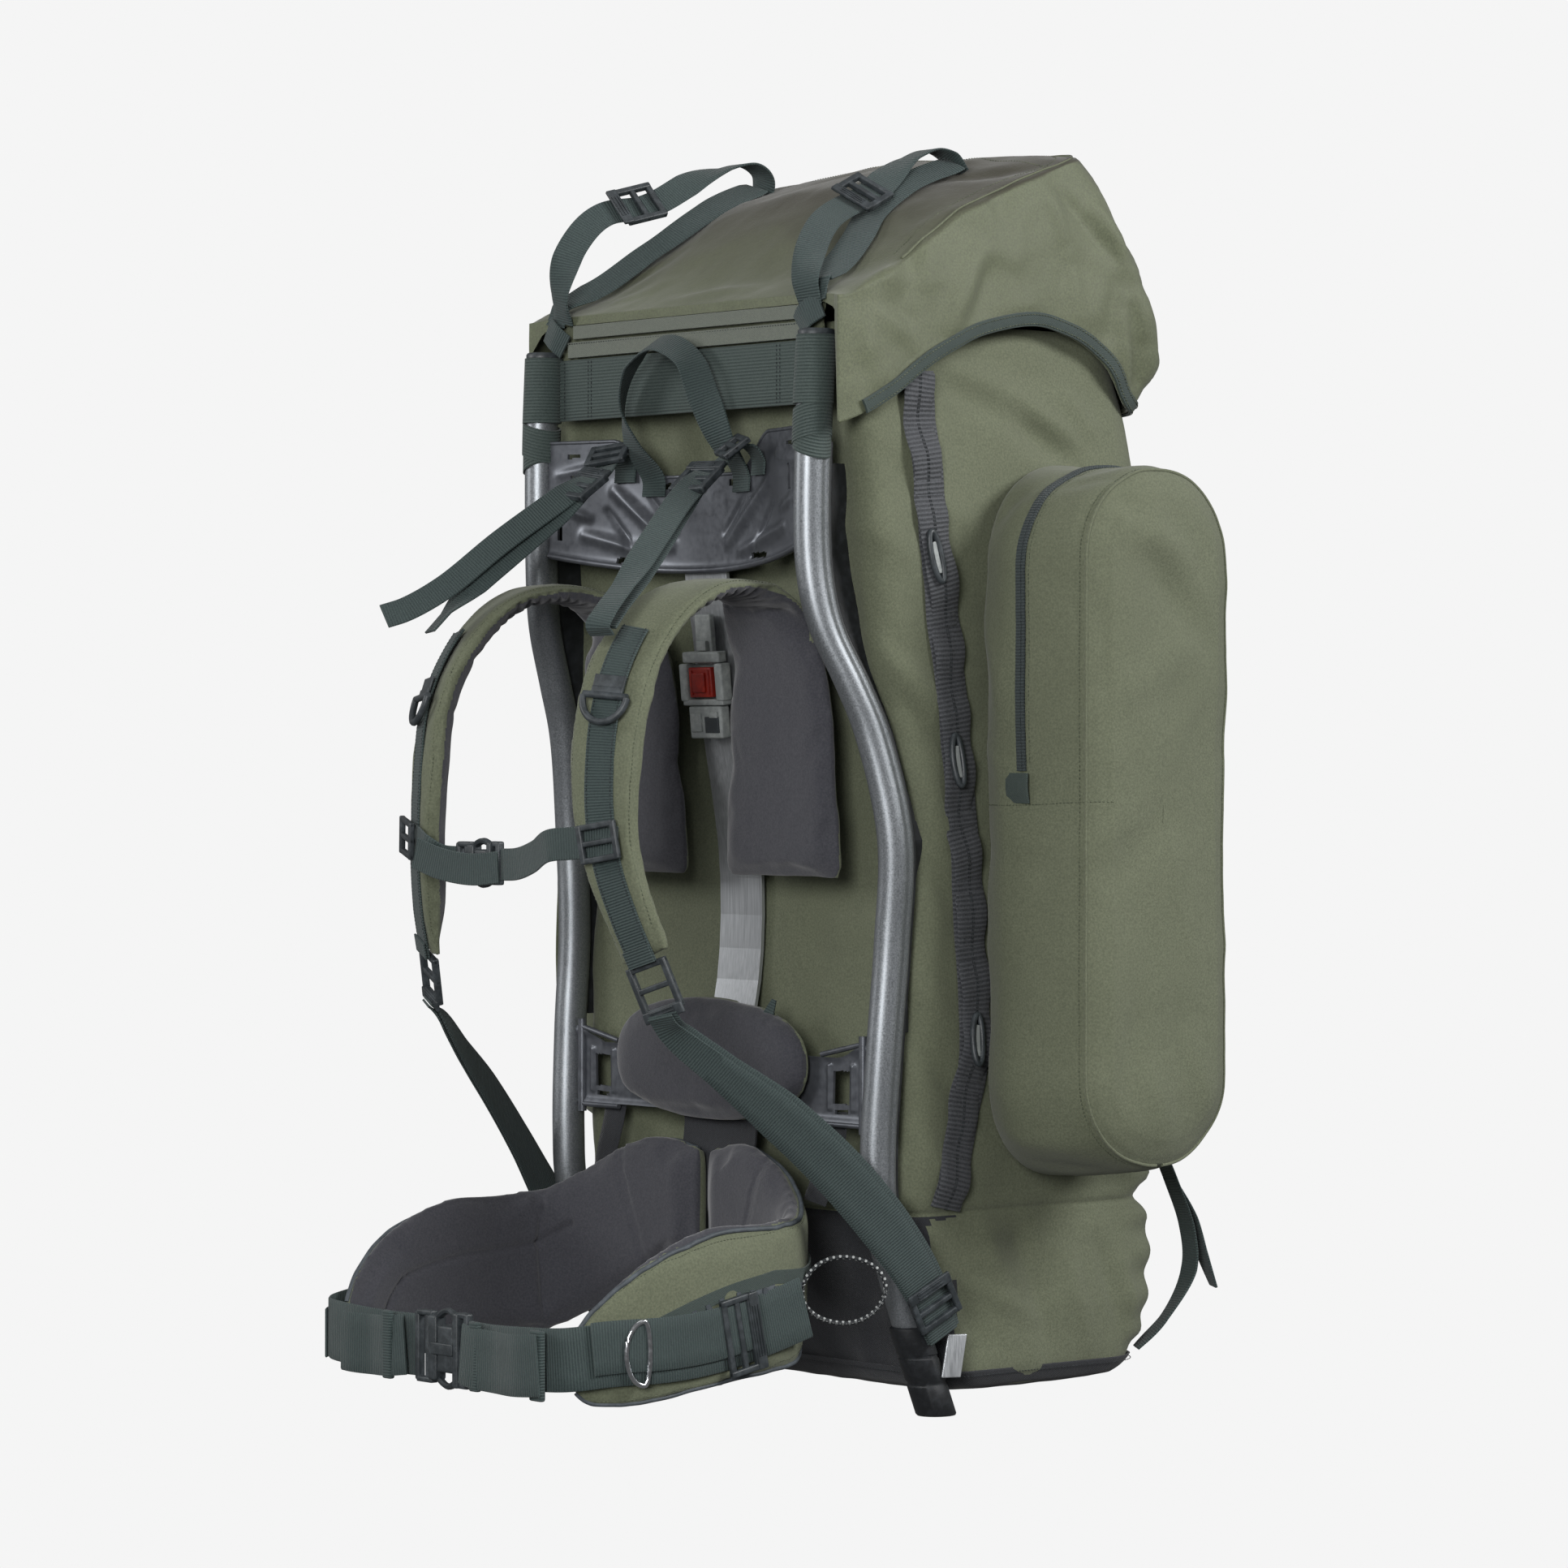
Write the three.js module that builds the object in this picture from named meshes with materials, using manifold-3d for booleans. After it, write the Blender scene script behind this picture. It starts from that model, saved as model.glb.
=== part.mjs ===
// External frame backpack, in millimetres, +Z up, harness facing -Y.
//
// Two bent oval tubes stand on plastic feet and are joined by a pressed yoke plate
// and a lumbar plate. A tall cloth bag with a hood lid and two side pockets hangs
// behind them. Padded shoulder straps, a lumbar pad and a padded hip belt lie in
// front. The floor is Z = 0, the plane of symmetry is X = 0.
//
// Every place is a share of three driving sizes: X of FRAME_HALF, Y of BAG_DEPTH
// and Z of PACK_HEIGHT. Walls, webbing, pads and fittings have sizes of their own.

import * as THREE from "three";
import { mergeVertices } from "three/addons/utils/BufferGeometryUtils.js";
import Module from "manifold-3d";

const wasm = await Module();
wasm.setup();

// Driving sizes of the whole pack
const PACK_HEIGHT = 1000; // floor to the rear ridge of the lid
const FRAME_HALF = 200; // plane of symmetry to a side tube at the hips
const BAG_DEPTH = 300; // upper tube line to the rear of the bag

// Clearance between neighbouring pieces
const GAP = 0.3;

// Tubes and sheet metal
const TUBE_WIDE = 24;
const TUBE_DEEP = 28;
const TUBE_WALL = 2;
const SLEEVE_WALL = 2.5;
const SLEEVE_HEIGHT = 72;
const FOOT_SOLE = 6;
const CAP_THICK = 4.5;
const PLATE_THICK = 2.5;
const BAR_WIDE = 52;
const BAR_THICK = 3;
const BOLT_RADIUS = 6;
const BOLT_HEAD = 3.5;

// Back length adjuster on the stay bar
const ADJUSTER_WIDE = 54;
const ADJUSTER_DEEP = 13;
const ADJUSTER_TALL = 84;
const LATCH_WIDE = 30;
const LATCH_TALL = 26;
const LATCH_DEEP = 7;
const LATCH_POCKET = 5;
const LATCH_TRAVEL = 4; // how far the latch slides to +X to free the bar

// Cloth
const CLOTH = 2;
const HEM_TALL = 13;
const HEM_THICK = 2.4;

// Padding
const HARNESS_THICK = 17;
const BELT_THICK = 21;
const LUMBAR_WIDE = 246;
const LUMBAR_TALL = 109;
const LUMBAR_THICK = 20;

// Webbing
const WEB_THICK = 1.8;
const STRAP_WIDE = 25;
const LOWER_STRAP_WIDE = 40;
const BAND_WIDE = 50;
const BELT_WEB_WIDE = 50;
const DAISY_WIDE = 30;

// Fittings
const FITTING_THICK = 5;
const FITTING_BAR = 5;
const BUCKLE_THICK = 11;
const RING_WIRE = 4.4;
const CORD_THICK = 4.2;

// Smoothness of the faceted surfaces
const TUBE_SIDES = 8;
const BAG_COLUMNS = 26;
const LID_SIDE_STEPS = 8;
const LID_CORNER_STEPS = 3;
const LID_REAR_STEPS = 4;
const POCKET_COLUMNS = 24;

const pack = new THREE.Group();

// Looks of the finishes that the pieces share
const OLIVE = { color: 0x656c54, roughness: 0.9, metalness: 0 };
const BLACK_CLOTH = { color: 0x1f2426, roughness: 0.9, metalness: 0 };
const WEBBING = { color: 0x36423f, roughness: 0.85, metalness: 0 };
const DARK_WEBBING = { color: 0x33353a, roughness: 0.85, metalness: 0 };
const PAD_CLOTH = { color: 0x414246, roughness: 0.92, metalness: 0 };
const HAMMERED_PAINT = { color: 0x85888c, roughness: 0.4, metalness: 0.6 };
const PRESSED_STEEL = { color: 0x5c5e62, roughness: 0.38, metalness: 0.7 };
const BARE_ALUMINIUM = { color: 0x8d8f91, roughness: 0.45, metalness: 0.9 };
const BLACK_PLASTIC = { color: 0x2b3033, roughness: 0.5, metalness: 0 };
const GREY_PLASTIC = { color: 0xaeb1b1, roughness: 0.5, metalness: 0 };
const RED_PLASTIC = { color: 0x9c1c12, roughness: 0.45, metalness: 0 };
const CHROME = { color: 0xc9ccd0, roughness: 0.15, metalness: 1 };

function add(name, geometry, look) {
  const mesh = new THREE.Mesh(geometry, new THREE.MeshStandardMaterial(look));
  mesh.name = name;
  pack.add(mesh);
  return mesh;
}

// Adds a piece of the right side and its mirror image on the left.
function addPair(name, geometry, look) {
  add(name + "_right", geometry, look);
  add(name + "_left", faceOut(merged(geometry).scale(-1, 1, 1)), look);
}

// Points and interpolation

// A point from shares of the three driving sizes.
function at(x, y, z) {
  return new THREE.Vector3(x * FRAME_HALF, y * BAG_DEPTH, z * PACK_HEIGHT);
}

// Direction that a strap faces: turn 0 is forward (-Y), 90 is to +X; lift 90 is up.
function facing(turn, lift = 0) {
  const t = THREE.MathUtils.degToRad(turn);
  const e = THREE.MathUtils.degToRad(lift);
  return new THREE.Vector3(
    Math.sin(t) * Math.cos(e),
    -Math.cos(t) * Math.cos(e),
    Math.sin(e),
  );
}

// Value of a table's column at a place along its key column, on straight stretches.
function lookUp(table, key, column, value) {
  const rising = table[0][key] < table[table.length - 1][key];
  const rows = rising ? table : [...table].reverse();
  const above = rows.findIndex((row) => row[key] >= value);
  if (above === 0) return rows[0][column];
  if (above < 0) return rows[rows.length - 1][column];
  const from = rows[above - 1];
  const to = rows[above];
  const share = (value - from[key]) / (to[key] - from[key]);
  return from[column] + share * (to[column] - from[column]);
}

// Solids from rings of points

// A copy of a geometry with shared vertices, holding positions alone.
function merged(geometry) {
  const plain = geometry.clone();
  plain.deleteAttribute("normal");
  plain.deleteAttribute("uv");
  return mergeVertices(plain, 1e-4);
}

// Turns the faces of a closed mesh outwards.
function faceOut(geometry) {
  const p = geometry.attributes.position;
  const index = geometry.index.array;
  const [a, b, c] = [new THREE.Vector3(), new THREE.Vector3(), new THREE.Vector3()];
  let volume = 0;
  for (let i = 0; i < index.length; i += 3) {
    a.fromBufferAttribute(p, index[i]);
    b.fromBufferAttribute(p, index[i + 1]);
    c.fromBufferAttribute(p, index[i + 2]);
    volume += a.dot(b.cross(c));
  }
  if (volume < 0)
    for (let i = 0; i < index.length; i += 3)
      [index[i + 1], index[i + 2]] = [index[i + 2], index[i + 1]];
  return geometry;
}

function middle(points) {
  const sum = new THREE.Vector3();
  points.forEach((p) => sum.add(p));
  return sum.divideScalar(points.length);
}

// A closed solid through rings of equal length. The ends are closed by a fan round
// the given poles, or round the ring's middle. A looped solid joins its ends instead.
function loft(rings, { looped = false, startPole, endPole } = {}) {
  const size = rings[0].length;
  const points = rings.flat();
  const faces = [];
  const last = looped ? rings.length : rings.length - 1;
  for (let i = 0; i < last; i++)
    for (let j = 0; j < size; j++) {
      const a = i * size + j;
      const b = i * size + ((j + 1) % size);
      const c = ((i + 1) % rings.length) * size + j;
      const d = ((i + 1) % rings.length) * size + ((j + 1) % size);
      // Each four-sided patch folds along its shorter diagonal.
      if (points[a].distanceTo(points[d]) <= points[b].distanceTo(points[c]))
        faces.push(a, b, d, a, d, c);
      else faces.push(a, b, c, b, d, c);
    }
  if (!looped) {
    const start = points.push(startPole || middle(rings[0])) - 1;
    const end = points.push(endPole || middle(rings[rings.length - 1])) - 1;
    const lastRing = (rings.length - 1) * size;
    for (let j = 0; j < size; j++) {
      const k = (j + 1) % size;
      faces.push(start, k, j, end, lastRing + j, lastRing + k);
    }
  }
  const geometry = new THREE.BufferGeometry().setFromPoints(points);
  geometry.setIndex(faces);
  return faceOut(geometry);
}

// Outward normals on a grid of rings that closes round each ring.
function gridNormals(rings) {
  const centre = middle(rings.flat());
  let outward = 0;
  const normals = rings.map((ring, i) =>
    ring.map((p, j) => {
      const up = rings[Math.min(i + 1, rings.length - 1)][j]
        .clone()
        .sub(rings[Math.max(i - 1, 0)][j]);
      const round = ring[(j + 1) % ring.length]
        .clone()
        .sub(ring[(j + ring.length - 1) % ring.length]);
      const normal = round.cross(up).normalize();
      outward += normal.dot(p.clone().sub(centre));
      return normal;
    }),
  );
  if (outward < 0) normals.flat().forEach((n) => n.negate());
  return normals;
}

function offsetRings(rings, distance) {
  const normals = gridNormals(rings);
  return rings.map((ring, i) =>
    ring.map((p, j) => p.clone().addScaledVector(normals[i][j], distance)),
  );
}

// A cloth form with an open rim: rings run from the rim to the closed pole. Its outer
// face stands a distance off the rings, its inner face a wall further in.
function cloth(rings, pole, wall, off = 0) {
  const outer = offsetRings(rings, off);
  const inner = offsetRings(rings, off - wall);
  const last = rings.length - 1;
  const poleOf = (face) => pole.clone().add(middle(face[last])).sub(middle(rings[last]));
  return loft([...outer.reverse(), ...inner], {
    startPole: poleOf(outer.slice().reverse()),
    endPole: poleOf(inner),
  });
}

// Union or cut of two closed geometries
function solidOf(geometry) {
  const shared = merged(geometry);
  return new wasm.Manifold(
    new wasm.Mesh({
      numProp: 3,
      vertProperties: new Float32Array(shared.attributes.position.array),
      triVerts: new Uint32Array(shared.index.array),
    }),
  );
}

function geometryOf(solid) {
  const mesh = solid.getMesh();
  const geometry = new THREE.BufferGeometry();
  geometry.setAttribute("position", new THREE.BufferAttribute(mesh.vertProperties, 3));
  geometry.setIndex(new THREE.BufferAttribute(mesh.triVerts, 1));
  return geometry;
}

function cut(from, tool) {
  return geometryOf(solidOf(from).subtract(solidOf(tool)));
}

function join(...pieces) {
  return geometryOf(
    pieces.slice(1).reduce((whole, piece) => whole.add(solidOf(piece)), solidOf(pieces[0])),
  );
}

// Straps and pads along a route

// Frames along a strap's route: point p, tangent t, outward normal n and across
// vector a, with the row's own width share. Rows are {x, y, z, turn, lift, wide, thick}.
function route(rows, side, steps) {
  const curve = new THREE.CatmullRomCurve3(
    rows.map((row) => at(side * row.x, row.y, row.z)),
    false,
    "centripetal",
  );
  const blend = (column, from, share, fallback) => {
    const low = rows[from][column] ?? fallback;
    const high = rows[Math.min(from + 1, rows.length - 1)][column] ?? fallback;
    return low + share * (high - low);
  };
  return Array.from({ length: steps + 1 }, (_, i) => {
    const u = (i / steps) * (rows.length - 1);
    const from = Math.min(Math.floor(u), rows.length - 2);
    const share = u - from;
    const p = curve.getPoint(i / steps);
    const t = curve.getTangent(i / steps);
    const faceOf = (row) => facing(side * (row.turn ?? 0), row.lift);
    const face = faceOf(rows[from]).lerp(faceOf(rows[from + 1]), share);
    const a = new THREE.Vector3().crossVectors(t, face).normalize();
    const n = new THREE.Vector3().crossVectors(a, t).normalize();
    return {
      p,
      t,
      a,
      n,
      wide: blend("wide", from, share, 1),
      thick: blend("thick", from, share, 1),
    };
  });
}

// The same frames moved off the face of a padding of a given thickness.
function lifted(frames, thick, clear) {
  return frames.map((f) => ({
    ...f,
    p: f.p.clone().addScaledVector(f.n, (thick * f.thick) / 2 + clear),
  }));
}

function webbing(frames, wide, thick = WEB_THICK) {
  const corners = [
    [-1, -1],
    [1, -1],
    [1, 1],
    [-1, 1],
  ];
  return loft(
    frames.map(({ p, a, n }) =>
      corners.map(([across, out]) =>
        p
          .clone()
          .addScaledVector(a, (across * wide) / 2)
          .addScaledVector(n, (out * thick) / 2),
      ),
    ),
  );
}

// A padded strip: flat faces with rounded edges, widths and thicknesses from the frames.
const PAD_SECTION = [
  { across: 1, out: 0 },
  { across: 0.94, out: 0.72 },
  { across: 0.8, out: 0.96 },
  { across: 0, out: 1 },
  { across: -0.8, out: 0.96 },
  { across: -0.94, out: 0.72 },
  { across: -1, out: 0 },
  { across: -0.94, out: -0.72 },
  { across: -0.8, out: -0.96 },
  { across: 0, out: -1 },
  { across: 0.8, out: -0.96 },
  { across: 0.94, out: -0.72 },
];

function padding(frames, wide, thick) {
  return loft(
    frames.map(({ p, a, n, wide: wideShare, thick: thickShare }) =>
      PAD_SECTION.map(({ across, out }) =>
        p
          .clone()
          .addScaledVector(a, (across * wide * wideShare) / 2)
          .addScaledVector(n, (out * thick * thickShare) / 2),
      ),
    ),
  );
}

// Places a flat fitting, drawn in X (across) and Y (along), with its face on the frame.
function seated(geometry, { p, t, a, n }, lift) {
  const basis = new THREE.Matrix4().makeBasis(a, t, n);
  const origin = p.clone().addScaledVector(n, lift);
  return geometry.applyMatrix4(basis).translate(origin.x, origin.y, origin.z);
}

function rectangle(wide, tall) {
  const shape = new THREE.Shape();
  shape.moveTo(-wide / 2, -tall / 2);
  shape.lineTo(wide / 2, -tall / 2);
  shape.lineTo(wide / 2, tall / 2);
  shape.lineTo(-wide / 2, tall / 2);
  shape.closePath();
  return shape;
}

function slotPath(wide, tall, x, y) {
  const hole = new THREE.Path();
  hole.moveTo(x - wide / 2, y - tall / 2);
  hole.lineTo(x - wide / 2, y + tall / 2);
  hole.lineTo(x + wide / 2, y + tall / 2);
  hole.lineTo(x + wide / 2, y - tall / 2);
  hole.closePath();
  return hole;
}

// A ladder or slide buckle: a frame with two slots and a middle bar.
function slottedBuckle(wide, tall) {
  const outer = rectangle(wide + 2 * FITTING_BAR, tall);
  const slot = (tall - 3 * FITTING_BAR) / 2;
  const place = (slot + FITTING_BAR) / 2;
  outer.holes.push(slotPath(wide, slot, 0, place), slotPath(wide, slot, 0, -place));
  return new THREE.ExtrudeGeometry(outer, { depth: FITTING_THICK, bevelEnabled: false });
}

// A round wire bent into a closed loop through points.
function wireLoop(points, radius, steps, sides) {
  const curve = new THREE.CatmullRomCurve3(points, true);
  const centre = middle(points);
  const rings = Array.from({ length: steps }, (_, i) => {
    const p = curve.getPoint(i / steps);
    const t = curve.getTangent(i / steps);
    const out = p.clone().sub(centre).normalize();
    const a = new THREE.Vector3().crossVectors(t, out).normalize();
    const n = new THREE.Vector3().crossVectors(a, t).normalize();
    return Array.from({ length: sides }, (_, j) => {
      const angle = (j / sides) * 2 * Math.PI;
      return p
        .clone()
        .addScaledVector(a, radius * Math.cos(angle))
        .addScaledVector(n, radius * Math.sin(angle));
    });
  });
  return loft(rings, { looped: true });
}

// Frame

// Centre line of the right side tube, floor to top.
const TUBE_ROUTE = [
  { z: 0, x: 0.97, y: 0.34 },
  { z: 0.08, x: 0.97, y: 0.2333 },
  { z: 0.16, x: 0.97, y: 0.1433 },
  { z: 0.205, x: 0.9715, y: 0.1333 },
  { z: 0.289, x: 0.985, y: 0.1467 },
  { z: 0.369, x: 0.995, y: 0.1667 },
  { z: 0.449, x: 1.015, y: 0.1667 },
  { z: 0.529, x: 0.965, y: 0.12 },
  { z: 0.569, x: 0.93, y: 0.07 },
  { z: 0.609, x: 0.885, y: 0.0133 },
  { z: 0.632, x: 0.8675, y: -0.0067 },
  { z: 0.669, x: 0.8525, y: -0.02 },
  { z: 0.759, x: 0.855, y: -0.02 },
  { z: 0.838, x: 0.86, y: -0.0067 },
];
const TUBE_TOP = TUBE_ROUTE[TUBE_ROUTE.length - 1].z;
const TUBE_END = 8;

// Level section of a side tube at height z (a share), grown by a clearance.
function tubeRing(z, grow) {
  const centre = at(lookUp(TUBE_ROUTE, "z", "x", z), lookUp(TUBE_ROUTE, "z", "y", z), z);
  return Array.from({ length: TUBE_SIDES }, (_, j) => {
    const angle = ((j + 0.5) / TUBE_SIDES) * 2 * Math.PI;
    return new THREE.Vector3(
      centre.x + (TUBE_WIDE / 2 + grow) * Math.cos(angle),
      centre.y + (TUBE_DEEP / 2 + grow) * Math.sin(angle),
      centre.z,
    );
  });
}

// An open pipe: the outer wall up, the inner wall back down.
function sideTube() {
  const heights = TUBE_ROUTE.map((row) => Math.max(row.z, TUBE_END / PACK_HEIGHT));
  const outer = heights.map((z) => tubeRing(z, 0));
  const inner = heights.map((z) => tubeRing(z, -TUBE_WALL)).reverse();
  return loft([...outer, ...inner], { looped: true });
}

function tubeCap() {
  const rings = [
    { up: GAP, grow: 1.5 },
    { up: CAP_THICK * 0.7, grow: 1.5 },
    { up: CAP_THICK, grow: -1 },
  ];
  return loft(
    rings.map(({ up, grow }) =>
      tubeRing(TUBE_TOP, grow).map((p) => p.setZ(TUBE_TOP * PACK_HEIGHT + up)),
    ),
  );
}

// A plastic shoe round the tube's foot, closed by a sole.
function footSleeve() {
  const top = SLEEVE_HEIGHT / PACK_HEIGHT;
  const sole = FOOT_SOLE / PACK_HEIGHT;
  const outer = [top, top * 0.6, top * 0.25, 0].map((z) => tubeRing(z, GAP + SLEEVE_WALL));
  const inner = [sole, top * 0.25, top * 0.6, top].map((z) => tubeRing(z, GAP));
  return loft([...inner, ...outer]);
}

addPair("side_tube", sideTube(), HAMMERED_PAINT);
addPair("tube_cap", tubeCap(), BLACK_PLASTIC);
addPair("foot_sleeve", footSleeve(), BLACK_PLASTIC);

// A pressed sheet between the tubes: point(u, v) with u across in -1..1 and v up in 0..1.
function pressedSheet(point, columns, rows, thick) {
  const rings = Array.from({ length: columns + 1 }, (_, i) => {
    const u = -1 + (2 * i) / columns;
    const front = Array.from({ length: rows + 1 }, (_, k) => point(u, k / rows));
    const back = [...front].reverse().map((p) => p.clone().setY(p.y + thick));
    return [...front, ...back];
  });
  return loft(rings);
}

// Inner face of a side tube at height z, less the clearance. The tube's section is a
// polygon with a flat side towards each axis.
const TUBE_FLAT = Math.cos(Math.PI / TUBE_SIDES);

function insideTubes(z) {
  return lookUp(TUBE_ROUTE, "z", "x", z) * FRAME_HALF - (TUBE_WIDE / 2) * TUBE_FLAT - GAP;
}

// Yoke plate: dished backwards in plan, its top edge dropped in the middle.
const YOKE = { low: 0.661, lowEnds: 0.676, top: 0.768, topMiddle: 0.737, dish: 0.1067 };
const YOKE_ENDS = -0.0267;

function yokePoint(u, v) {
  const rise = THREE.MathUtils.smoothstep(Math.abs(u), 0.32, 0.62);
  const low = YOKE.low + (YOKE.lowEnds - YOKE.low) * u * u;
  const high = YOKE.topMiddle + (YOKE.top - YOKE.topMiddle) * rise;
  const z = low + (high - low) * v;
  const p = at(0, YOKE_ENDS + YOKE.dish * (1 - u * u), z);
  return p.setX(u * insideTubes(z));
}

add("yoke_plate", pressedSheet(yokePoint, 14, 3, PLATE_THICK), PRESSED_STEEL);

function yokeBolt() {
  const head = new THREE.CylinderGeometry(BOLT_RADIUS, BOLT_RADIUS * 0.8, BOLT_HEAD, 10);
  const face = yokePoint(0, 0.9);
  return head.translate(face.x, face.y - GAP - BOLT_HEAD / 2, face.z);
}
add("yoke_bolt", yokeBolt(), CHROME);

// Lumbar plate: straight, its ends flared upwards at the tubes.
const LUMBAR_PLATE = { y: 0.14, low: 0.229, high: 0.279, flare: 0.012 };

function lumbarPoint(u, v) {
  const flare = LUMBAR_PLATE.flare * THREE.MathUtils.smoothstep(Math.abs(u), 0.78, 1);
  const z = LUMBAR_PLATE.low + (LUMBAR_PLATE.high + flare - LUMBAR_PLATE.low) * v;
  return at(0, LUMBAR_PLATE.y, z).setX(u * insideTubes(z));
}
add("lumbar_plate", pressedSheet(lumbarPoint, 14, 2, PLATE_THICK), PRESSED_STEEL);

// Stay bar: behind the lumbar plate, the adjuster and the yoke plate.
const LUMBAR_BACK = LUMBAR_PLATE.y * BAG_DEPTH + PLATE_THICK + GAP + BAR_THICK / 2;
const YOKE_BACK =
  (YOKE_ENDS + YOKE.dish) * BAG_DEPTH + PLATE_THICK + GAP + BAR_THICK / 2;
const BAR_ROUTE = [
  { x: 0, y: (LUMBAR_BACK + 0.9) / BAG_DEPTH, z: 0.236 },
  { x: 0, y: (LUMBAR_BACK + 0.9) / BAG_DEPTH, z: 0.275 },
  { x: 0, y: 0.2, z: 0.32 },
  { x: 0, y: 0.22, z: 0.375 },
  { x: 0, y: 0.2133, z: 0.44 },
  { x: 0, y: 0.1733, z: 0.51 },
  { x: 0, y: 0.1433, z: 0.56 },
  { x: 0, y: 0.1267, z: 0.605 },
  { x: 0, y: 0.1033, z: 0.645 },
  { x: 0, y: YOKE_BACK / BAG_DEPTH, z: 0.672 },
  { x: 0, y: YOKE_BACK / BAG_DEPTH, z: 0.715 },
];
const barFrames = route(BAR_ROUTE, 1, 22);
add("stay_bar", webbing(barFrames, BAR_WIDE, BAR_THICK), BARE_ALUMINIUM);

// Adjuster: a grey block on the bar's front with a pocket for the red latch.
const ADJUSTER_Z = 0.572;

// The frame at height z (a share), slid there from the nearest one.
function frameAt(frames, z) {
  const height = z * PACK_HEIGHT;
  const near = frames.reduce((best, f) =>
    Math.abs(f.p.z - height) < Math.abs(best.p.z - height) ? f : best,
  );
  return shifted(near, (height - near.p.z) / near.t.z, 0);
}
const adjusterFrame = frameAt(barFrames, ADJUSTER_Z);
const ADJUSTER_BOW = 6;

function adjusterHousing() {
  const block = new THREE.BoxGeometry(ADJUSTER_WIDE, ADJUSTER_TALL, ADJUSTER_DEEP);
  const pocket = new THREE.BoxGeometry(
    LATCH_WIDE + LATCH_TRAVEL + 2 * GAP,
    LATCH_TALL + 2 * GAP,
    2 * LATCH_POCKET,
  ).translate(0, 0, ADJUSTER_DEEP / 2);
  return seated(cut(block, pocket), adjusterFrame, BAR_THICK / 2 + ADJUSTER_BOW + ADJUSTER_DEEP / 2);
}
add("adjuster_housing", adjusterHousing(), GREY_PLASTIC);

function adjusterLatch() {
  const slide = new THREE.BoxGeometry(LATCH_WIDE, LATCH_TALL, LATCH_DEEP);
  slide.translate(-LATCH_TRAVEL / 2, 0, 0);
  const floor = BAR_THICK / 2 + ADJUSTER_BOW + ADJUSTER_DEEP - LATCH_POCKET;
  return seated(slide, adjusterFrame, floor + GAP + LATCH_DEEP / 2);
}
add("adjuster_latch", adjusterLatch(), RED_PLASTIC);

// Bag

// Level sections of the bag body, rim to floor. dish draws the middle of the front
// back, bulge swells the middle of the rear, corner rounds the front edges.
const BAG_ROWS = [
  { z: 0.862, half: 0.92, front: 0.08, dish: 0.0133, rear: 1, bulge: 0.0133 },
  { z: 0.835, half: 0.975, front: 0.07, dish: 0.0067, rear: 1.0267, bulge: 0.0133 },
  { z: 0.76, half: 1.0175, front: 0.07, dish: 0.06, rear: 1.0667, bulge: 0.0167 },
  { z: 0.7, half: 1.03, front: 0.0733, dish: 0.08, rear: 1.0867, bulge: 0.02 },
  { z: 0.6, half: 1.03, front: 0.1133, dish: 0.0867, rear: 1.1133, bulge: 0.0267 },
  { z: 0.51, half: 1.0325, front: 0.2, dish: 0.0333, rear: 1.1267, bulge: 0.0267 },
  { z: 0.45, half: 1.035, front: 0.2267, dish: 0.0167, rear: 1.1333, bulge: 0.0267 },
  { z: 0.27, half: 1.0325, front: 0.2033, dish: 0.0267, rear: 1.1467, bulge: 0.0233 },
  { z: 0.172, half: 1.025, front: 0.2, dish: 0.02, rear: 1.1533, bulge: 0.0167 },
  { z: 0.157, half: 1.015, front: 0.2133, dish: 0.0167, rear: 1.12, bulge: 0.0133 },
  { z: 0.14, half: 1.025, front: 0.2267, dish: 0.0133, rear: 1.1533, bulge: 0.0167 },
  { z: 0.095, half: 1.025, front: 0.28, dish: 0.0067, rear: 1.1433, bulge: 0.0167 },
  { z: 0.055, half: 1.015, front: 0.3367, dish: 0, rear: 1.12, bulge: 0.0133 },
  { z: 0.034, half: 1, front: 0.3633, dish: 0, rear: 1.0933, bulge: 0.0067 },
  { z: 0.02, half: 0.965, front: 0.3933, dish: 0, rear: 1.0467, bulge: 0 },
  { z: 0.0085, half: 0.65, front: 0.55, dish: 0, rear: 0.8333, bulge: 0 },
];
const BAG_CORNER = { front: 26, rear: 46 };

// A rounded outline in plan as evenly spaced points, from the middle of its front.
function outline(half, front, rear, frontCorner, rearCorner, count) {
  const path = new THREE.Path();
  path.moveTo(0, front);
  path.lineTo(half - frontCorner, front);
  path.absarc(half - frontCorner, front + frontCorner, frontCorner, -Math.PI / 2, 0);
  path.absarc(half - rearCorner, rear - rearCorner, rearCorner, 0, Math.PI / 2);
  path.absarc(rearCorner - half, rear - rearCorner, rearCorner, Math.PI / 2, Math.PI);
  path.absarc(frontCorner - half, front + frontCorner, frontCorner, Math.PI, 1.5 * Math.PI);
  path.closePath();
  return path.getSpacedPoints(count).slice(0, count);
}

function bagRing(row, grow = 0) {
  const half = row.half * FRAME_HALF + grow;
  const front = row.front * BAG_DEPTH - grow;
  const rear = row.rear * BAG_DEPTH + grow;
  const tight = Math.min(half, (rear - front) / 2);
  const corner = (size) => Math.min(size + grow, tight * 0.95);
  const points = outline(
    half, front, rear, corner(BAG_CORNER.front), corner(BAG_CORNER.rear), BAG_COLUMNS,
  );
  return points.map(({ x, y }) => {
    const back = (y - front) / (rear - front);
    const crown = 1 - (x / half) ** 2;
    const dished = row.dish * BAG_DEPTH * crown * (1 - back) ** 4;
    const bulged = row.bulge * BAG_DEPTH * crown * back ** 4;
    return new THREE.Vector3(x, y + dished + bulged, row.z * PACK_HEIGHT);
  });
}

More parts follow.
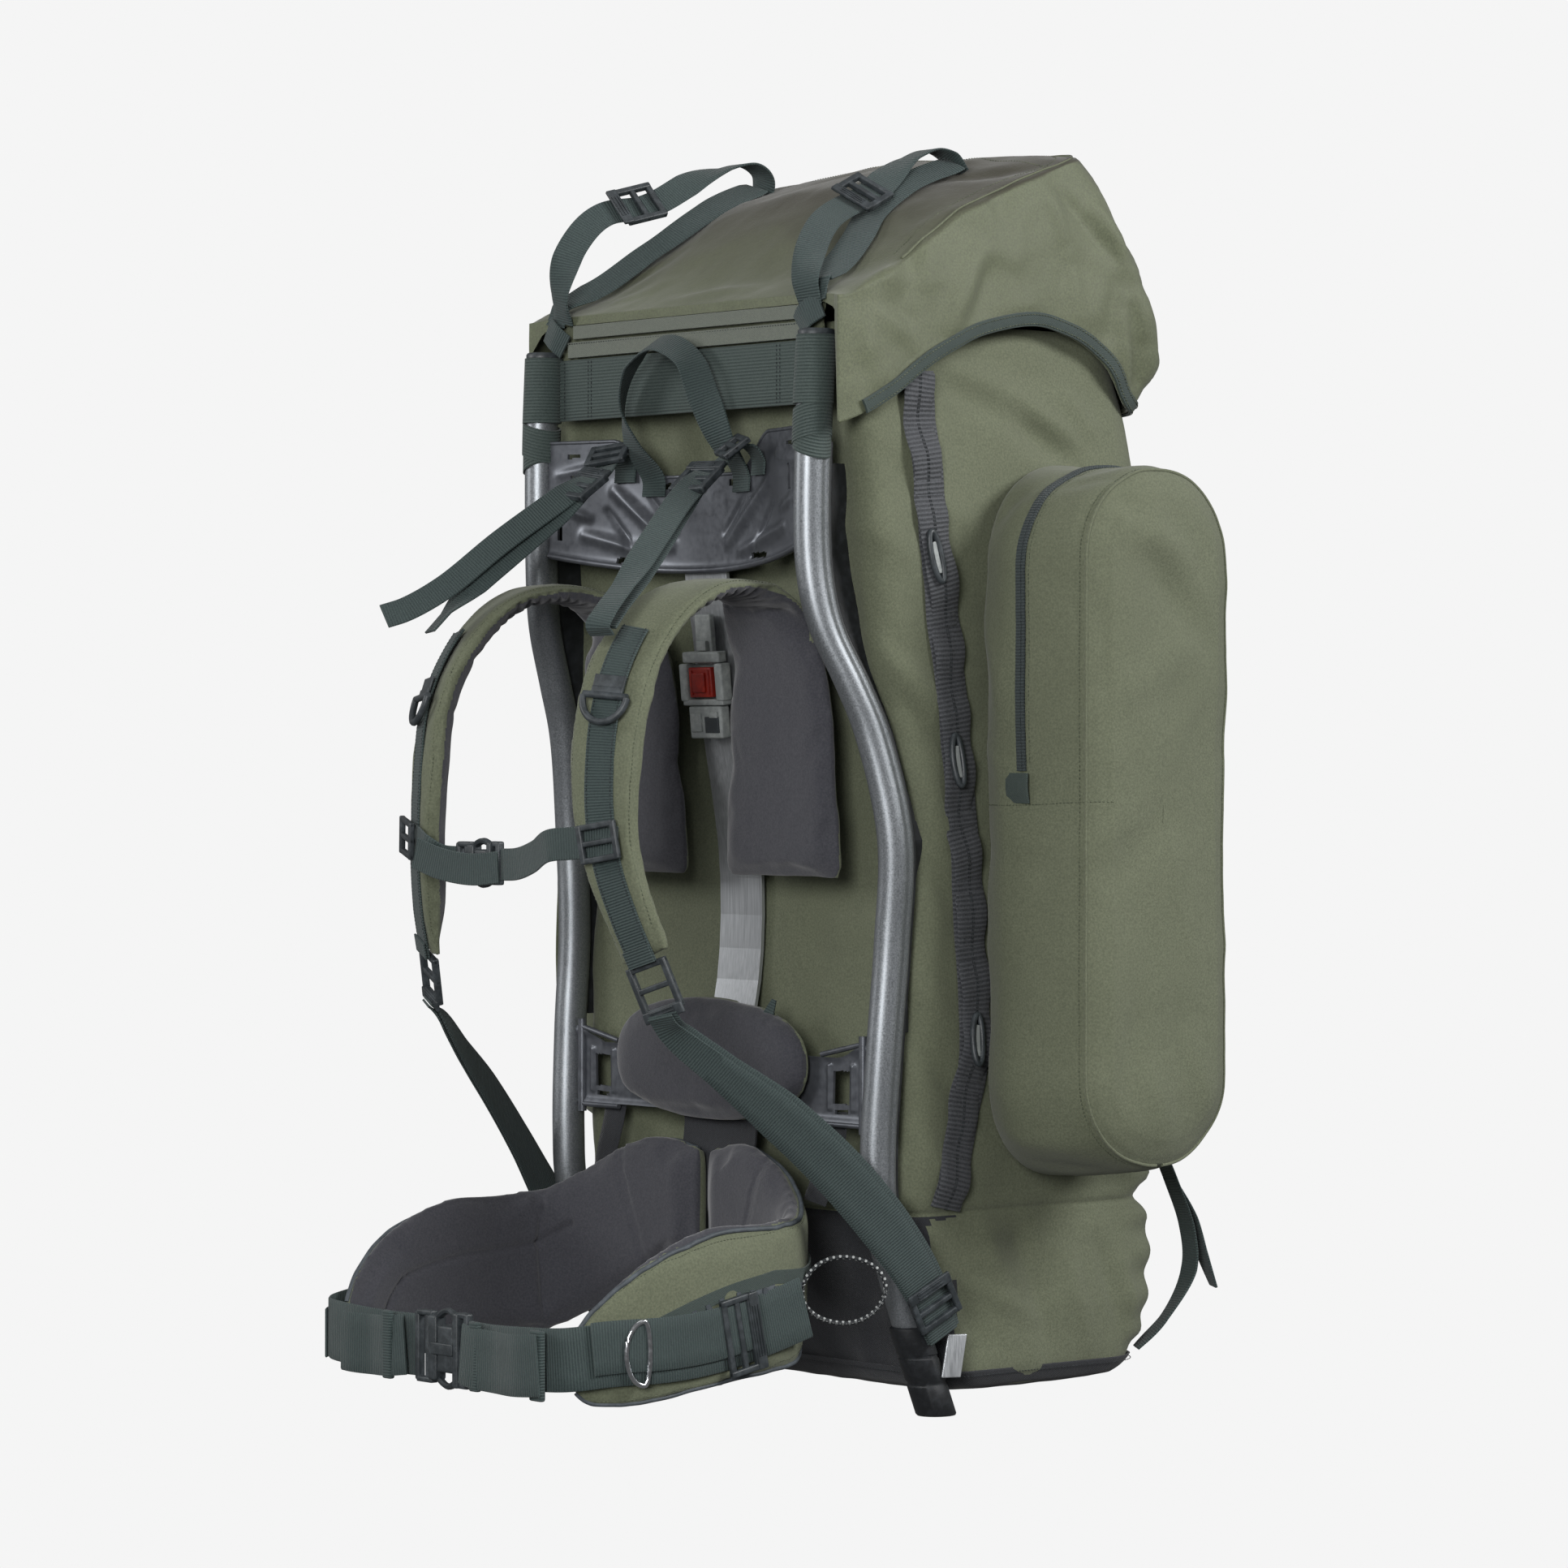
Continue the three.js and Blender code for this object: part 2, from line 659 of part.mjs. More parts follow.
const bagRings = BAG_ROWS.map((row) => bagRing(row));
const bagPole = middle(bagRings[bagRings.length - 1]);
add("bag_body", cloth(bagRings, bagPole, CLOTH), OLIVE);

// The base is a tray of tough cloth round the bag's floor.
const BASE_RIM_ROW = 13;
add(
  "bag_base",
  cloth(bagRings.slice(BASE_RIM_ROW), bagPole, CLOTH, GAP + CLOTH),
  BLACK_CLOTH,
);

// Keder strips: each fills the slit between a side tube's back and the bag's front.
const KEDER = { low: 0.3, high: 0.74, inboard: 1.2, reach: 40 };

function kederStrip() {
  const heights = [KEDER.low, ...TUBE_ROUTE.map((row) => row.z), KEDER.high];
  const rings = heights
    .filter((z) => z >= KEDER.low && z <= KEDER.high)
    .map((z) => {
      const x = lookUp(TUBE_ROUTE, "z", "x", z) * FRAME_HALF - KEDER.inboard;
      const y = lookUp(TUBE_ROUTE, "z", "y", z) * BAG_DEPTH;
      return [
        [x - CLOTH, y],
        [x, y],
        [x, y + KEDER.reach],
        [x - CLOTH, y + KEDER.reach],
      ].map(([px, py]) => new THREE.Vector3(px, py, z * PACK_HEIGHT));
    });
  const tube = loft(TUBE_ROUTE.map((row) => tubeRing(row.z, GAP)));
  return cut(cut(loft(rings), tube), loft(offsetRings(bagRings, GAP)));
}
addPair("keder_strip", kederStrip(), BLACK_CLOTH);

// Side pockets: cloth tubs that open towards the bag.
const POCKET_ROWS = [
  { x: 1.0375, front: 0.49, rear: 0.9733, low: 0.184, high: 0.742 },
  { x: 1.12, front: 0.4333, rear: 0.9733, low: 0.184, high: 0.742 },
  { x: 1.29, front: 0.3967, rear: 0.97, low: 0.185, high: 0.741 },
  { x: 1.56, front: 0.4233, rear: 0.9533, low: 0.193, high: 0.738 },
  { x: 1.66, front: 0.46, rear: 0.9267, low: 0.203, high: 0.731 },
  { x: 1.7, front: 0.5067, rear: 0.88, low: 0.22, high: 0.716 },
];
const POCKET_CORNER = 0.46;

function pocketRing(row) {
  const [low, high] = [row.low * PACK_HEIGHT, row.high * PACK_HEIGHT];
  const [front, rear] = [row.front * BAG_DEPTH, row.rear * BAG_DEPTH];
  const corner = POCKET_CORNER * (rear - front);
  const points = outline(
    (high - low) / 2, front, rear, corner, corner, POCKET_COLUMNS,
  );
  return points.map(
    (p) => new THREE.Vector3(row.x * FRAME_HALF, p.y, (low + high) / 2 + p.x),
  );
}

function sidePocket() {
  const rings = POCKET_ROWS.map(pocketRing);
  return cloth(rings, middle(rings[rings.length - 1]), CLOTH);
}

// Lid: a hood whose hem rises over each side. Columns run round the bag; each has its
// place in plan and the height of its hem.
const LID_HEM = [
  { y: -0.0467, z: 0.768 },
  { y: 0, z: 0.771 },
  { y: 0.1333, z: 0.79 },
  { y: 0.3, z: 0.822 },
  { y: 0.4667, z: 0.844 },
  { y: 0.6367, z: 0.853 },
  { y: 0.7733, z: 0.845 },
  { y: 0.8933, z: 0.826 },
  { y: 1, z: 0.792 },
  { y: 1.15, z: 0.788 },
];
// Side edge of the lid's top panel, front to rear ridge, and its crown in the middle.
const LID_TOP = [
  { y: 0, z: 0.868, crown: 0 },
  { y: 0.1333, z: 0.884, crown: 0.006 },
  { y: 0.2667, z: 0.908, crown: 0.018 },
  { y: 0.4667, z: 0.941, crown: 0.031 },
  { y: 0.6667, z: 0.966, crown: 0.026 },
  { y: 0.8933, z: 0.991, crown: 0.009 },
  { y: 1, z: 0.985, crown: 0.004 },
];
const LID = { half: 1.035, front: 0.02, rear: 1.08, sideFrom: 0.04, rearCorner: 0.17 };
// Front edge of the lid from the middle to the outside of a tube, where the hem drops.
const LID_FRONT = [
  { x: 0, y: 0.02, z: 0.864 },
  { x: 0.23, y: 0.02, z: 0.864 },
  { x: 0.46, y: 0.02, z: 0.864 },
  { x: 0.69, y: 0.02, z: 0.864 },
  { x: 0.86, y: 0.018, z: 0.864 },
  { x: 0.95, y: 0.003, z: 0.858 },
  { x: 1.005, y: -0.02, z: 0.768 },
];

// Rows of the hood from the hem up: place between hem and top edge, and how far the
// wall stands out at the sides and at the rear.
const LID_ROWS = [
  { up: 0, side: 0, rear: 0 },
  { up: 0.22, side: 0.01, rear: 0.15 },
  { up: 0.5, side: 0.005, rear: 0.07 },
  { up: 0.8, side: -0.03, rear: -0.06 },
  { up: 1, side: -0.075, rear: -0.17 },
];
const LID_TOP_RINGS = [0.72, 0.38];

function lidTopHeight(x, y) {
  const across = Math.min(1, Math.abs(x) / (LID.half * FRAME_HALF));
  const share = y / BAG_DEPTH;
  const edge = lookUp(LID_TOP, "y", "z", share) * PACK_HEIGHT;
  const crown = lookUp(LID_TOP, "y", "crown", share) * PACK_HEIGHT;
  return edge + crown * (1 - across * across);
}

// The hem in plan with its heights, from the middle of the front round the right side
// to the middle of the rear, and back along the left side.
function lidHemLine() {
  const radius = LID.rearCorner * BAG_DEPTH;
  const [half, rear] = [LID.half * FRAME_HALF, LID.rear * BAG_DEPTH];
  const sideFrom = LID.sideFrom * BAG_DEPTH;
  const sideTo = rear - radius;
  const plan = [];
  for (let i = 0; i < LID_SIDE_STEPS; i++)
    plan.push([half, sideFrom + ((sideTo - sideFrom) * i) / LID_SIDE_STEPS]);
  for (let i = 0; i <= LID_CORNER_STEPS; i++) {
    const angle = ((i / LID_CORNER_STEPS) * Math.PI) / 2;
    plan.push([half - radius * (1 - Math.cos(angle)), sideTo + radius * Math.sin(angle)]);
  }
  for (let i = 1; i <= LID_REAR_STEPS; i++)
    plan.push([(half - radius) * (1 - i / LID_REAR_STEPS), rear]);
  const right = [
    ...LID_FRONT.map((row) => at(row.x, row.y, row.z)),
    ...plan.map(([x, y]) => at(0, 0, lookUp(LID_HEM, "y", "z", y / BAG_DEPTH)).setX(x).setY(y)),
  ];
  const left = right.slice(1, -1).reverse();
  return [...right, ...left.map((p) => p.clone().setX(-p.x))];
}

function lidRings() {
  const half = LID.half * FRAME_HALF;
  const [front, rear] = [LID.front * BAG_DEPTH, LID.rear * BAG_DEPTH];
  const centreY = (front + rear) * 0.55;
  const hem = lidHemLine();
  const wall = LID_ROWS.map((row) =>
    hem.map((p) => {
      const back = Math.max(0, (p.y - front) / (rear - front));
      const x = p.x * (1 + (row.side * FRAME_HALF * back ** 0.5) / half);
      const y = p.y + row.rear * BAG_DEPTH * back ** 3;
      return new THREE.Vector3(x, y, p.z + (lidTopHeight(x, y) - p.z) * row.up);
    }),
  );
  const edge = wall[wall.length - 1];
  const top = LID_TOP_RINGS.map((share) =>
    edge.map((p) => {
      const x = p.x * share;
      const y = centreY + (p.y - centreY) * share;
      return new THREE.Vector3(x, y, lidTopHeight(x, y));
    }),
  );
  const pole = new THREE.Vector3(0, centreY, lidTopHeight(0, centreY));
  return { rings: [...wall, ...top], pole };
}

const lid = lidRings();
add("lid", cloth(lid.rings, lid.pole, CLOTH), OLIVE);

addPair("side_pocket", sidePocket(), OLIVE);

// Binding round the hem of the lid, from one tube round the rear to the other.
function lidHem() {
  const [hem, above] = lid.rings;
  const normals = gridNormals(lid.rings.slice(0, 2))[0];
  const columns = hem.length;
  const rings = hem.map((low, i) => {
    const high = above[i].clone().sub(low).setLength(HEM_TALL).add(low);
    return [
      low.clone().addScaledVector(normals[i], 2 * GAP),
      low.clone().addScaledVector(normals[i], 2 * GAP + HEM_THICK),
      high.clone().addScaledVector(normals[i], 2 * GAP + HEM_THICK),
      high.clone().addScaledVector(normals[i], 2 * GAP),
    ];
  });
  const first = LID_FRONT.length - 1;
  return loft(rings.slice(first, columns - first + 1));
}
add("lid_hem", lidHem(), WEBBING);

// Daisy chain down each side of the bag.
const DAISY_ROUTE = [
  { x: 1.014, y: 0.2533, z: 0.812, turn: 90 },
  { x: 1.03, y: 0.2633, z: 0.755, turn: 90 },
  { x: 1.04, y: 0.2967, z: 0.659, turn: 90 },
  { x: 1.0425, y: 0.36, z: 0.534, turn: 90 },
  { x: 1.045, y: 0.4, z: 0.4, turn: 90 },
  { x: 1.0425, y: 0.42, z: 0.28, turn: 90 },
  { x: 1.035, y: 0.3367, z: 0.162, turn: 90 },
];

// Cloth straps, tapes and bands

// Top band: ribbed webbing across the frame, with a sleeve round each tube.
const BAND_LOW = TUBE_TOP - (BAND_WIDE + 2) / PACK_HEIGHT;
const BAND_WALL = 2.2;
const BAND_Y = 0.0167;

function topBand() {
  const low = BAND_LOW;
  const high = BAND_LOW + BAND_WIDE / PACK_HEIGHT;
  const outer = [low, high].map((z) => tubeRing(z, GAP + BAND_WALL));
  const inner = [high, low].map((z) => tubeRing(z, GAP));
  const sleeve = loft([...outer, ...inner], { looped: true });
  const mirrored = faceOut(sleeve.clone().scale(-1, 1, 1));
  const mid = (low + high) / 2;
  const across = TUBE_WIDE / 2 + GAP + BAND_WALL / 2;
  const deep = TUBE_DEEP / 2 + GAP + BAND_WALL / 2;
  const behind = (BAND_Y - lookUp(TUBE_ROUTE, "z", "y", mid)) * BAG_DEPTH;
  const tubeX = lookUp(TUBE_ROUTE, "z", "x", mid) * FRAME_HALF;
  const reach = tubeX - across * Math.sqrt(1 - (behind / deep) ** 2);
  const panel = new THREE.BoxGeometry(2 * reach, BAND_WALL, BAND_WIDE - 1);
  panel.translate(0, BAND_Y * BAG_DEPTH, mid * PACK_HEIGHT);
  return join(panel, sleeve, mirrored);
}
add("top_band", topBand(), WEBBING);

// Haul loop on the yoke plate.
const HAUL_ROUTE = [
  { x: -0.27, y: 0.0597, z: 0.722, turn: 8 },
  { x: -0.27, y: 0.0597, z: 0.736, turn: 8 },
  { x: -0.285, y: -0.0067, z: 0.764, turn: -10 },
  { x: -0.275, y: -0.0433, z: 0.796, turn: -50 },
  { x: -0.18, y: -0.0567, z: 0.826, turn: -70, lift: 20 },
  { x: 0, y: -0.0633, z: 0.841, turn: 0, lift: 60 },
  { x: 0.17, y: -0.0567, z: 0.826, turn: 70, lift: 20 },
  { x: 0.24, y: -0.0433, z: 0.796, turn: 50 },
  { x: 0.285, y: -0.01, z: 0.762, turn: 10 },
  { x: 0.285, y: 0.0583, z: 0.736, turn: -8 },
  { x: 0.285, y: 0.0583, z: 0.722, turn: -8 },
];
add("haul_loop", webbing(route(HAUL_ROUTE, 1, 20), STRAP_WIDE), WEBBING);

// Shoulder harness: each back pad rises from beside the stay bar, turns forward over
// the shoulder and runs down as the shoulder strap. Its face is the pad's back below
// and the strap's front above.
const HARNESS_ROUTE = [
  { x: 0.47, y: 0.0967, z: 0.414, turn: 180, wide: 0.94, thick: 0.6 },
  { x: 0.47, y: 0.0967, z: 0.424, turn: 180, wide: 1, thick: 1 },
  { x: 0.47, y: 0.0967, z: 0.47, turn: 180, wide: 1, thick: 1 },
  { x: 0.48, y: 0.0967, z: 0.505, turn: 180, wide: 0.92, thick: 1 },
  { x: 0.4715, y: 0.0933, z: 0.54, turn: 180, wide: 0.93, thick: 1 },
  { x: 0.475, y: 0.0867, z: 0.575, turn: 180, lift: 4, wide: 0.86, thick: 1 },
  { x: 0.47, y: 0.0667, z: 0.607, turn: 180, lift: 25, wide: 0.78, thick: 1 },
  { x: 0.51, y: 0.02, z: 0.633, turn: 180, lift: 60, wide: 0.6, thick: 1 },
  { x: 0.535, y: -0.08, z: 0.645, turn: 180, lift: 88, wide: 0.5, thick: 1 },
  { x: 0.545, y: -0.2133, z: 0.645, turn: 10, lift: 85, wide: 0.48, thick: 1 },
  { x: 0.545, y: -0.3467, z: 0.626, turn: 18, lift: 45, wide: 0.48, thick: 1 },
  { x: 0.55, y: -0.4567, z: 0.59, turn: 23, lift: 22, wide: 0.49, thick: 1 },
  { x: 0.56, y: -0.5167, z: 0.549, turn: 23, lift: 8, wide: 0.5, thick: 1 },
  { x: 0.56, y: -0.5367, z: 0.505, turn: 23, wide: 0.5, thick: 1 },
  { x: 0.57, y: -0.54, z: 0.465, turn: 23, wide: 0.47, thick: 1 },
  { x: 0.6, y: -0.5267, z: 0.427, turn: 23, lift: -8, wide: 0.43, thick: 1 },
  { x: 0.645, y: -0.4967, z: 0.39, turn: 23, lift: -14, wide: 0.38, thick: 0.95 },
  { x: 0.685, y: -0.4633, z: 0.358, turn: 23, lift: -18, wide: 0.33, thick: 0.75 },
];
const BACK_PAD_WIDE = 0.73 * FRAME_HALF;
const HARNESS_STEPS = 24;
const STRAP_FROM = 15; // harness step where the face webbing starts
const harness = route(HARNESS_ROUTE, 1, HARNESS_STEPS);
const faceWeb = lifted(harness, HARNESS_THICK, GAP + WEB_THICK / 2).slice(STRAP_FROM);
const FITTING_LIFT = WEB_THICK / 2 + 2 * GAP;

// A D-ring lying on the shoulder webbing.
function dRing() {
  const wide = STRAP_WIDE + 2 * FITTING_BAR + 6;
  const shape = new THREE.Shape();
  shape.moveTo(-wide / 2, 0);
  shape.lineTo(wide / 2, 0);
  shape.absarc(0, -2, wide / 2, 0, -Math.PI, true);
  shape.closePath();
  const hole = new THREE.Path();
  const inner = wide / 2 - FITTING_BAR;
  hole.moveTo(-inner, -FITTING_BAR);
  hole.absarc(0, -FITTING_BAR, inner, -Math.PI, 0, false);
  hole.closePath();
  shape.holes.push(hole);
  return new THREE.ExtrudeGeometry(shape, {
    depth: FITTING_THICK,
    bevelEnabled: false,
    curveSegments: 6,
  });
}

const D_RING_Z = 0.56;
const SLIDER_Z = 0.449;
const LOCK_LENGTH = 38;
const lockFrame = faceWeb[faceWeb.length - 1];

// The frame turned half round, so that a fitting drawn upwards stands upright.
function upright(frame) {
  return { ...frame, t: frame.t.clone().negate(), a: frame.a.clone().negate() };
}

// A frame moved along its own tangent, normal and across directions.
function shifted(frame, along, out, across = 0) {
  const p = frame.p
    .clone()
    .addScaledVector(frame.t, along)
    .addScaledVector(frame.n, out)
    .addScaledVector(frame.a, across);
  return { ...frame, p };
}

addPair("harness_pad", padding(harness, BACK_PAD_WIDE, HARNESS_THICK), PAD_CLOTH);
addPair("shoulder_web", webbing(faceWeb, STRAP_WIDE), WEBBING);
addPair("d_ring", seated(dRing(), upright(frameAt(faceWeb, D_RING_Z)), FITTING_LIFT), BLACK_PLASTIC);
const sliderFrame = frameAt(faceWeb, SLIDER_Z);
const CHEST_LIFT = GAP + WEB_THICK;
addPair(
  "chest_slider",
  seated(slottedBuckle(STRAP_WIDE, 30), upright(sliderFrame), CHEST_LIFT + FITTING_LIFT + GAP),
  BLACK_PLASTIC,
);
const lockPlace = shifted(lockFrame, LOCK_LENGTH / 2 + GAP, -FITTING_THICK / 2);
addPair(
  "strap_lock",
  seated(slottedBuckle(STRAP_WIDE, LOCK_LENGTH), upright(lockPlace), 0),
  BLACK_PLASTIC,
);

// Chest strap: a slack strap between the sliders with a fastened buckle.
const CHEST_BUCKLE = { x: -0.15, y: -0.58, z: 0.431, wide: 54, tall: 34 };
const CHEST_CATCH = 2.6; // the left strap stops this far from the buckle
const chestRightEnd = CHEST_BUCKLE.x + (CHEST_BUCKLE.wide / 2 + 2 * GAP) / FRAME_HALF;
const chestLeftEnd = -CHEST_BUCKLE.x + (CHEST_BUCKLE.wide / 2 + CHEST_CATCH) / FRAME_HALF;
const CHEST_RIGHT = [
  { x: 0.39, y: -0.6267, z: 0.446, turn: -8 },
  { x: 0.25, y: -0.6067, z: 0.437, turn: -14 },
  { x: 0.1, y: -0.5833, z: 0.431, turn: -8 },
  { x: chestRightEnd, y: -0.58, z: 0.43, turn: 0 },
];
const CHEST_LEFT = [
  { x: 0.41, y: -0.62, z: 0.44, turn: 4 },
  { x: 0.34, y: -0.5933, z: 0.432, turn: 0 },
  { x: chestLeftEnd, y: -0.58, z: 0.431, turn: 0 },
];

// A side release buckle: two rounded blocks and their prongs in one outline.
function releaseBuckle(wide, tall, thick) {
  const shape = new THREE.Shape();
  const [w, h] = [wide / 2, tall / 2];
  shape.moveTo(-w, -h * 0.8);
  shape.lineTo(-w * 0.1, -h * 0.8);
  shape.lineTo(0, -h);
  shape.lineTo(w * 0.8, -h);
  shape.lineTo(w, -h * 0.7);
  shape.lineTo(w, h * 0.7);
  shape.lineTo(w * 0.8, h);
  shape.lineTo(0, h);
  shape.lineTo(-w * 0.1, h * 0.8);
  shape.lineTo(-w, h * 0.8);
  shape.closePath();
  return new THREE.ExtrudeGeometry(shape, { depth: thick, bevelEnabled: false }).translate(
    0, 0, -thick / 2,
  );
}

// A chest strap lies across its shoulder webbing, then leaves for the buckle.
const CHEST_OVERHANGS = [30, 15, 0, -15];

function chestStrap(rows, side) {
  const across = upright(sliderFrame).a;
  const sign = Math.sign(across.x);
  const over = CHEST_OVERHANGS.map((distance) => {
    const p = sliderFrame.p
      .clone()
      .addScaledVector(across, sign * distance)
      .addScaledVector(sliderFrame.n, CHEST_LIFT);
    const turn = THREE.MathUtils.radToDeg(Math.atan2(sliderFrame.n.x, -sliderFrame.n.y));
    return { x: p.x / FRAME_HALF, y: p.y / BAG_DEPTH, z: p.z / PACK_HEIGHT, turn };
  });
  return webbing(route([...over, ...rows], side, 16), STRAP_WIDE);
}
add("chest_strap_right", chestStrap(CHEST_RIGHT, 1), WEBBING);
add("chest_strap_left", chestStrap(CHEST_LEFT, -1), WEBBING);
add(
  "chest_buckle",
  releaseBuckle(CHEST_BUCKLE.wide, CHEST_BUCKLE.tall, BUCKLE_THICK)
    .rotateX(Math.PI / 2)
    .translate(...at(CHEST_BUCKLE.x, CHEST_BUCKLE.y, CHEST_BUCKLE.z).toArray()),
  BLACK_PLASTIC,
);

// Load lifters from the top of the yoke plate to the shoulder straps.
const LIFTER_ROUTE = [
  { x: 0.42, y: 0.041, z: 0.734, turn: 168 },
  { x: 0.42, y: 0.041, z: 0.747, turn: 168 },
  { x: 0.415, y: 0, z: 0.757, turn: 0, lift: 85 },
  { x: 0.36, y: -0.0733, z: 0.738, turn: 0, lift: 50 },
  { x: 0.38, y: -0.1833, z: 0.712, turn: 5, lift: 50 },
  { x: 0.46, y: -0.3167, z: 0.676, turn: 10, lift: 50 },
  { x: 0.53, y: -0.45, z: 0.64, turn: 18, lift: 45 },
  { x: 0.57, y: -0.5333, z: 0.618, turn: 20, lift: 40 },
];
const LIFTER_BUCKLE_STEP = 7;

// Lower straps from the strap locks to the feet of the frame.
const lowerStart = shifted(lockPlace, LOCK_LENGTH / 2 + GAP + WEB_THICK, FITTING_THICK);
const LOWER_STRAP_ROUTE = [
  {
    x: lowerStart.p.x / FRAME_HALF,
    y: lowerStart.p.y / BAG_DEPTH,
    z: lowerStart.p.z / PACK_HEIGHT,
    turn: 23,
    wide: 0.63,
  },
  { x: 0.74, y: -0.4067, z: 0.304, turn: 26, wide: 0.63 },
  { x: 0.82, y: -0.2933, z: 0.274, turn: 34, wide: 0.75 },
  { x: 0.91, y: -0.16, z: 0.24, turn: 40, wide: 1 },
  { x: 1, y: -0.02, z: 0.198, turn: 48, wide: 1.1 },
  { x: 1.065, y: 0.1, z: 0.155, turn: 62, wide: 1.1 },
  { x: 1.095, y: 0.2067, z: 0.112, turn: 72, wide: 1 },
  { x: 1.0665, y: 0.3067, z: 0.066, turn: 78, wide: 0.8 },
];

// Straps over the lid: up from the front edge, through a buckle, on to the ridge.
const LID_STRAP_ROUTE = [
  { x: 0.79, y: 0.0133, over: 3 },
  { x: 0.785, y: 0.1, over: 5 },
  { x: 0.77, y: 0.2067, over: 7 },
  { x: 0.76, y: 0.32, over: 9 },
  { x: 0.75, y: 0.4267, over: 10 },
  { x: 0.75, y: 0.5333, over: 14 },
  { x: 0.755, y: 0.6333, over: 16 },
  { x: 0.77, y: 0.7133, over: 10 },
  { x: 0.79, y: 0.7733, over: 4 },
];

function lidStrapFrames() {
  const rows = LID_STRAP_ROUTE.map(({ x, y, over }) => ({
    x,
    y,
    z: (lidTopHeight(x * FRAME_HALF, y * BAG_DEPTH) + over) / PACK_HEIGHT,
    turn: 0,
    lift: 65,
  }));
  return route(rows, 1, 16);
}
const LID_BUCKLE_STEP = 8;

// Rear straps: from under each pocket down to the rear corner of the base.
const REAR_STRAP_ROUTE = [
  { x: 0.917, y: 1.1307, z: 0.23, turn: 150 },
  { x: 0.925, y: 1.1367, z: 0.212, turn: 152 },
  { x: 0.985, y: 1.17, z: 0.172, turn: 160 },
  { x: 1.02, y: 1.2133, z: 0.132, turn: 165 },
  { x: 1.02, y: 1.22, z: 0.098, turn: 165 },
  { x: 0.985, y: 1.14, z: 0.06, turn: 150 },
  { x: 0.907, y: 1.0705, z: 0.033, turn: 145 },
];

const lifter = route(LIFTER_ROUTE, 1, 14);
addPair("load_lifter", webbing(lifter, STRAP_WIDE * 0.9), WEBBING);
addPair(
  "lifter_buckle",
  seated(slottedBuckle(STRAP_WIDE, 32), lifter[LIFTER_BUCKLE_STEP], FITTING_LIFT),
  BLACK_PLASTIC,
);
const lowerStrap = route(LOWER_STRAP_ROUTE, 1, 16);
addPair("lower_strap", webbing(lowerStrap, LOWER_STRAP_WIDE, 2 * WEB_THICK), WEBBING);
const lidStrap = lidStrapFrames();
addPair("lid_strap", webbing(lidStrap, STRAP_WIDE), WEBBING);
addPair(
  "lid_buckle",
  seated(slottedBuckle(STRAP_WIDE, 36), lidStrap[LID_BUCKLE_STEP], FITTING_LIFT),
  BLACK_PLASTIC,
);
addPair("daisy_chain", webbing(route(DAISY_ROUTE, 1, 10), DAISY_WIDE), DARK_WEBBING);
addPair("rear_strap", webbing(route(REAR_STRAP_ROUTE, 1, 10), STRAP_WIDE), WEBBING);

// Lumbar pad: a crowned oval cushion in front of the lumbar plate.
const LUMBAR_ROWS = [
  { out: 0, size: 0.95 },
  { out: 0.25, size: 1 },
  { out: 0.7, size: 0.97 },
  { out: 0.93, size: 0.84 },
  { out: 1, size: 0.55 },
];
const LUMBAR_Z = 0.272;
const LUMBAR_SIDES = 20;

function lumbarPad() {
  const back = LUMBAR_PLATE.y * BAG_DEPTH - GAP;
  return loft(
    LUMBAR_ROWS.map(({ out, size }) =>
      Array.from({ length: LUMBAR_SIDES }, (_, j) => {
        const angle = (j / LUMBAR_SIDES) * 2 * Math.PI;
        return new THREE.Vector3(
          (LUMBAR_WIDE / 2) * size * Math.cos(angle),
          back - LUMBAR_THICK * out,
          LUMBAR_Z * PACK_HEIGHT + (LUMBAR_TALL / 2) * size * Math.sin(angle),
        );
      }),
    ),
  );
}
add("lumbar_pad", lumbarPad(), PAD_CLOTH);

// Hip belt: two padded wings from the small of the back round to the front.
const BELT_ROWS = [
  { x: 0.01, y: 0.0867, low: 0.108, high: 0.203, lean: 90, thick: 0.9 },
  { x: 0.225, y: 0.0833, low: 0.092, high: 0.214, lean: 88, thick: 1 },
  { x: 0.46, y: 0.0633, low: 0.07, high: 0.205, lean: 76, thick: 1 },
  { x: 0.66, y: 0.02, low: 0.052, high: 0.184, lean: 58, thick: 1 },
  { x: 0.79, y: -0.0533, low: 0.042, high: 0.168, lean: 30, thick: 1 },
  { x: 0.84, y: -0.1733, low: 0.035, high: 0.165, lean: 8, thick: 1 },
  { x: 0.845, y: -0.3333, low: 0.029, high: 0.163, lean: 0, thick: 1 },
  { x: 0.83, y: -0.4833, low: 0.023, high: 0.151, lean: -6, thick: 0.95 },
  { x: 0.79, y: -0.6133, low: 0.02, high: 0.129, lean: -16, thick: 0.85 },
  { x: 0.73, y: -0.7067, low: 0.026, high: 0.1, lean: -28, thick: 0.7 },
  { x: 0.705, y: -0.74, low: 0.038, high: 0.082, lean: -32, thick: 0.5 },
];
const BELT_SECTION = [
  { up: 0, out: 0.5 },
  { up: 0.04, out: 0.14 },
  { up: 0.16, out: 0 },
  { up: 0.5, out: -0.04 },
  { up: 0.84, out: 0 },
  { up: 0.96, out: 0.14 },
  { up: 1, out: 0.5 },
  { up: 0.96, out: 0.86 },
  { up: 0.84, out: 1 },
  { up: 0.5, out: 1.04 },
  { up: 0.16, out: 1 },
  { up: 0.04, out: 0.86 },
];

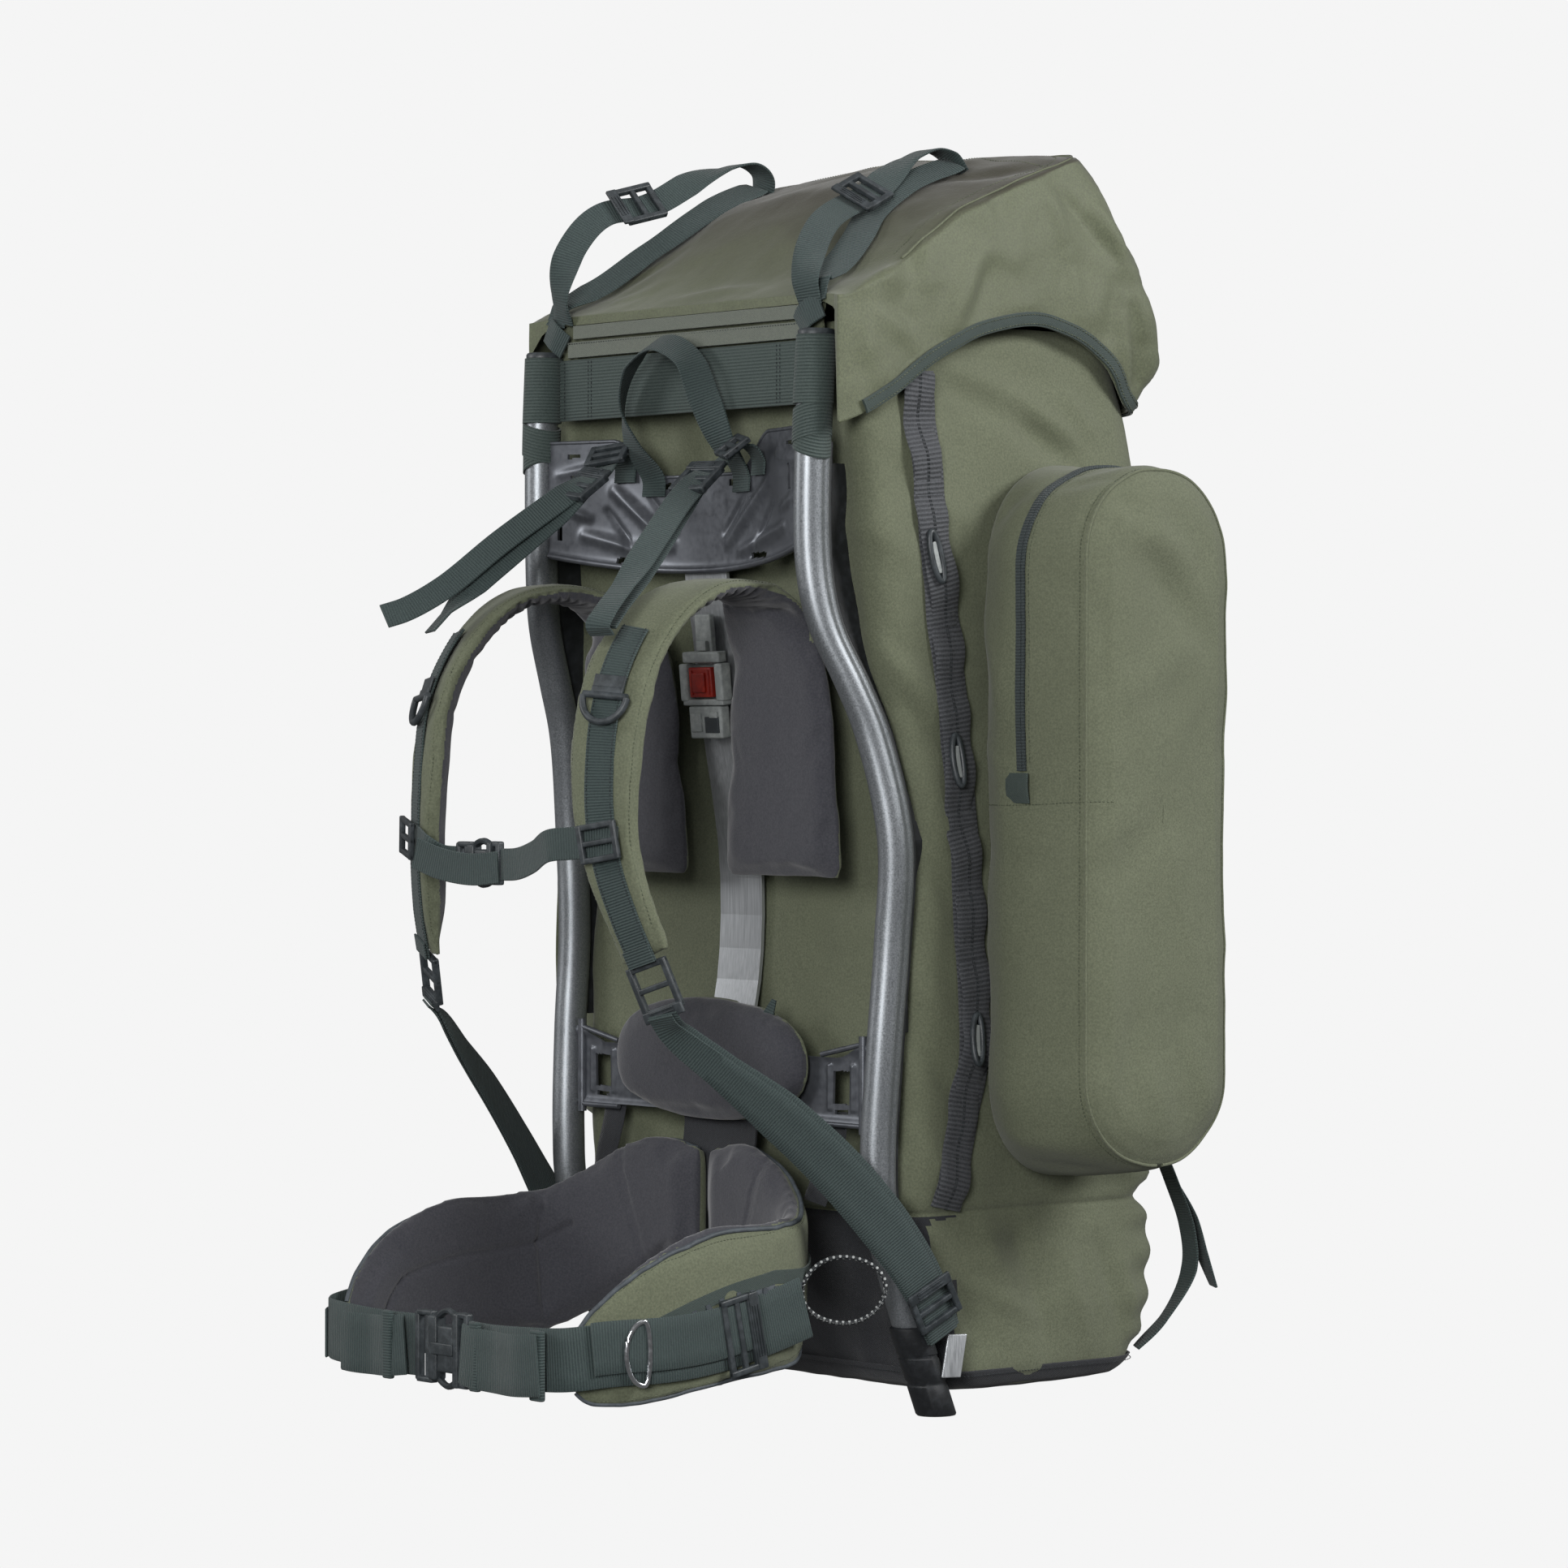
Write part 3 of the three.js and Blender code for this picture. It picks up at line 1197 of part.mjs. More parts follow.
function beltWing() {
  return loft(
    BELT_ROWS.map((row) => {
      const foot = at(row.x, row.y, row.low);
      const tall = (row.high - row.low) * PACK_HEIGHT;
      const out = new THREE.Vector3(1, 0, 0);
      out.applyAxisAngle(new THREE.Vector3(0, 0, 1), THREE.MathUtils.degToRad(row.lean));
      return BELT_SECTION.map((s) =>
        foot
          .clone()
          .addScaledVector(out, (s.out - 0.5) * BELT_THICK * row.thick)
          .add(new THREE.Vector3(0, 0, s.up * tall)),
      );
    }),
  );
}

// Belt tab: cloth from the back of the belt up to the lumbar plate.
const BELT_TAB_WIDE = 90;
const BELT_TAB_ROUTE = [
  { x: 0, y: 0.1257, z: 0.15, turn: 0 },
  { x: 0, y: 0.1257, z: 0.185, turn: 0 },
  { x: 0, y: 0.1443, z: 0.212, turn: 0 },
  { x: 0, y: 0.1443, z: 0.2284, turn: 0 },
];
add("belt_tab", webbing(route(BELT_TAB_ROUTE, 1, 5), BELT_TAB_WIDE), BLACK_CLOTH);

// Waist webbing: out of each wing's side, round the front to the fastened buckle.
const WAIST_BUCKLE = { x: 0, y: -0.7667, z: 0.06, wide: 64, tall: 58 };
const waistEnd = (WAIST_BUCKLE.wide / 2 + 0.5) / FRAME_HALF;
const WAIST_RIGHT = [
  { x: 0.9065, y: -0.0733, z: 0.092, turn: 80 },
  { x: 0.9065, y: -0.2, z: 0.082, turn: 88 },
  { x: 0.9065, y: -0.3667, z: 0.072, turn: 89 },
  { x: 0.895, y: -0.5167, z: 0.068, turn: 80 },
  { x: 0.84, y: -0.6567, z: 0.067, turn: 62 },
  { x: 0.76, y: -0.7667, z: 0.064, turn: 30 },
  { x: 0.55, y: -0.7933, z: 0.062, turn: 5 },
  { x: 0.33, y: -0.78, z: 0.06, turn: 0 },
  { x: waistEnd, y: -0.7667, z: 0.06, turn: 0 },
];
const WAIST_LEFT = [
  { x: 0.9065, y: -0.2, z: 0.084, turn: 88 },
  { x: 0.9065, y: -0.3667, z: 0.074, turn: 89 },
  { x: 0.895, y: -0.5167, z: 0.07, turn: 80 },
  { x: 0.84, y: -0.6567, z: 0.067, turn: 62 },
  { x: 0.76, y: -0.7667, z: 0.064, turn: 30 },
  { x: 0.55, y: -0.7933, z: 0.062, turn: 5 },
  { x: 0.33, y: -0.78, z: 0.06, turn: 0 },
  { x: waistEnd, y: -0.7667, z: 0.06, turn: 0 },
];

addPair("belt_wing", beltWing(), OLIVE);
const WAIST_STEPS = 16;
const waistRight = route(WAIST_RIGHT, 1, WAIST_STEPS);
const waistLeft = route(WAIST_LEFT, -1, WAIST_STEPS);
add("waist_web_right", webbing(waistRight, BELT_WEB_WIDE), WEBBING);
add("waist_web_left", webbing(waistLeft, BELT_WEB_WIDE), WEBBING);

const BELT_LOCK = { step: 2, tall: 26, rise: 2 * GAP };
function beltLock(frames, lift) {
  return seated(slottedBuckle(BELT_WEB_WIDE, BELT_LOCK.tall), frames[BELT_LOCK.step], lift);
}
add("belt_lock_right", beltLock(waistRight, FITTING_LIFT + BELT_LOCK.rise), BLACK_PLASTIC);
add("belt_lock_left", faceOut(merged(beltLock(waistLeft, FITTING_LIFT))), BLACK_PLASTIC);

// An upright oval ring of round wire: middle point, level direction, wide, tall, radius.
function ovalRing(centre, level, wide, tall, radius) {
  const points = Array.from({ length: 10 }, (_, i) => {
    const angle = (i / 10) * 2 * Math.PI;
    return centre
      .clone()
      .addScaledVector(level, (wide / 2) * Math.cos(angle))
      .add(new THREE.Vector3(0, 0, (tall / 2) * Math.sin(angle)));
  });
  return wireLoop(points, radius, 12, 5);
}

// A steel ring hangs on the right wing's webbing, and a loop of shock cord behind it.
const BELT_RING = { step: 7, wide: 20, tall: 44 };
const CORD_LOOP = { x: 0.9645, y: 0.025, z: 0.104, turn: 140, wide: 65, tall: 50 };

function beltRing() {
  const frame = waistRight[BELT_RING.step];
  const out = WEB_THICK / 2 + GAP + RING_WIRE / 2;
  const { p } = shifted(frame, 0, out);
  return ovalRing(p, frame.t, BELT_RING.wide, BELT_RING.tall, RING_WIRE / 2);
}

function cordLoop() {
  const { x, y, z, turn, wide, tall } = CORD_LOOP;
  return ovalRing(at(x, y, z), facing(turn), wide, tall, CORD_THICK / 2);
}
add("belt_ring", beltRing(), CHROME);
add("cord_loop", cordLoop(), DARK_WEBBING);
add(
  "waist_buckle",
  releaseBuckle(WAIST_BUCKLE.wide, WAIST_BUCKLE.tall, BUCKLE_THICK)
    .rotateX(Math.PI / 2)
    .translate(...at(WAIST_BUCKLE.x, WAIST_BUCKLE.y, WAIST_BUCKLE.z).toArray()),
  BLACK_PLASTIC,
);

// The finished pack stands with its base centred on the origin.
const box = new THREE.Box3().setFromObject(pack);
const centre = box.getCenter(new THREE.Vector3());
pack.position.set(-centre.x, -centre.y, -box.min.z);

export default pack;
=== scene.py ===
"""External frame backpack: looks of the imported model, in metres, in its own frame."""

import math

import bmesh
import bpy
import numpy as np
from mathutils import Matrix, Vector, noise


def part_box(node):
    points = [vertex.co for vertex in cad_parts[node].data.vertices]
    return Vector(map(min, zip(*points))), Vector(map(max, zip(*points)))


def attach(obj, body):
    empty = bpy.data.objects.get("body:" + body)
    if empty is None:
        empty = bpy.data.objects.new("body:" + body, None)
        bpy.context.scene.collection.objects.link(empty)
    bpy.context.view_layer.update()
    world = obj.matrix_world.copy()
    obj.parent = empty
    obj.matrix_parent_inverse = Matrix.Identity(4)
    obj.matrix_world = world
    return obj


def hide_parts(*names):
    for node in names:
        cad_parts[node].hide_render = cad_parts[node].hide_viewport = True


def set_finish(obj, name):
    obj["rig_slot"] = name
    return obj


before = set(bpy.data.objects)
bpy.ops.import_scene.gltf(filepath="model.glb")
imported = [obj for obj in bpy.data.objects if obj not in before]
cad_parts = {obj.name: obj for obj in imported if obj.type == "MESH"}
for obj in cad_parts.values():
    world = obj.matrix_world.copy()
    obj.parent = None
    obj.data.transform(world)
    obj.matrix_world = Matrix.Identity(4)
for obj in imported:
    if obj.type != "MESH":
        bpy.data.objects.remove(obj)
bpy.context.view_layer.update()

# Tables and lengths are in millimetres: X from the plane of symmetry, Z from the floor.
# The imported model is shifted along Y, by what its lumbar plate's front face tells.
MM = 0.001
LUMBAR_FRONT = 42.0
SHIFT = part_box("lumbar_plate")[0][1] / MM - LUMBAR_FRONT


def place(point):
    """A point of the tables as a place in the scene."""
    return Vector((point[0] * MM, (point[1] + SHIFT) * MM, point[2] * MM))


# Camera and light

CAMERA = (3341.5, -2694.4, 526.0)
LOOK_TURN = 50.0
LENS, SENSOR = 124.1, 36.0
HORIZON_DOWN = 0.46


CLIP = (0.1, 100)


def new_object(name, data):
    obj = bpy.data.objects.new(name, data)
    bpy.context.scene.collection.objects.link(obj)
    return obj


def make_camera():
    data = bpy.data.cameras.new("Camera")
    data.lens, data.sensor_width = LENS, SENSOR
    data.clip_start, data.clip_end = CLIP
    camera = new_object("Camera", data)
    camera.location = place(CAMERA)
    tilt = math.radians(90 - HORIZON_DOWN)
    camera.rotation_euler = (tilt, 0, math.radians(LOOK_TURN))
    bpy.context.scene.camera = camera


make_camera()


# Colours and shader nodes

def srgb(code):
    """A colour written as red, green and blue hex pairs, made linear."""
    parts = [int(code[i : i + 2], 16) / 255 for i in (0, 2, 4)]
    return [c / 12.92 if c < 0.04045 else ((c + 0.055) / 1.055) ** 2.4 for c in parts] + [1]


def feed(tree, socket, value):
    """Link an input to the socket that feeds it, or set its constant."""
    if isinstance(value, bpy.types.NodeSocket):
        tree.links.new(value, socket)
    else:
        socket.default_value = value


def add(tree, kind, inputs=None, **settings):
    """One node with its settings; an input is a constant or the socket that feeds it."""
    made = tree.nodes.new(kind)
    for key, value in settings.items():
        setattr(made, key, value)
    for key, value in (inputs or {}).items():
        feed(tree, made.inputs[key], value)
    return made


def math_node(tree, kind, first, second=0.0):
    return add(tree, "ShaderNodeMath", {0: first, 1: second}, operation=kind).outputs[0]


def mix(tree, share, first, second):
    made = add(tree, "ShaderNodeMix", {0: share, 6: first, 7: second}, data_type="RGBA")
    return made.outputs[2]


def noise_node(tree, coords, size, detail=3.0, rough=0.55):
    """Noise with grains of about size mm, from 0 to 1."""
    inputs = {"Vector": coords, "Scale": 1000.0 / size, "Detail": detail, "Roughness": rough}
    return add(tree, "ShaderNodeTexNoise", inputs).outputs["Fac"]


def ranged(tree, value, low, high, to_low=0.0, to_high=1.0):
    inputs = {0: value, 1: low, 2: high, 3: to_low, 4: to_high}
    return add(tree, "ShaderNodeMapRange", inputs).outputs[0]


def ripple(tree, coordinate, pitch):
    """A wave of a given pitch in mm along a coordinate in metres."""
    turns = math_node(tree, "MULTIPLY", coordinate, 2000.0 * math.pi / pitch)
    return math_node(tree, "SINE", turns)


def start_material(name):
    """An empty material with its shader and object places."""
    material = bpy.data.materials.new(name)
    material.use_nodes = True
    tree = material.node_tree
    tree.nodes.clear()
    out = add(tree, "ShaderNodeOutputMaterial")
    shader = add(tree, "ShaderNodeBsdfPrincipled")
    tree.links.new(shader.outputs[0], out.inputs[0])
    coords = add(tree, "ShaderNodeTexCoord").outputs["Object"]
    return material, tree, shader, coords


def set_shader(tree, shader, **values):
    for key, value in values.items():
        feed(tree, shader.inputs[key.replace("_", " ")], value)


def axes_of(tree, vector):
    return add(tree, "ShaderNodeSeparateXYZ", {0: vector}).outputs


def strip_axes(tree):
    """Places across and along a strip, from its map in metres."""
    return axes_of(tree, add(tree, "ShaderNodeTexCoord").outputs["UV"])


def two_tone(tree, value, low, high, dark, light):
    return mix(tree, ranged(tree, value, low, high), srgb(dark), srgb(light))


def faded(tree, value, low, high, most, colour, towards):
    return mix(tree, ranged(tree, value, low, high, 0.0, most), colour, srgb(towards))


def bump(tree, height, depth, strength=1.0, base=None):
    inputs = {"Height": height, "Distance": depth * MM, "Strength": strength}
    if base is not None:
        inputs["Normal"] = base
    return add(tree, "ShaderNodeBump", inputs).outputs[0]


TOP_SHADE_HEIGHTS = (0.885, 0.965)  # m, heights over which faces that look up take painted shade, on the lid's top


def cloth(name, dark, light, thread=1.3, depth=0.25, top=None, sheen=0.12, rough=0.82):
    """Woven cloth: crossing threads, a fine fleck, broad fading and faint creases, and painted
    shade in the weave's hollows. With top, upward faces high on the pack take that colour as
    painted shade."""
    material, tree, shader, coords = start_material(name)
    x, y, z = axes_of(tree, coords)
    weft = ripple(tree, z, thread)
    warp = ripple(tree, math_node(tree, "ADD", x, y), thread)
    weave = math_node(tree, "MULTIPLY", weft, warp)
    fleck = noise_node(tree, coords, 1.6, 2)
    fading = noise_node(tree, coords, 70, 3)
    crease = noise_node(tree, coords, 16, 4, 0.6)
    # The weave darkens the colour in its hollows, as painted shade; the fleck is the cloth's own
    # grain.
    tone = math_node(tree, "ADD", fleck, math_node(tree, "MULTIPLY", weave, 0.07))
    colour = two_tone(tree, tone, 0.3, 0.7, dark, light)
    colour = faded(tree, fading, 0.35, 0.7, 0.22, colour, dark)
    # Painted shade: high on the pack, faces that look up take the top colour.
    if top:
        normal = add(tree, "ShaderNodeNewGeometry").outputs["Normal"]
        high = ranged(tree, z, *TOP_SHADE_HEIGHTS, 0.1, 1.0)
        faces_up_shade = ranged(tree, axes_of(tree, normal)[2], 0.45, 0.75, 0.0, 0.9)
        colour = mix(tree, math_node(tree, "MULTIPLY", high, faces_up_shade), colour, srgb(top))
    height = math_node(tree, "ADD", math_node(tree, "MULTIPLY", weave, 0.35), fleck)
    soft = bump(tree, crease, 1.6, 0.35)
    set_shader(
        tree, shader, Base_Color=colour, Sheen_Weight=sheen, Sheen_Roughness=0.5,
        Roughness=ranged(tree, fleck, 0.2, 0.8, rough - 0.08, rough + 0.08),
        Normal=bump(tree, height, depth, 0.7, soft),
    )
    return material


def webbing(name, dark, light, cross=2.2, along=0.0, depth=0.5, rough=0.72):
    """Woven webbing on strips with a map in metres, across and along: ribs across it
    every cross mm and, where given, cords along it every along mm."""
    material, tree, shader, coords = start_material(name)
    across_at, along_at, _ = strip_axes(tree)
    ribs = ripple(tree, along_at, cross) if cross else None
    if along:
        cords = ripple(tree, across_at, along)
        ribs = math_node(tree, "MULTIPLY", ribs, cords) if ribs else cords
    fleck = noise_node(tree, coords, 1.2, 2)
    wear = noise_node(tree, coords, 22, 3)
    # Colour follows the ribs and is darker in their grooves, as painted shade; the fleck is the
    # webbing's own grain.
    tone = math_node(tree, "ADD", math_node(tree, "MULTIPLY", ribs, 0.2), fleck)
    colour = two_tone(tree, tone, 0.2, 0.8, dark, light)
    colour = faded(tree, wear, 0.4, 0.75, 0.2, colour, light)
    height = math_node(tree, "ADD", math_node(tree, "MULTIPLY", ribs, 0.6), fleck)
    set_shader(
        tree, shader, Base_Color=colour, Sheen_Weight=0.1,
        Roughness=ranged(tree, fleck, 0.2, 0.8, rough - 0.06, rough + 0.08),
        Normal=bump(tree, height, depth, 0.8),
    )
    return material


def metal(name, dark, light, rough, grain, depth, metallic=1.0,
          stretch=(1, 1, 1)):
    """Painted or bare metal: grain in mm, drawn out along an axis where it is brushed."""
    material, tree, shader, coords = start_material(name)
    drawn = add(tree, "ShaderNodeMapping", {"Vector": coords, "Scale": stretch}).outputs[0]
    fine = noise_node(tree, drawn, grain, 3)
    broad = noise_node(tree, coords, 45, 2)
    colour = two_tone(tree, fine, 0.3, 0.7, dark, light)
    colour = faded(tree, broad, 0.35, 0.7, 0.35, colour, dark)
    set_shader(
        tree, shader, Base_Color=colour, Metallic=metallic,
        Roughness=ranged(tree, fine, 0.25, 0.75, rough - 0.08, rough + 0.1),
        Normal=bump(tree, fine, depth, 0.6),
    )
    return material


def plastic(name, dark, light, rough=0.42, depth=0.12):
    """Moulded plastic with a fine grain and worn, lighter patches."""
    material, tree, shader, coords = start_material(name)
    grain = noise_node(tree, coords, 0.9, 3)
    wear = noise_node(tree, coords, 9, 4, 0.65)
    colour = two_tone(tree, wear, 0.45, 0.75, dark, light)
    set_shader(
        tree, shader, Base_Color=colour,
        Roughness=ranged(tree, wear, 0.3, 0.7, rough - 0.06, rough + 0.12),
        Normal=bump(tree, grain, depth, 0.5),
    )
    return material


CORD_FLECKS = 6.6  # mm between rows of flecks round the cord


def cord_stripes(name, dark, light, pitch):
    """Sheath of shock cord: dark braid with light flecks in rows, on a map in metres."""
    material, tree, shader, coords = start_material(name)
    across, along, _ = strip_axes(tree)
    marks = math_node(tree, "MULTIPLY", ripple(tree, along, pitch),
                      ripple(tree, across, CORD_FLECKS))
    fleck = noise_node(tree, coords, 1.0, 2)
    colour = two_tone(tree, marks, 0.3, 0.45, dark, light)
    set_shader(tree, shader, Base_Color=colour, Roughness=0.7, Normal=bump(tree, fleck, 0.4))
    return material


OLIVE = cloth("olive_cloth", "575c48", "6e735d")
# The lid's dark brown top colour is painted shade on its upward faces.
LID_OLIVE = cloth("olive_lid_cloth_top_shade", "535843", "696f56", top="2d2819", sheen=0.15, rough=0.6)
PAD = cloth("spacer_cloth", "2f3037", "434349", 1.1, 0.2, sheen=0.3, rough=0.9)
CORDURA = cloth("black_coarse_cloth", "1b1d21", "2b2d32", 1.8, 0.5, rough=0.8)
WEB = webbing("slate_webbing", "253233", "3e4c4a")
BAND_WEB = webbing("ribbed_band", "2d3a38", "4a5652", cross=0, along=2.6, depth=0.7)
TAPE = webbing("grey_tape", "555b54", "71766b", cross=1.8, along=1.8, depth=0.3)
DAISY_WEB = webbing("dark_ladder_webbing", "292b2f", "55575b", cross=3.6, depth=0.7)
ZIP_TAPE = webbing("zip_tape", "283032", "3f4849", cross=2.4, depth=0.7)
BINDING = webbing("binding", "2b3735", "414d48", cross=1.6, along=1.6, depth=0.3)
PAINT = metal("hammered_paint", "74787c", "9a9ea2", 0.4, 1.2, 0.08, 0.7)
STEEL = metal("pressed_steel", "5b5e64", "686b71", 0.36, 6.0, 0.0, 0.6)
ALUMINIUM = metal("brushed_bar", "a2a5a8", "c2c5c8", 0.42, 1.2, 0.1, 0.7, (1, 1, 0.02))
CHROME = metal("chrome_wire", "c2c5c9", "e2e4e8", 0.14, 4.0, 0.02)
BLACK = plastic("black_plastic", "2e3336", "474d51")
TUBE_BLACK = plastic("black_trim", "1a1c1f", "2a2d31", 0.5)
GREY = plastic("grey_plastic", "8f9493", "b4b8b6", 0.5)
RED = plastic("red_plastic", "8e1c10", "b8301c", 0.4)
RUBBER = plastic("grey_rubber", "41474c", "565d63", 0.6)
THREAD = plastic("olive_thread", "4a5040", "7b8168", 0.8)
DARK_THREAD = plastic("dark_thread", "202426", "3c4346", 0.8)
SPECKLED_CORD = cord_stripes("speckled_cord", "222528", "a9acab", 5.0)

USUAL_SLOTS = {
    "olive_cloth": (OLIVE, LID_OLIVE, THREAD), "pad_cloth": (PAD,), "black_cloth": (CORDURA,),
    "webbing": (WEB, BAND_WEB, TAPE, ZIP_TAPE, BINDING, DARK_THREAD),
    "dark_webbing": (DAISY_WEB,), "hammered_paint": (PAINT,), "pressed_steel": (STEEL,),
    "bare_aluminium": (ALUMINIUM,), "chrome": (CHROME,), "red_plastic": (RED,),
    "black_plastic": (BLACK, TUBE_BLACK), "grey_plastic": (GREY, RUBBER),
    "shock_cord": (SPECKLED_CORD,),
}


# Curves of one number, and lengths

def bell(x, middle, width):
    """1 at the middle, falling off smoothly within a few widths."""
    return np.exp(-(((x - middle) / width) ** 2))


def ramp(x, start, end):
    """0 up to the start and 1 from the end on; the end may lie below the start."""
    return np.clip((x - start) / (end - start), 0, 1)


def eased(share):
    return share * share * (3 - 2 * share)


def squared(wave, power):
    """A sine or cosine made fuller, for sections with rounded corners."""
    return np.sign(wave) * abs(wave) ** power


def round_angles(count):
    return np.linspace(0, 2 * np.pi, count, endpoint=False)


def unit(vectors, least=0.0):
    return vectors / (np.linalg.norm(vectors, axis=-1, keepdims=True) + least)


def run_of(path):
    """Lengths along a broken line, from 0 at its start."""
    return np.r_[0, np.cumsum(np.linalg.norm(np.diff(path, axis=0), axis=1))]


# Meshes

def made_mesh(name, points, faces, chart=None, sharp=None):
    """A mesh from points in table millimetres; chart gives each point its map place."""
    points = np.asarray(points, float).reshape(-1, 3)
    mesh = bpy.data.meshes.new(name)
    moved = (points + np.array((0, SHIFT, 0))) * MM
    mesh.from_pydata(moved.tolist(), [], [tuple(f) for f in faces])
    if chart is not None:
        flat = np.asarray(chart, float).reshape(-1, 2) * MM
        order = np.empty(len(mesh.loops), dtype=np.int32)
        mesh.loops.foreach_get("vertex_index", order)
        layer = mesh.uv_layers.new(name="strip")
        layer.data.foreach_set("uv", flat[order].ravel())
    work = bmesh.new()
    work.from_mesh(mesh)
    bmesh.ops.recalc_face_normals(work, faces=work.faces)
    work.to_mesh(mesh)
    work.free()
    mesh.shade_smooth()
    if sharp:
        mesh.set_sharp_from_angle(angle=math.radians(sharp))
    return mesh


stands_for = {}


def declared(obj, slot, body, nodes):
    """The object as a piece that rides on a body, takes a finish and stands for nodes."""
    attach(obj, body)
    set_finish(obj, slot)
    if nodes:
        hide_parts(*nodes)
    stands_for[obj.name] = nodes
    return obj


def piece(name, mesh, material, *nodes, slot=None, body="pack"):
    """A piece from a mesh, in the usual slot of its first material unless one is given."""
    materials = material if isinstance(material, list) else [material]
    for one in materials:
        mesh.materials.append(one)
    usual = next(key for key, group in USUAL_SLOTS.items() if materials[0] in group)
    return declared(new_object(name, mesh), slot or usual, body, nodes)


def mirror(obj):
    """A right piece again on the left side, with its own and its nodes' names turned."""
    name, *nodes = [word.replace("right", "left") for word in (obj.name, *stands_for[obj.name])]
    mesh = obj.data.copy()
    mesh.name = name
    mesh.transform(Matrix.Diagonal((-1, 1, 1, 1)))
    mesh.flip_normals()
    return declared(new_object(name, mesh), obj["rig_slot"], "pack", nodes)


def grid_faces(rows, columns, wrap=True):
    """Four-sided faces of a grid of rows, joined round each row where it wraps."""
    last = columns if wrap else columns - 1
    i, j = np.meshgrid(np.arange(rows - 1), np.arange(last), indexing="ij")
    k = (j + 1) % columns
    quads = np.stack([i * columns + j, i * columns + k, (i + 1) * columns + k,
                      (i + 1) * columns + j], -1)
    return quads.reshape(-1, 4).tolist()


def closed_rings(rings):
    """Points and faces of a tube of rings, closed at both ends."""
    count = rings.shape[1]
    last = (len(rings) - 1) * count
    faces = grid_faces(len(rings), count)
    faces += [list(range(count)), [last + k for k in range(count)]]
    return rings.reshape(-1, 3), faces, None


def capped(grid):
    """Points and faces of a grid with one face over its last row."""
    points, faces, _ = closed_rings(grid)
    return points, faces[:-2] + faces[-1:]


def pointed(grid):
    """Points and faces of a grid with a fan from its last row to that row's middle."""
    count = grid.shape[1]
    last = (len(grid) - 1) * count
    points = np.r_[grid.reshape(-1, 3), [grid[-1].mean(0)]]
    fan = [[last + k, last + (k + 1) % count, len(points) - 1] for k in range(count)]
    return points, grid_faces(len(grid), count) + fan


def hermite(a, b, slope_a, slope_b, t):
    """Values between a and b that leave and arrive with the given slopes."""
    return (a * (1 + 2 * t) * (1 - t) ** 2 + slope_a * t * (1 - t) ** 2
            + b * t * t * (3 - 2 * t) + slope_b * t * t * (t - 1))


def smooth_table(table, steps):
    """A table's columns at finer steps of its first column, on curves that don't
    overshoot. Steps are values of the first column."""
    rows = np.array(sorted(table), float)
    x = rows[:, 0]
    gap = np.diff(x)
    at = np.clip(np.searchsorted(x, steps) - 1, 0, len(x) - 2)
    h = gap[at]
    t = np.clip((steps - x[at]) / h, 0, 1)
    out = [np.asarray(steps, float)]
    for column in rows.T[1:]:
        slope = np.diff(column) / gap
        tangent = np.zeros(len(x))
        tangent[0], tangent[-1] = slope[0], slope[-1]
        for n in range(1, len(x) - 1):
            if slope[n - 1] * slope[n] > 0:
                a, b = 2 * gap[n] + gap[n - 1], gap[n] + 2 * gap[n - 1]
                tangent[n] = (a + b) / (a / slope[n - 1] + b / slope[n])
        out.append(hermite(column[at], column[at + 1], tangent[at] * h, tangent[at + 1] * h, t))
    return np.stack(out, -1)


def outline(half, front, rear, front_corner, rear_corner, count):
    """A rounded outline in plan as evenly spaced points, from the middle of its front."""
    path = [(0, front)]
    for x, y, radius, start in (
        (half - front_corner, front + front_corner, front_corner, -90),
        (half - rear_corner, rear - rear_corner, rear_corner, 0),
        (rear_corner - half, rear - rear_corner, rear_corner, 90),
        (front_corner - half, front + front_corner, front_corner, 180),
    ):
        for angle in np.radians(np.linspace(start, start + 90, 13)):
            path.append((x + radius * math.cos(angle), y + radius * math.sin(angle)))
    path.append((0, front))
    return spaced(np.array(path), count + 1)[:-1]


TINY = 1e-9  # keeps lengths of nothing from dividing


def spaced(path, count):
    """Evenly spaced points on a broken line."""
    path = np.asarray(path, float)
    run = run_of(path)
    at = np.linspace(0, run[-1], count)
    return np.stack([np.interp(at, run, column) for column in path.T], -1)


def grid_normals(grid, wrap=True):
    """Normals of a grid of points, turned away from its middle."""
    up = np.gradient(grid, axis=0)
    if wrap:
        along = np.roll(grid, -1, 1) - np.roll(grid, 1, 1)
    else:
        along = np.gradient(grid, axis=1)
    normals = unit(np.cross(along, up), TINY)
    if (normals * (grid - grid.mean((0, 1)))).sum() < 0:
        normals = -normals
    return normals


def waves(grid, size, seed=0.0, stretch=(1, 1, 1)):
    """Smooth noise on a grid of points, from about -1 to 1, with bumps of size mm."""
    scaled = grid.reshape(-1, 3) * np.array(stretch) / size + seed * 17.3
    return np.array([noise.noise(p) for p in scaled.tolist()]).reshape(grid.shape[:-1])


def creases(grid, size, seed, stretch=(1, 1, 1)):
    """Sharp crease lines of crumpled cloth, from about -1 to 0.5."""
    return 0.5 - 2.2 * abs(waves(grid, size, seed, stretch))


def stroked(grid, strokes):
    """Height on a grid from strokes: places a and b, width, and height at the middle."""
    height = np.zeros(grid.shape[:-1])
    for a, b, width, rise in strokes:
        a, b = np.array(a, float), np.array(b, float)
        line = b - a
        t = ((grid - a) @ line) / (line @ line)
        near = a + np.clip(t, 0, 1)[..., None] * line
        away = np.linalg.norm(grid - near, axis=-1)
        fade = np.sin(np.pi * np.clip(0.12 + 0.76 * t, 0, 1)) ** 0.8
        height += rise * np.exp(-((away / width) ** 2)) * fade
    return height


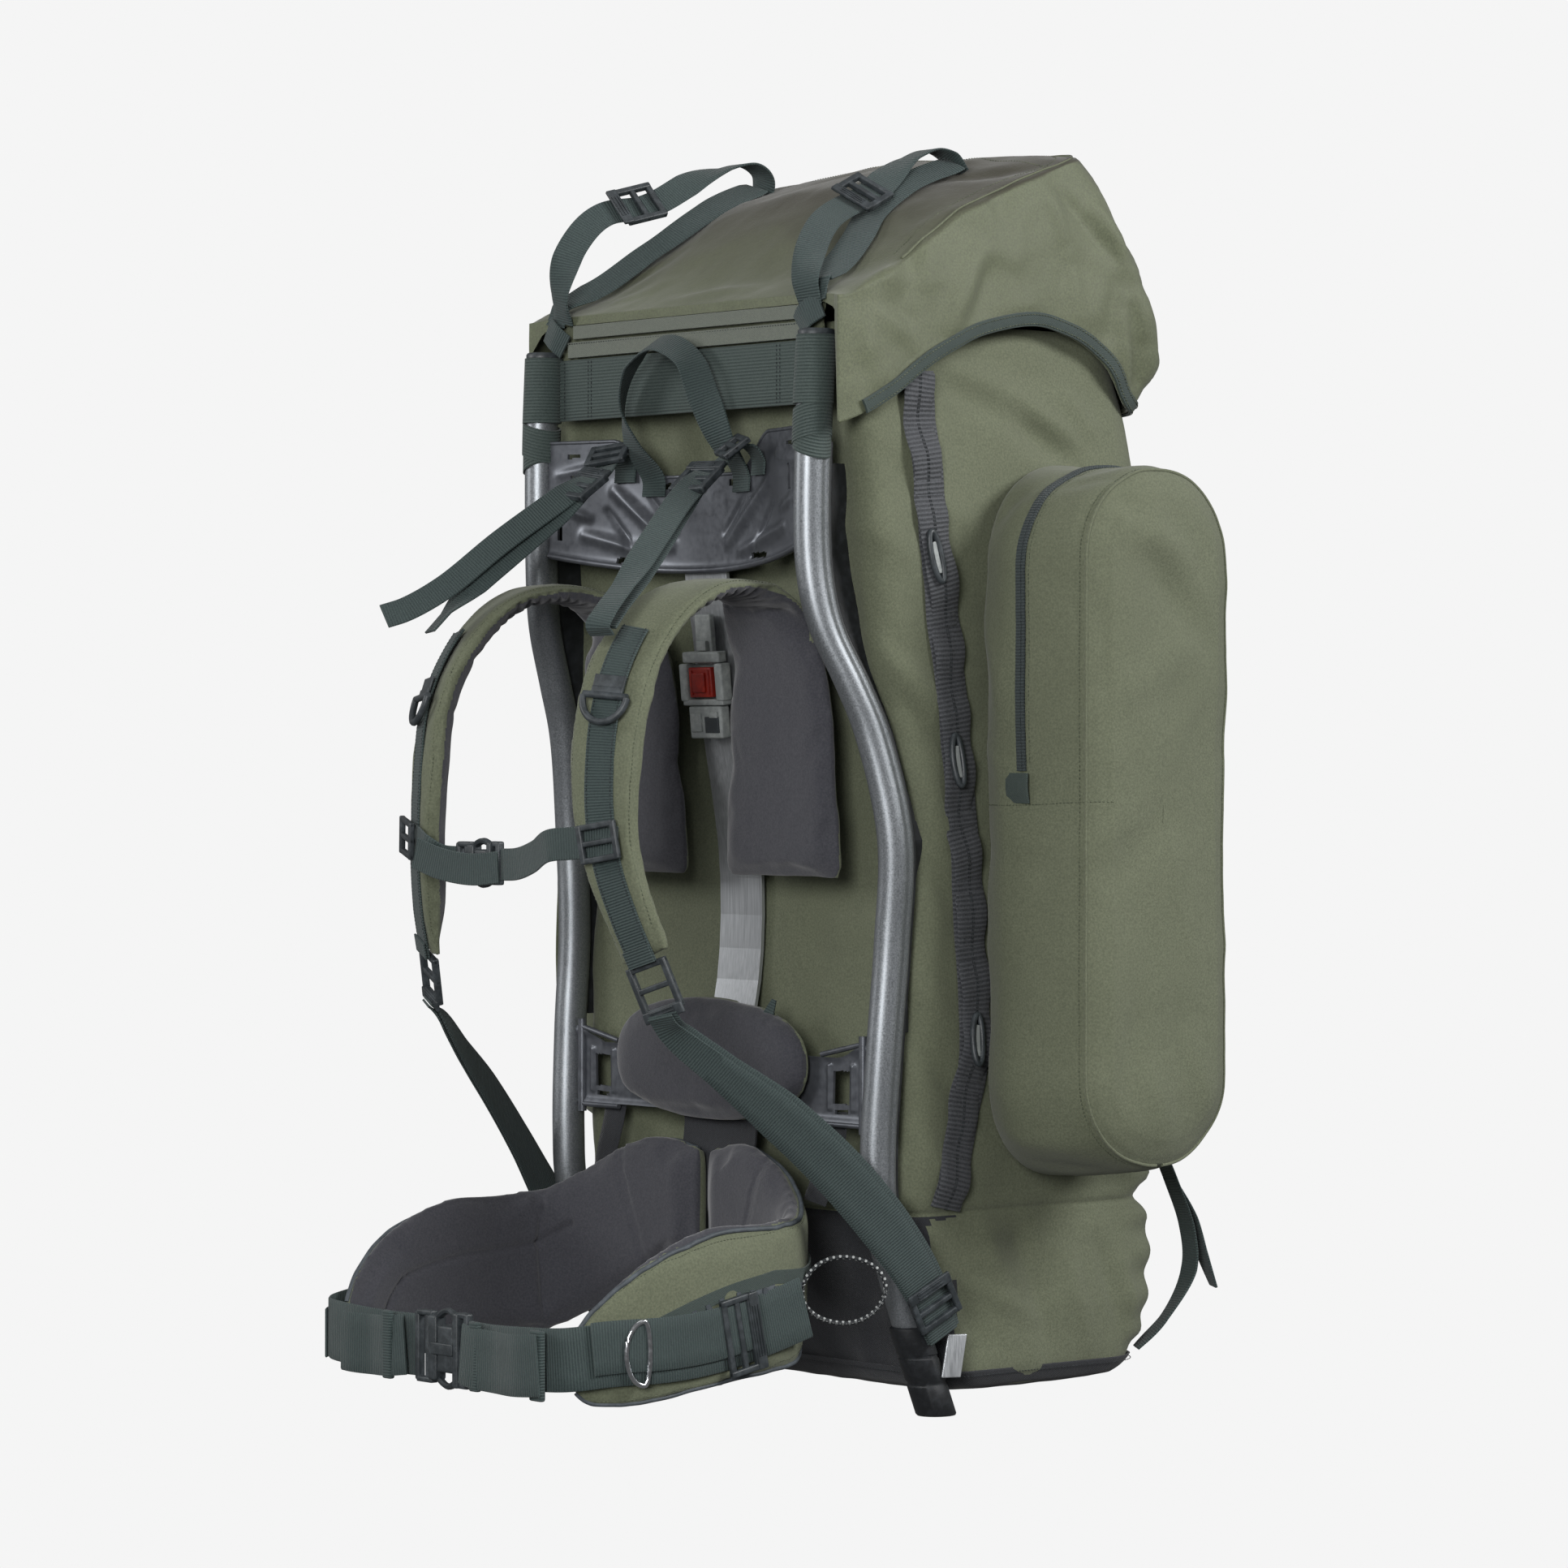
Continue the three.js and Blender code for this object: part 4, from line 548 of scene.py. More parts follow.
def side_strokes(x, rows):
    """Strokes on both sides from rows of y, z, y, z, width, height at one X."""
    out = []
    for y1, z1, y2, z2, width, rise in rows:
        for side in (x, -x):
            out.append(((side, y1, z1), (side, y2, z2), width, rise))
    return out


def facing(turn, lift=0.0):
    """Direction that a strap faces: turn 0 is forward, 90 to +X; lift 90 is up."""
    t, e = math.radians(turn), math.radians(lift)
    return np.array((math.sin(t) * math.cos(e), -math.cos(t) * math.cos(e), math.sin(e)))


SHORTEST = 1e-4  # mm between two places of a curve


def curve_points(points, steps):
    """Points of a centripetal curve through places, evenly shared between them."""
    p = [np.array(q, float) for q in points]
    p = [2 * p[0] - p[1]] + p + [2 * p[-1] - p[-2]]
    out = []
    for u in np.linspace(0, len(points) - 1, steps + 1):
        n = min(int(u), len(points) - 2)
        t = u - n
        a, b, c, d = p[n : n + 4]
        ka, kb, kc = (max(np.linalg.norm(s - r), SHORTEST) ** 0.5
                      for r, s in ((a, b), (b, c), (c, d)))
        m1 = ((b - a) / ka - (c - a) / (ka + kb) + (c - b) / kb) * kb
        m2 = ((c - b) / kb - (d - b) / (kb + kc) + (d - c) / kc) * kb
        out.append(hermite(b, c, m1, m2, t))
    return np.array(out)


class Route:
    """Frames along a strap: points p, tangents t, across a and outward n, with run in
    mm. Rows are x, y, z, turn, lift and further columns that are blended."""

    def __init__(self, rows, steps, side=1):
        rows = [tuple(r) + (0.0,) * (5 - len(r)) for r in rows]
        self.p = curve_points([(side * r[0], r[1], r[2]) for r in rows], steps)
        u = np.linspace(0, len(rows) - 1, steps + 1)
        whole = np.minimum(u.astype(int), len(rows) - 2)
        share = (u - whole)[:, None]
        faces = np.array([facing(side * r[3], r[4]) for r in rows])
        face = faces[whole] * (1 - share) + faces[whole + 1] * share
        extra = np.array([r[5:] for r in rows], float)
        self.extra = extra[whole] * (1 - share) + extra[whole + 1] * share
        self.set_frames(face)

    @classmethod
    def through(cls, points, face, extra=None):
        """A route on given places, with one outward direction or one for each."""
        made = object.__new__(cls)
        made.p = np.asarray(points, float)
        made.extra = np.zeros((len(made.p), 0)) if extra is None else extra
        made.set_frames(face)
        return made

    def set_frames(self, face):
        self.t = unit(np.gradient(self.p, axis=0))
        self.a = unit(np.cross(self.t, face))
        self.n = np.cross(self.a, self.t)
        self.run = run_of(self.p)

    def moved(self, out=0.0, across=0.0):
        """The same route moved off its face, by a number or one for each frame."""
        out, across = np.broadcast_to(out, len(self.p)), np.broadcast_to(across, len(self.p))
        points = self.p + self.n * out[:, None] + self.a * across[:, None]
        return Route.through(points, self.n, self.extra)

    def part(self, first, last=None):
        cut = slice(first, last)
        return Route.through(self.p[cut], self.n[cut], self.extra[cut])

    def frame(self, index, out=0.0, upright=False):
        """A frame as a matrix of place, across, along and outward, in table mm."""
        flip = -1 if upright else 1
        at = self.p[index] + self.n[index] * out
        return at, self.a[index] * flip, self.t[index] * flip, self.n[index]

    def at_height(self, z):
        return int(np.argmin(abs(self.p[:, 2] - z)))


def turned(route, turn, lift, first=0.0, last=1.0, soft=0.14):
    """A route with its face turned to a direction between two shares of its run."""
    u = route.run / route.run[-1]
    near, far = ((length / soft + 0.001).clip(0, 1) for length in (u - first, last - u))
    share = (near * far)[:, None]
    route.set_frames(route.n * (1 - share) + facing(turn, lift) * share)
    return route


STRIP = [(-0.5, 0), (-0.47, 0.5), (-0.25, 0.5), (0, 0.5), (0.25, 0.5), (0.47, 0.5),
         (0.5, 0), (0.47, -0.5), (0.25, -0.5), (0, -0.5), (-0.25, -0.5), (-0.47, -0.5)]


WEB_WIDE, WEB_THICK = 25, 1.8  # mm, of most straps


def ribbon(route, wide=WEB_WIDE, thick=WEB_THICK, cup=0.0):
    """Points, faces and chart of a flat strap with rounded edges; wide may be one width
    for each frame, and cup bows it across."""
    wide = np.broadcast_to(wide, len(route.p))
    points, chart = [], []
    for p, a, n, w, v in zip(route.p, route.a, route.n, wide, route.run):
        for across, out in STRIP:
            bow = cup * (1 - 4 * across * across)
            points.append(p + a * across * w + n * (out * thick + bow))
            chart.append((across * w, v))
    size = len(STRIP)
    faces = grid_faces(len(route.p), size)
    faces += [list(range(size)), [(len(route.p) - 1) * size + k for k in range(size)]]
    return np.array(points), faces, np.array(chart)


def joined(parts):
    """Several lists of points, faces and charts as one."""
    points, faces, charts, base = [], [], [], 0
    for p, f, c in parts:
        points.append(np.asarray(p, float).reshape(-1, 3))
        charts.append(np.zeros((len(points[-1]), 2)) if c is None else np.asarray(c))
        faces += [[k + base for k in face] for face in f]
        base += len(points[-1])
    return np.concatenate(points), faces, np.concatenate(charts)


def strap(name, parts, material, *nodes, sharp=50):
    """A piece of one or more ribbons."""
    points, faces, chart = joined(parts)
    return piece(name, made_mesh(name, points, faces, chart, sharp), material, *nodes)


WIRE_UP = (0.13, 0.21, 0.97)  # no wire of the pack runs this way


def wire(points, radius, closed=False, sides=10, squash=1.0):
    """A round wire along points; a short chart runs round and along it."""
    p = np.asarray(points, float)
    t = np.roll(p, -1, 0) - np.roll(p, 1, 0) if closed else np.gradient(p, axis=0)
    t = unit(t)
    a = unit(np.cross(t, WIRE_UP))
    n = np.cross(a, t)
    run = run_of(p)
    angles = round_angles(sides)
    ring = p[:, None] + radius * (
        a[:, None] * np.cos(angles)[None, :, None]
        + n[:, None] * np.sin(angles)[None, :, None] * squash
    )
    chart = np.stack(np.broadcast_arrays(angles[None, :] * radius, run[:, None]), -1)
    faces = grid_faces(len(p), sides)
    last = (len(p) - 1) * sides
    if closed:
        faces += [[last + k, last + (k + 1) % sides, (k + 1) % sides, k] for k in range(sides)]
    else:
        faces += [list(range(sides)), [last + k for k in range(sides)]]
    return ring.reshape(-1, 3), faces, chart.reshape(-1, 2)


def rounded_box(centre, size, radius, taper=1.0):
    """A box with rounded edges, in its own axes; taper narrows its far side."""
    work = bmesh.new()
    bmesh.ops.create_cube(work, size=1.0)
    for vert in work.verts:
        share = taper if vert.co.z > 0 else 1.0
        sides = (size[0] * share, size[1] * share, size[2])
        vert.co = Vector(c * s for c, s in zip(vert.co, sides))
    radius = min(radius, min(size) * 0.45)
    bmesh.ops.bevel(work, geom=list(work.edges), offset=radius, segments=3, profile=0.6,
                    affect="EDGES")
    work.verts.index_update()
    points = np.array([v.co[:] for v in work.verts]) + np.array(centre)
    faces = [[v.index for v in f.verts] for f in work.faces]
    work.free()
    return points, faces, None


def seat(*rows):
    """A frame to set parts on: its place, then the directions across, along and outward."""
    return tuple(np.array(row, float) for row in rows)


def seated(parts, frame_at):
    """Parts drawn in X across, Y along and Z outward, set on a frame of a route."""
    origin, a, t, n = frame_at
    turn = np.stack([a, t, n])
    return [(np.asarray(p) @ turn + origin, f, c) for p, f, c in parts]


def fitting(name, parts, material, *nodes, body="pack", sharp=40):
    """A piece of boxes, wires and rings."""
    points, faces, chart = joined(parts)
    mesh = made_mesh(name, points, faces, chart, sharp)
    return piece(name, mesh, material, *nodes, body=body)


def boxes(rows):
    """Rounded boxes from rows of centre, size and radius."""
    return [rounded_box(*row) for row in rows]


def ladder(wide, tall, bar=4.6, thick=4.6, lip=False):
    """A strap adjuster: side bars, three cross bars, and a raised ribbed lip."""
    half = wide / 2 + bar / 2
    parts = [rounded_box((s * half, 0, thick / 2), (bar, tall, thick), 1.4) for s in (-1, 1)]
    reach = tall / 2 - bar / 2
    for y, width in ((-reach, bar), (0, bar * 0.9), (reach, bar)):
        parts.append(rounded_box((0, y, thick / 2), (wide + 2 * bar, width, thick * 0.86), 1.3))
    if lip:
        parts.append(rounded_box((0, -reach - 3, thick * 0.9), (wide + 2 * bar, 9, 3), 1.2))
        for n in range(3):
            y = -reach - 5.5 + 2.6 * n
            parts.append(rounded_box((0, y, thick * 0.9 + 1.7), (wide * 0.8, 1, 1.4), 0.4))
    return parts


def release_buckle(wide, tall, thick):
    """A side release buckle drawn along X: a socket with open sides, two springy
    prongs, and a slotted bar at each end."""
    parts = boxes([
        ((wide * 0.13, 0, 0), (wide * 0.3, tall * 0.62, thick), 2.2),
        ((wide * 0.31, 0, 0), (wide * 0.1, tall, thick), 2.4),
        ((wide * 0.47, 0, 0), (5, tall, thick * 0.6), 2),
        ((-wide * 0.14, 0, 0), (wide * 0.16, tall * 0.86, thick * 0.9), 2.2),
        ((-wide * 0.47, 0, 0), (5, tall * 0.92, thick * 0.6), 2),
        ((-wide * 0.28, 0, 0), (4, tall * 0.86, thick * 0.55), 1.4),
        ((wide * 0.08, 0, thick * 0.1), (wide * 0.42, tall * 0.16, thick), 1.2),
    ])
    for side in (-1, 1):
        y = side * (tall / 2 - 2.2)
        parts.append(rounded_box((-wide * 0.33, y * 0.96, 0), (wide * 0.3, 4.4, thick * 0.6), 1.6))
        parts.append(rounded_box((wide * 0.4, y, 0), (wide * 0.18, 4.4, thick * 0.6), 1.6))
        bow = [(wide * (0.27 - 0.36 * u), side * tall * (0.41 + 0.09 * math.sin(u * math.pi)), 0)
               for u in np.linspace(0, 1, 9)]
        parts.append(wire(bow, 2.6, sides=8, squash=1.3))
    return parts


# Rows of stitches by Geometry Nodes

def stitch_group():
    """Geometry Nodes that lay small rounded stitches along curves. Inputs: Pitch and
    Size in metres and the thread's material."""
    group = bpy.data.node_groups.new("stitch_rows", "GeometryNodeTree")
    sockets = group.interface
    sockets.new_socket("Geometry", in_out="INPUT", socket_type="NodeSocketGeometry")
    for label in ("Pitch", "Length", "Radius"):
        sockets.new_socket(label, in_out="INPUT", socket_type="NodeSocketFloat")
    sockets.new_socket("Thread", in_out="INPUT", socket_type="NodeSocketMaterial")
    sockets.new_socket("Geometry", in_out="OUTPUT", socket_type="NodeSocketGeometry")
    source = add(group, "NodeGroupInput")
    places = add(group, "GeometryNodeResampleCurve", {"Length": source.outputs["Pitch"]},
                 mode="LENGTH")
    group.links.new(source.outputs["Geometry"], places.inputs["Curve"])
    tangent = add(group, "GeometryNodeInputTangent")
    aim = add(group, "FunctionNodeAlignRotationToVector", {"Vector": tangent.outputs[0]},
              axis="Z")
    bead = add(group, "GeometryNodeMeshUVSphere", {"Segments": 6, "Rings": 4, "Radius": 1.0})
    size = add(group, "ShaderNodeCombineXYZ", {
        0: source.outputs["Radius"], 1: source.outputs["Radius"], 2: source.outputs["Length"]})
    laid = add(group, "GeometryNodeInstanceOnPoints", {
        "Points": places.outputs["Curve"], "Instance": bead.outputs["Mesh"],
        "Rotation": aim.outputs[0], "Scale": size.outputs[0]})
    real = add(group, "GeometryNodeRealizeInstances", {"Geometry": laid.outputs["Instances"]})
    dressed = add(group, "GeometryNodeSetMaterial", {
        "Geometry": real.outputs["Geometry"], "Material": source.outputs["Thread"]})
    out = add(group, "NodeGroupOutput")
    group.links.new(dressed.outputs["Geometry"], out.inputs["Geometry"])
    return group


STITCH_ROWS = stitch_group()


def stitches(name, paths, thread, slot=None, pitch=3.2, long=1.15, radius=0.42):
    """Stitches along broken lines of table points, as one mesh piece."""
    curve = bpy.data.curves.new(name + "_path", "CURVE")
    curve.dimensions = "3D"
    for path in paths:
        spline = curve.splines.new("POLY")
        spline.points.add(len(path) - 1)
        for point, where in zip(spline.points, path):
            point.co = (*place(where), 1)
    carrier = new_object(name + "_path", curve)
    rows = carrier.modifiers.new("rows", "NODES")
    rows.node_group = STITCH_ROWS
    ids = {s.name: s.identifier for s in STITCH_ROWS.interface.items_tree if s.in_out == "INPUT"}
    for label, value in (("Pitch", pitch), ("Length", long), ("Radius", radius)):
        rows[ids[label]] = value * MM
    rows[ids["Thread"]] = thread
    graph = bpy.context.evaluated_depsgraph_get()
    mesh = bpy.data.meshes.new_from_object(carrier.evaluated_get(graph), depsgraph=graph)
    bpy.data.objects.remove(carrier)
    mesh.name = name
    mesh.materials.clear()
    mesh.shade_smooth()
    return piece(name, mesh, thread, slot=slot)


NEAR_SPREAD = 14.0  # square mm over which the nearest cloth is averaged


def settled(line, points, normals, lift, passes=3):
    """A line laid on a padded surface: each place moves to the cloth nearest to it."""
    out = []
    for spot in line:
        away = ((points - spot) ** 2).sum(1)
        weight = np.exp(-np.minimum((away - away.min()) / NEAR_SPREAD, 60))
        weight /= weight.sum()
        out.append(weight @ points + lift * (weight @ normals))
    out = np.array(out)
    for _ in range(passes):
        out[1:-1] = (out[:-2] + 2 * out[1:-1] + out[2:]) / 4
    return out


# Bag

BAG_ROWS = [  # z, half, front, dish, rear, bulge
    (862, 184, 24, 4, 300, 4), (835, 195, 21, 2, 308, 4), (760, 203.5, 21, 18, 320, 5),
    (700, 206, 22, 24, 326, 6), (600, 206, 34, 26, 334, 8), (510, 206.5, 60, 10, 338, 8),
    (450, 207, 68, 5, 340, 8), (270, 206.5, 61, 8, 344, 7), (172, 205, 60, 6, 346, 5),
    (157, 203, 64, 5, 336, 4), (140, 205, 68, 4, 346, 5), (95, 205, 84, 2, 343, 5),
    (55, 203, 101, 0, 336, 4), (34, 200, 109, 0, 328, 2), (20, 193, 118, 0, 314, 0),
    (8.5, 130, 165, 0, 250, 0),
]
BAG_CORNER = (26, 46)
BAG_SEAM = 157
BASE_RIM = 29
BASE_COLUMNS = 200
BASE_LOW = 6.3
COARSE_BACK, COARSE_HALF = 116, 203  # the coarse cloth low on the bag's front
FRONT_AT = 52  # y of the strokes on the bag's front


def bag_ring(row, count, grow=0.0):
    """One level ring of the bag, grown outward in mm."""
    z, half, front, dish, rear, bulge = row
    half, front, rear = half + grow, front - grow, rear + grow
    tight = min(half, (rear - front) / 2) * 0.95
    corners = [min(size + grow, tight) for size in BAG_CORNER]
    ring = outline(half, front, rear, *corners, count)
    x, y = ring.T
    back = (y - front) / (rear - front)
    crown = 1 - (x / half) ** 2
    y = y + dish * crown * (1 - back) ** 4 + bulge * crown * back**4
    return np.stack([x, y, np.full(count, z)], -1)


def bag_grid(heights, count, grow=0.0):
    """Rings of the bag at given heights."""
    rows = smooth_table(BAG_ROWS, np.array(heights, float))
    return np.array([bag_ring(row, count, grow) for row in rows])


# Folds on the bag's sides: y, z, y, z, width, height
BAG_FOLDS = [
    (104, 824, 176, 797, 7, 4.0), (176, 797, 236, 764, 7, 4.5), (100, 806, 168, 778, 9, -3.0),
    (176, 778, 240, 744, 9, -3.5), (216, 816, 262, 770, 8, 3.0), (150, 826, 232, 806, 8, -2.5),
    (30, 760, 84, 712, 14, -2.4), (24, 700, 96, 640, 16, 2.4), (6, 642, 60, 590, 10, -3.0),
    (20, 618, 96, 548, 12, 3.0), (30, 575, 104, 520, 8, -2.4), (60, 515, 118, 430, 14, 2.0),
    (64, 470, 112, 380, 10, -2.0), (60, 350, 112, 300, 14, 1.8), (66, 300, 118, 240, 10, -2.0),
    (70, 230, 104, 180, 12, 2.0), (140, 146, 172, 60, 12, 2.2), (176, 140, 214, 48, 10, -2.6),
    (224, 120, 262, 40, 12, 2.6), (262, 130, 292, 52, 8, -2.6), (292, 110, 318, 44, 7, 2.4),
    (110, 120, 140, 48, 10, -2.0), (300, 240, 330, 160, 9, -2.2), (306, 300, 334, 200, 10, 2.2),
    (150, 176, 240, 168, 6, -1.4), (240, 170, 320, 176, 6, -1.4), (132, 100, 200, 70, 8, 1.6),
]
# Folds on the bag's front between the tubes: x, z, x, z, width, height
FRONT_FOLDS = [
    (-120, 790, -30, 770, 9, -2.0), (40, 786, 130, 764, 8, 2.4), (-140, 400, -60, 330, 14, 2.2),
    (60, 380, 150, 320, 12, -2.2), (30, 210, 140, 190, 12, 2.4), (-150, 250, -80, 190, 12, -2.4),
    (150, 560, 180, 470, 10, -2.4), (40, 160, 110, 100, 12, -2.0), (-110, 170, -30, 110, 12, 2.0),
]


def make_bag():
    heights = np.r_[np.linspace(850, 172, 118), np.linspace(170, 146, 15)[1:],
                    np.linspace(144, 20, 40), np.linspace(17, 8.5, 5)]
    grid = bag_grid(heights, 230)
    normals = grid_normals(grid)
    x, y, z = np.moveaxis(grid, -1, 0)
    height = 1.7 * stroked(grid, side_strokes(206, BAG_FOLDS))
    height += stroked(grid, [((a, FRONT_AT, b), (c, FRONT_AT, d), wide, rise)
                             for a, b, c, d, wide, rise in FRONT_FOLDS])
    upper, lower = ramp(z, 560, 680), ramp(z, 170, 110)
    height += 1.4 * waves(grid, 32, 4, (1, 0.55, 1)) * upper
    height += 3.0 * creases(grid, 78, 5, (1, 0.6, 1)) * (0.35 + 0.65 * upper)
    height += 2.0 * creases(grid, 46, 6, (1, 1, 0.4)) * lower
    height += 2.6 * waves(grid, 85, 1) + 1.3 * waves(grid, 34, 2) + 0.3 * waves(grid, 12, 3)
    corner = bell(abs(x), 192, 26) * bell(y, 326, 26)
    ruffle = np.sin(z * 2 * math.pi / 27 + 2.2 * np.sin(z / 37.0))
    height += corner * ramp(z, 250, 190) * ramp(z, 20, 50) * 2.2 * ruffle
    seam = bell(z - BAG_SEAM, 1.2, 2.2)
    height -= 1.8 * seam * (y > 62)
    fade = np.clip((z - 8) / 24, 0.1, 1)
    grid = grid + normals * (height * fade)[..., None]
    mesh = made_mesh("bag_cloth", *pointed(grid))
    piece("bag_cloth", mesh, [OLIVE, CORDURA], "bag_body")
    middle = np.array([p.center[:] for p in mesh.polygons]) / MM - (0, SHIFT, 0)
    coarse = (middle[:, 2] < BAG_SEAM) & (middle[:, 1] < COARSE_BACK)
    coarse &= abs(middle[:, 0]) < COARSE_HALF
    mesh.polygons.foreach_set("material_index", coarse.astype(int))
    return grid


def make_base():
    heights = np.r_[np.linspace(BASE_RIM + 4, 20, 9), np.linspace(17, 8.5, 6)]
    outer = bag_grid(heights, BASE_COLUMNS, 2.3)
    outer += grid_normals(outer) * (0.8 * waves(outer, 26, 5))[..., None]
    outer[:, :, 2] = np.maximum(outer[:, :, 2], BASE_LOW)
    inner = bag_grid(heights[:4], BASE_COLUMNS, 0.6)
    grid = np.concatenate([inner[::-1], outer])
    piece("base_cloth", made_mesh("base_cloth", *pointed(grid)), CORDURA, "bag_base")
    rim = np.r_[outer[0], outer[:1, 0]] + np.array((0, 0, -3.5))
    out = np.r_[grid_normals(outer)[0], grid_normals(outer)[:1, 0]]
    stitches("base_stitches", [rim + out * 0.5], DARK_THREAD, slot="black_cloth")


bag = make_bag()
make_base()


def on_bag(side, y, z, out=0.0):
    """The place on the bag's side at a given depth and height."""
    row = bag[int(np.argmin(abs(bag[:, 0, 2] - z)))]
    flank = row[(row[:, 0] * side > 120)]
    near = flank[np.argmin(abs(flank[:, 1] - y) + 0.2 * abs(abs(flank[:, 0]) - 206))]
    return np.array((near[0] + side * out, y if abs(near[1] - y) < 4 else near[1], z))


# Pockets

POCKET_ROWS = [  # x, front, rear, low, high
    (207.5, 147, 292, 184, 742), (224, 130, 292, 184, 742), (258, 119, 291, 185, 741),
    (312, 127, 286, 193, 738), (332, 138, 278, 203, 731), (340, 152, 264, 220, 716),
]
POCKET_CORNER = 0.46
POCKET_SEAM = 329
POCKET_CROWN = 3.2
ZIP_AT, TAB_AT = 272, 268  # x of the zip and of the tab at its end


def pocket_ring(row, count):
    """One upright ring of the right pocket."""
    x, front, rear, low, high = row
    corner = POCKET_CORNER * (rear - front)
    ring = outline((high - low) / 2, front, rear, corner, corner, count)
    return np.stack([np.full(count, x), ring[:, 1], (low + high) / 2 + ring[:, 0]], -1)


# Folds on the right pocket: x, y, z to x, y, z, width, height
POCKET_FOLDS = [
    ((222, 132, 700), (300, 190, 735), 12, -3.0), ((215, 140, 640), (250, 121, 560), 14, 2.2),
    ((340, 170, 700), (336, 240, 640), 16, 2.0), ((212, 140, 440), (300, 124, 430), 12, -1.6),
    ((340, 180, 330), (338, 160, 240), 14, -2.0), ((340, 230, 300), (336, 262, 230), 12, 2.0),
    ((216, 138, 300), (300, 128, 240), 14, -2.2), ((230, 128, 220), (320, 150, 214), 10, 2.0),
    ((250, 150, 192), (330, 190, 208), 10, -2.0), ((220, 138, 520), (262, 120, 500), 9, 1.8),
    ((341, 158, 716), (339, 190, 690), 9, -3.4), ((341, 166, 700), (338, 232, 664), 12, 3.0),
    ((341, 184, 672), (338, 250, 600), 14, -2.4), ((339, 160, 560), (341, 240, 600), 16, 2.0),
    ((341, 150, 420), (339, 210, 470), 18, -2.0), ((332, 214, 214), (339, 190, 270), 12, 2.2),
    ((280, 150, 726), (325, 176, 724), 9, -2.2), ((330, 140, 640), (336, 150, 560), 12, -1.4),
]


def make_pocket():
    xs = np.r_[np.linspace(207.5, 324, 46), np.linspace(326, 340, 12)]
    grid = np.array([pocket_ring(row, 200) for row in smooth_table(POCKET_ROWS, xs)])
    normals = grid_normals(grid)
    middle = grid[-1].mean(0)
    caps = []
    for share in np.linspace(0.94, 0.06, 26):
        ring = middle + (grid[-1] - middle) * share
        ring[:, 0] = POCKET_ROWS[-1][0] + POCKET_CROWN * (1 - share**2)
        caps.append(ring)
    whole = np.concatenate([grid, np.array(caps)])
    flat = np.broadcast_to((1.0, 0, 0), np.array(caps).shape)
    normals = np.concatenate([normals, flat])
    height = 1.5 * stroked(whole, POCKET_FOLDS) + 2.0 * waves(whole, 75, 7)
    height += 0.6 * waves(whole, 26, 8) + 0.2 * waves(whole, 11, 9) + 1.9 * creases(whole, 105, 10)
    x = whole[..., 0]
    height += 1.1 * bell(x, POCKET_SEAM, 1.5) * (np.arange(len(whole)) < len(grid))[:, None]
    height *= ramp(x, 207, 219)
    whole = whole + normals * height[..., None]
    mesh = made_mesh("pocket_cloth_right", *capped(whole))
    mirror(piece("pocket_cloth_right", mesh, OLIVE, "side_pocket_right"))
    return grid + grid_normals(grid) * height[: len(grid), :, None]


pocket = make_pocket()


def pocket_line(x, out, low_z, rear_z):
    """A line round the pocket at one X: up its front, over its top, down its rear."""
    row = int(np.argmin(abs(pocket[:, 0, 0] - x)))
    line = pocket[row] + grid_normals(pocket)[row] * out
    middle = (line[:, 1].min() + line[:, 1].max()) / 2
    front = line[(line[:, 1] < middle) & (line[:, 2] > low_z)]
    rear = line[(line[:, 1] >= middle) & (line[:, 2] > rear_z)]
    front = front[np.argsort(front[:, 2])]
    rear = rear[np.argsort(-rear[:, 2])]
    return np.concatenate([front, rear])


def route_along(points, normals, steps):
    """A route in even steps through given places with given outward directions."""
    run = run_of(points)
    at = np.linspace(0, run[-1], steps)
    face = np.stack([np.interp(at, run, c) for c in np.asarray(normals, float).T], -1)
    return Route.through(spaced(points, steps), face)


def away_from(points, centre):
    """Directions away from a centre, seen along X."""
    out = points - np.asarray(centre, float)
    out[:, 0] = 0
    return unit(out)


def pocket_trims():
    line = pocket_line(ZIP_AT, 0.9, 499, 640)
    tape = route_along(line, away_from(line, (ZIP_AT, 205, 463)), 150)
    teeth = ribbon(tape.moved(0.9), 3.4, 1.4)
    mirror(strap("pocket_zip_right", [ribbon(tape, 10, 1.6), teeth], ZIP_TAPE))
    tab = Route([(TAB_AT, 120.5, 478, -4, 0), (TAB_AT, 118.5, 490, -4, 0),
                 (TAB_AT, 118.8, 501, -4, 0)], 6)
    mirror(strap("zip_tab_right", [ribbon(tab, 27, 2.2)], BINDING))
    seam = pocket_line(POCKET_SEAM, 0.6, 190, 190)
    mirror(fitting("pocket_piping_right", [wire(spaced(seam, 260), 1.3)], OLIVE))
    rows = [pocket_line(POCKET_SEAM - 5, 0.15, 200, 200)]
    rows += [pocket_line(x, 0.2, 505, 640) for x in (266, 279)]
    front = abs(pocket[20, :, 2] - 474) + (pocket[20, :, 1] > 200) * 999
    level = pocket[4:, int(np.argmin(front))] + (0, -0.3, 0)
    mirror(stitches("pocket_stitches_right", rows + [level], THREAD))
    pulls = []
    whole = pocket_line(ZIP_AT, 1, 200, 200)
    rear = whole[whole[:, 1] > 250]
    for z, lean in ((690, 5), (652, 7)):
        x, y, _ = rear[np.argmin(abs(rear[:, 2] - z))]
        drop = Route([(x, y + 1.5, z, 180, 0), (x + 1, y + 6, z - 12, 180, 0),
                      (x + 3, y + lean + 3, z - 30, 180, 0),
                      (x + 4, y + lean + 5, z - 46, 180, 0)], 12)
        pulls.append(ribbon(drop, 8))
    mirror(strap("zip_pulls_right", pulls, WEB))


pocket_trims()


# Lid

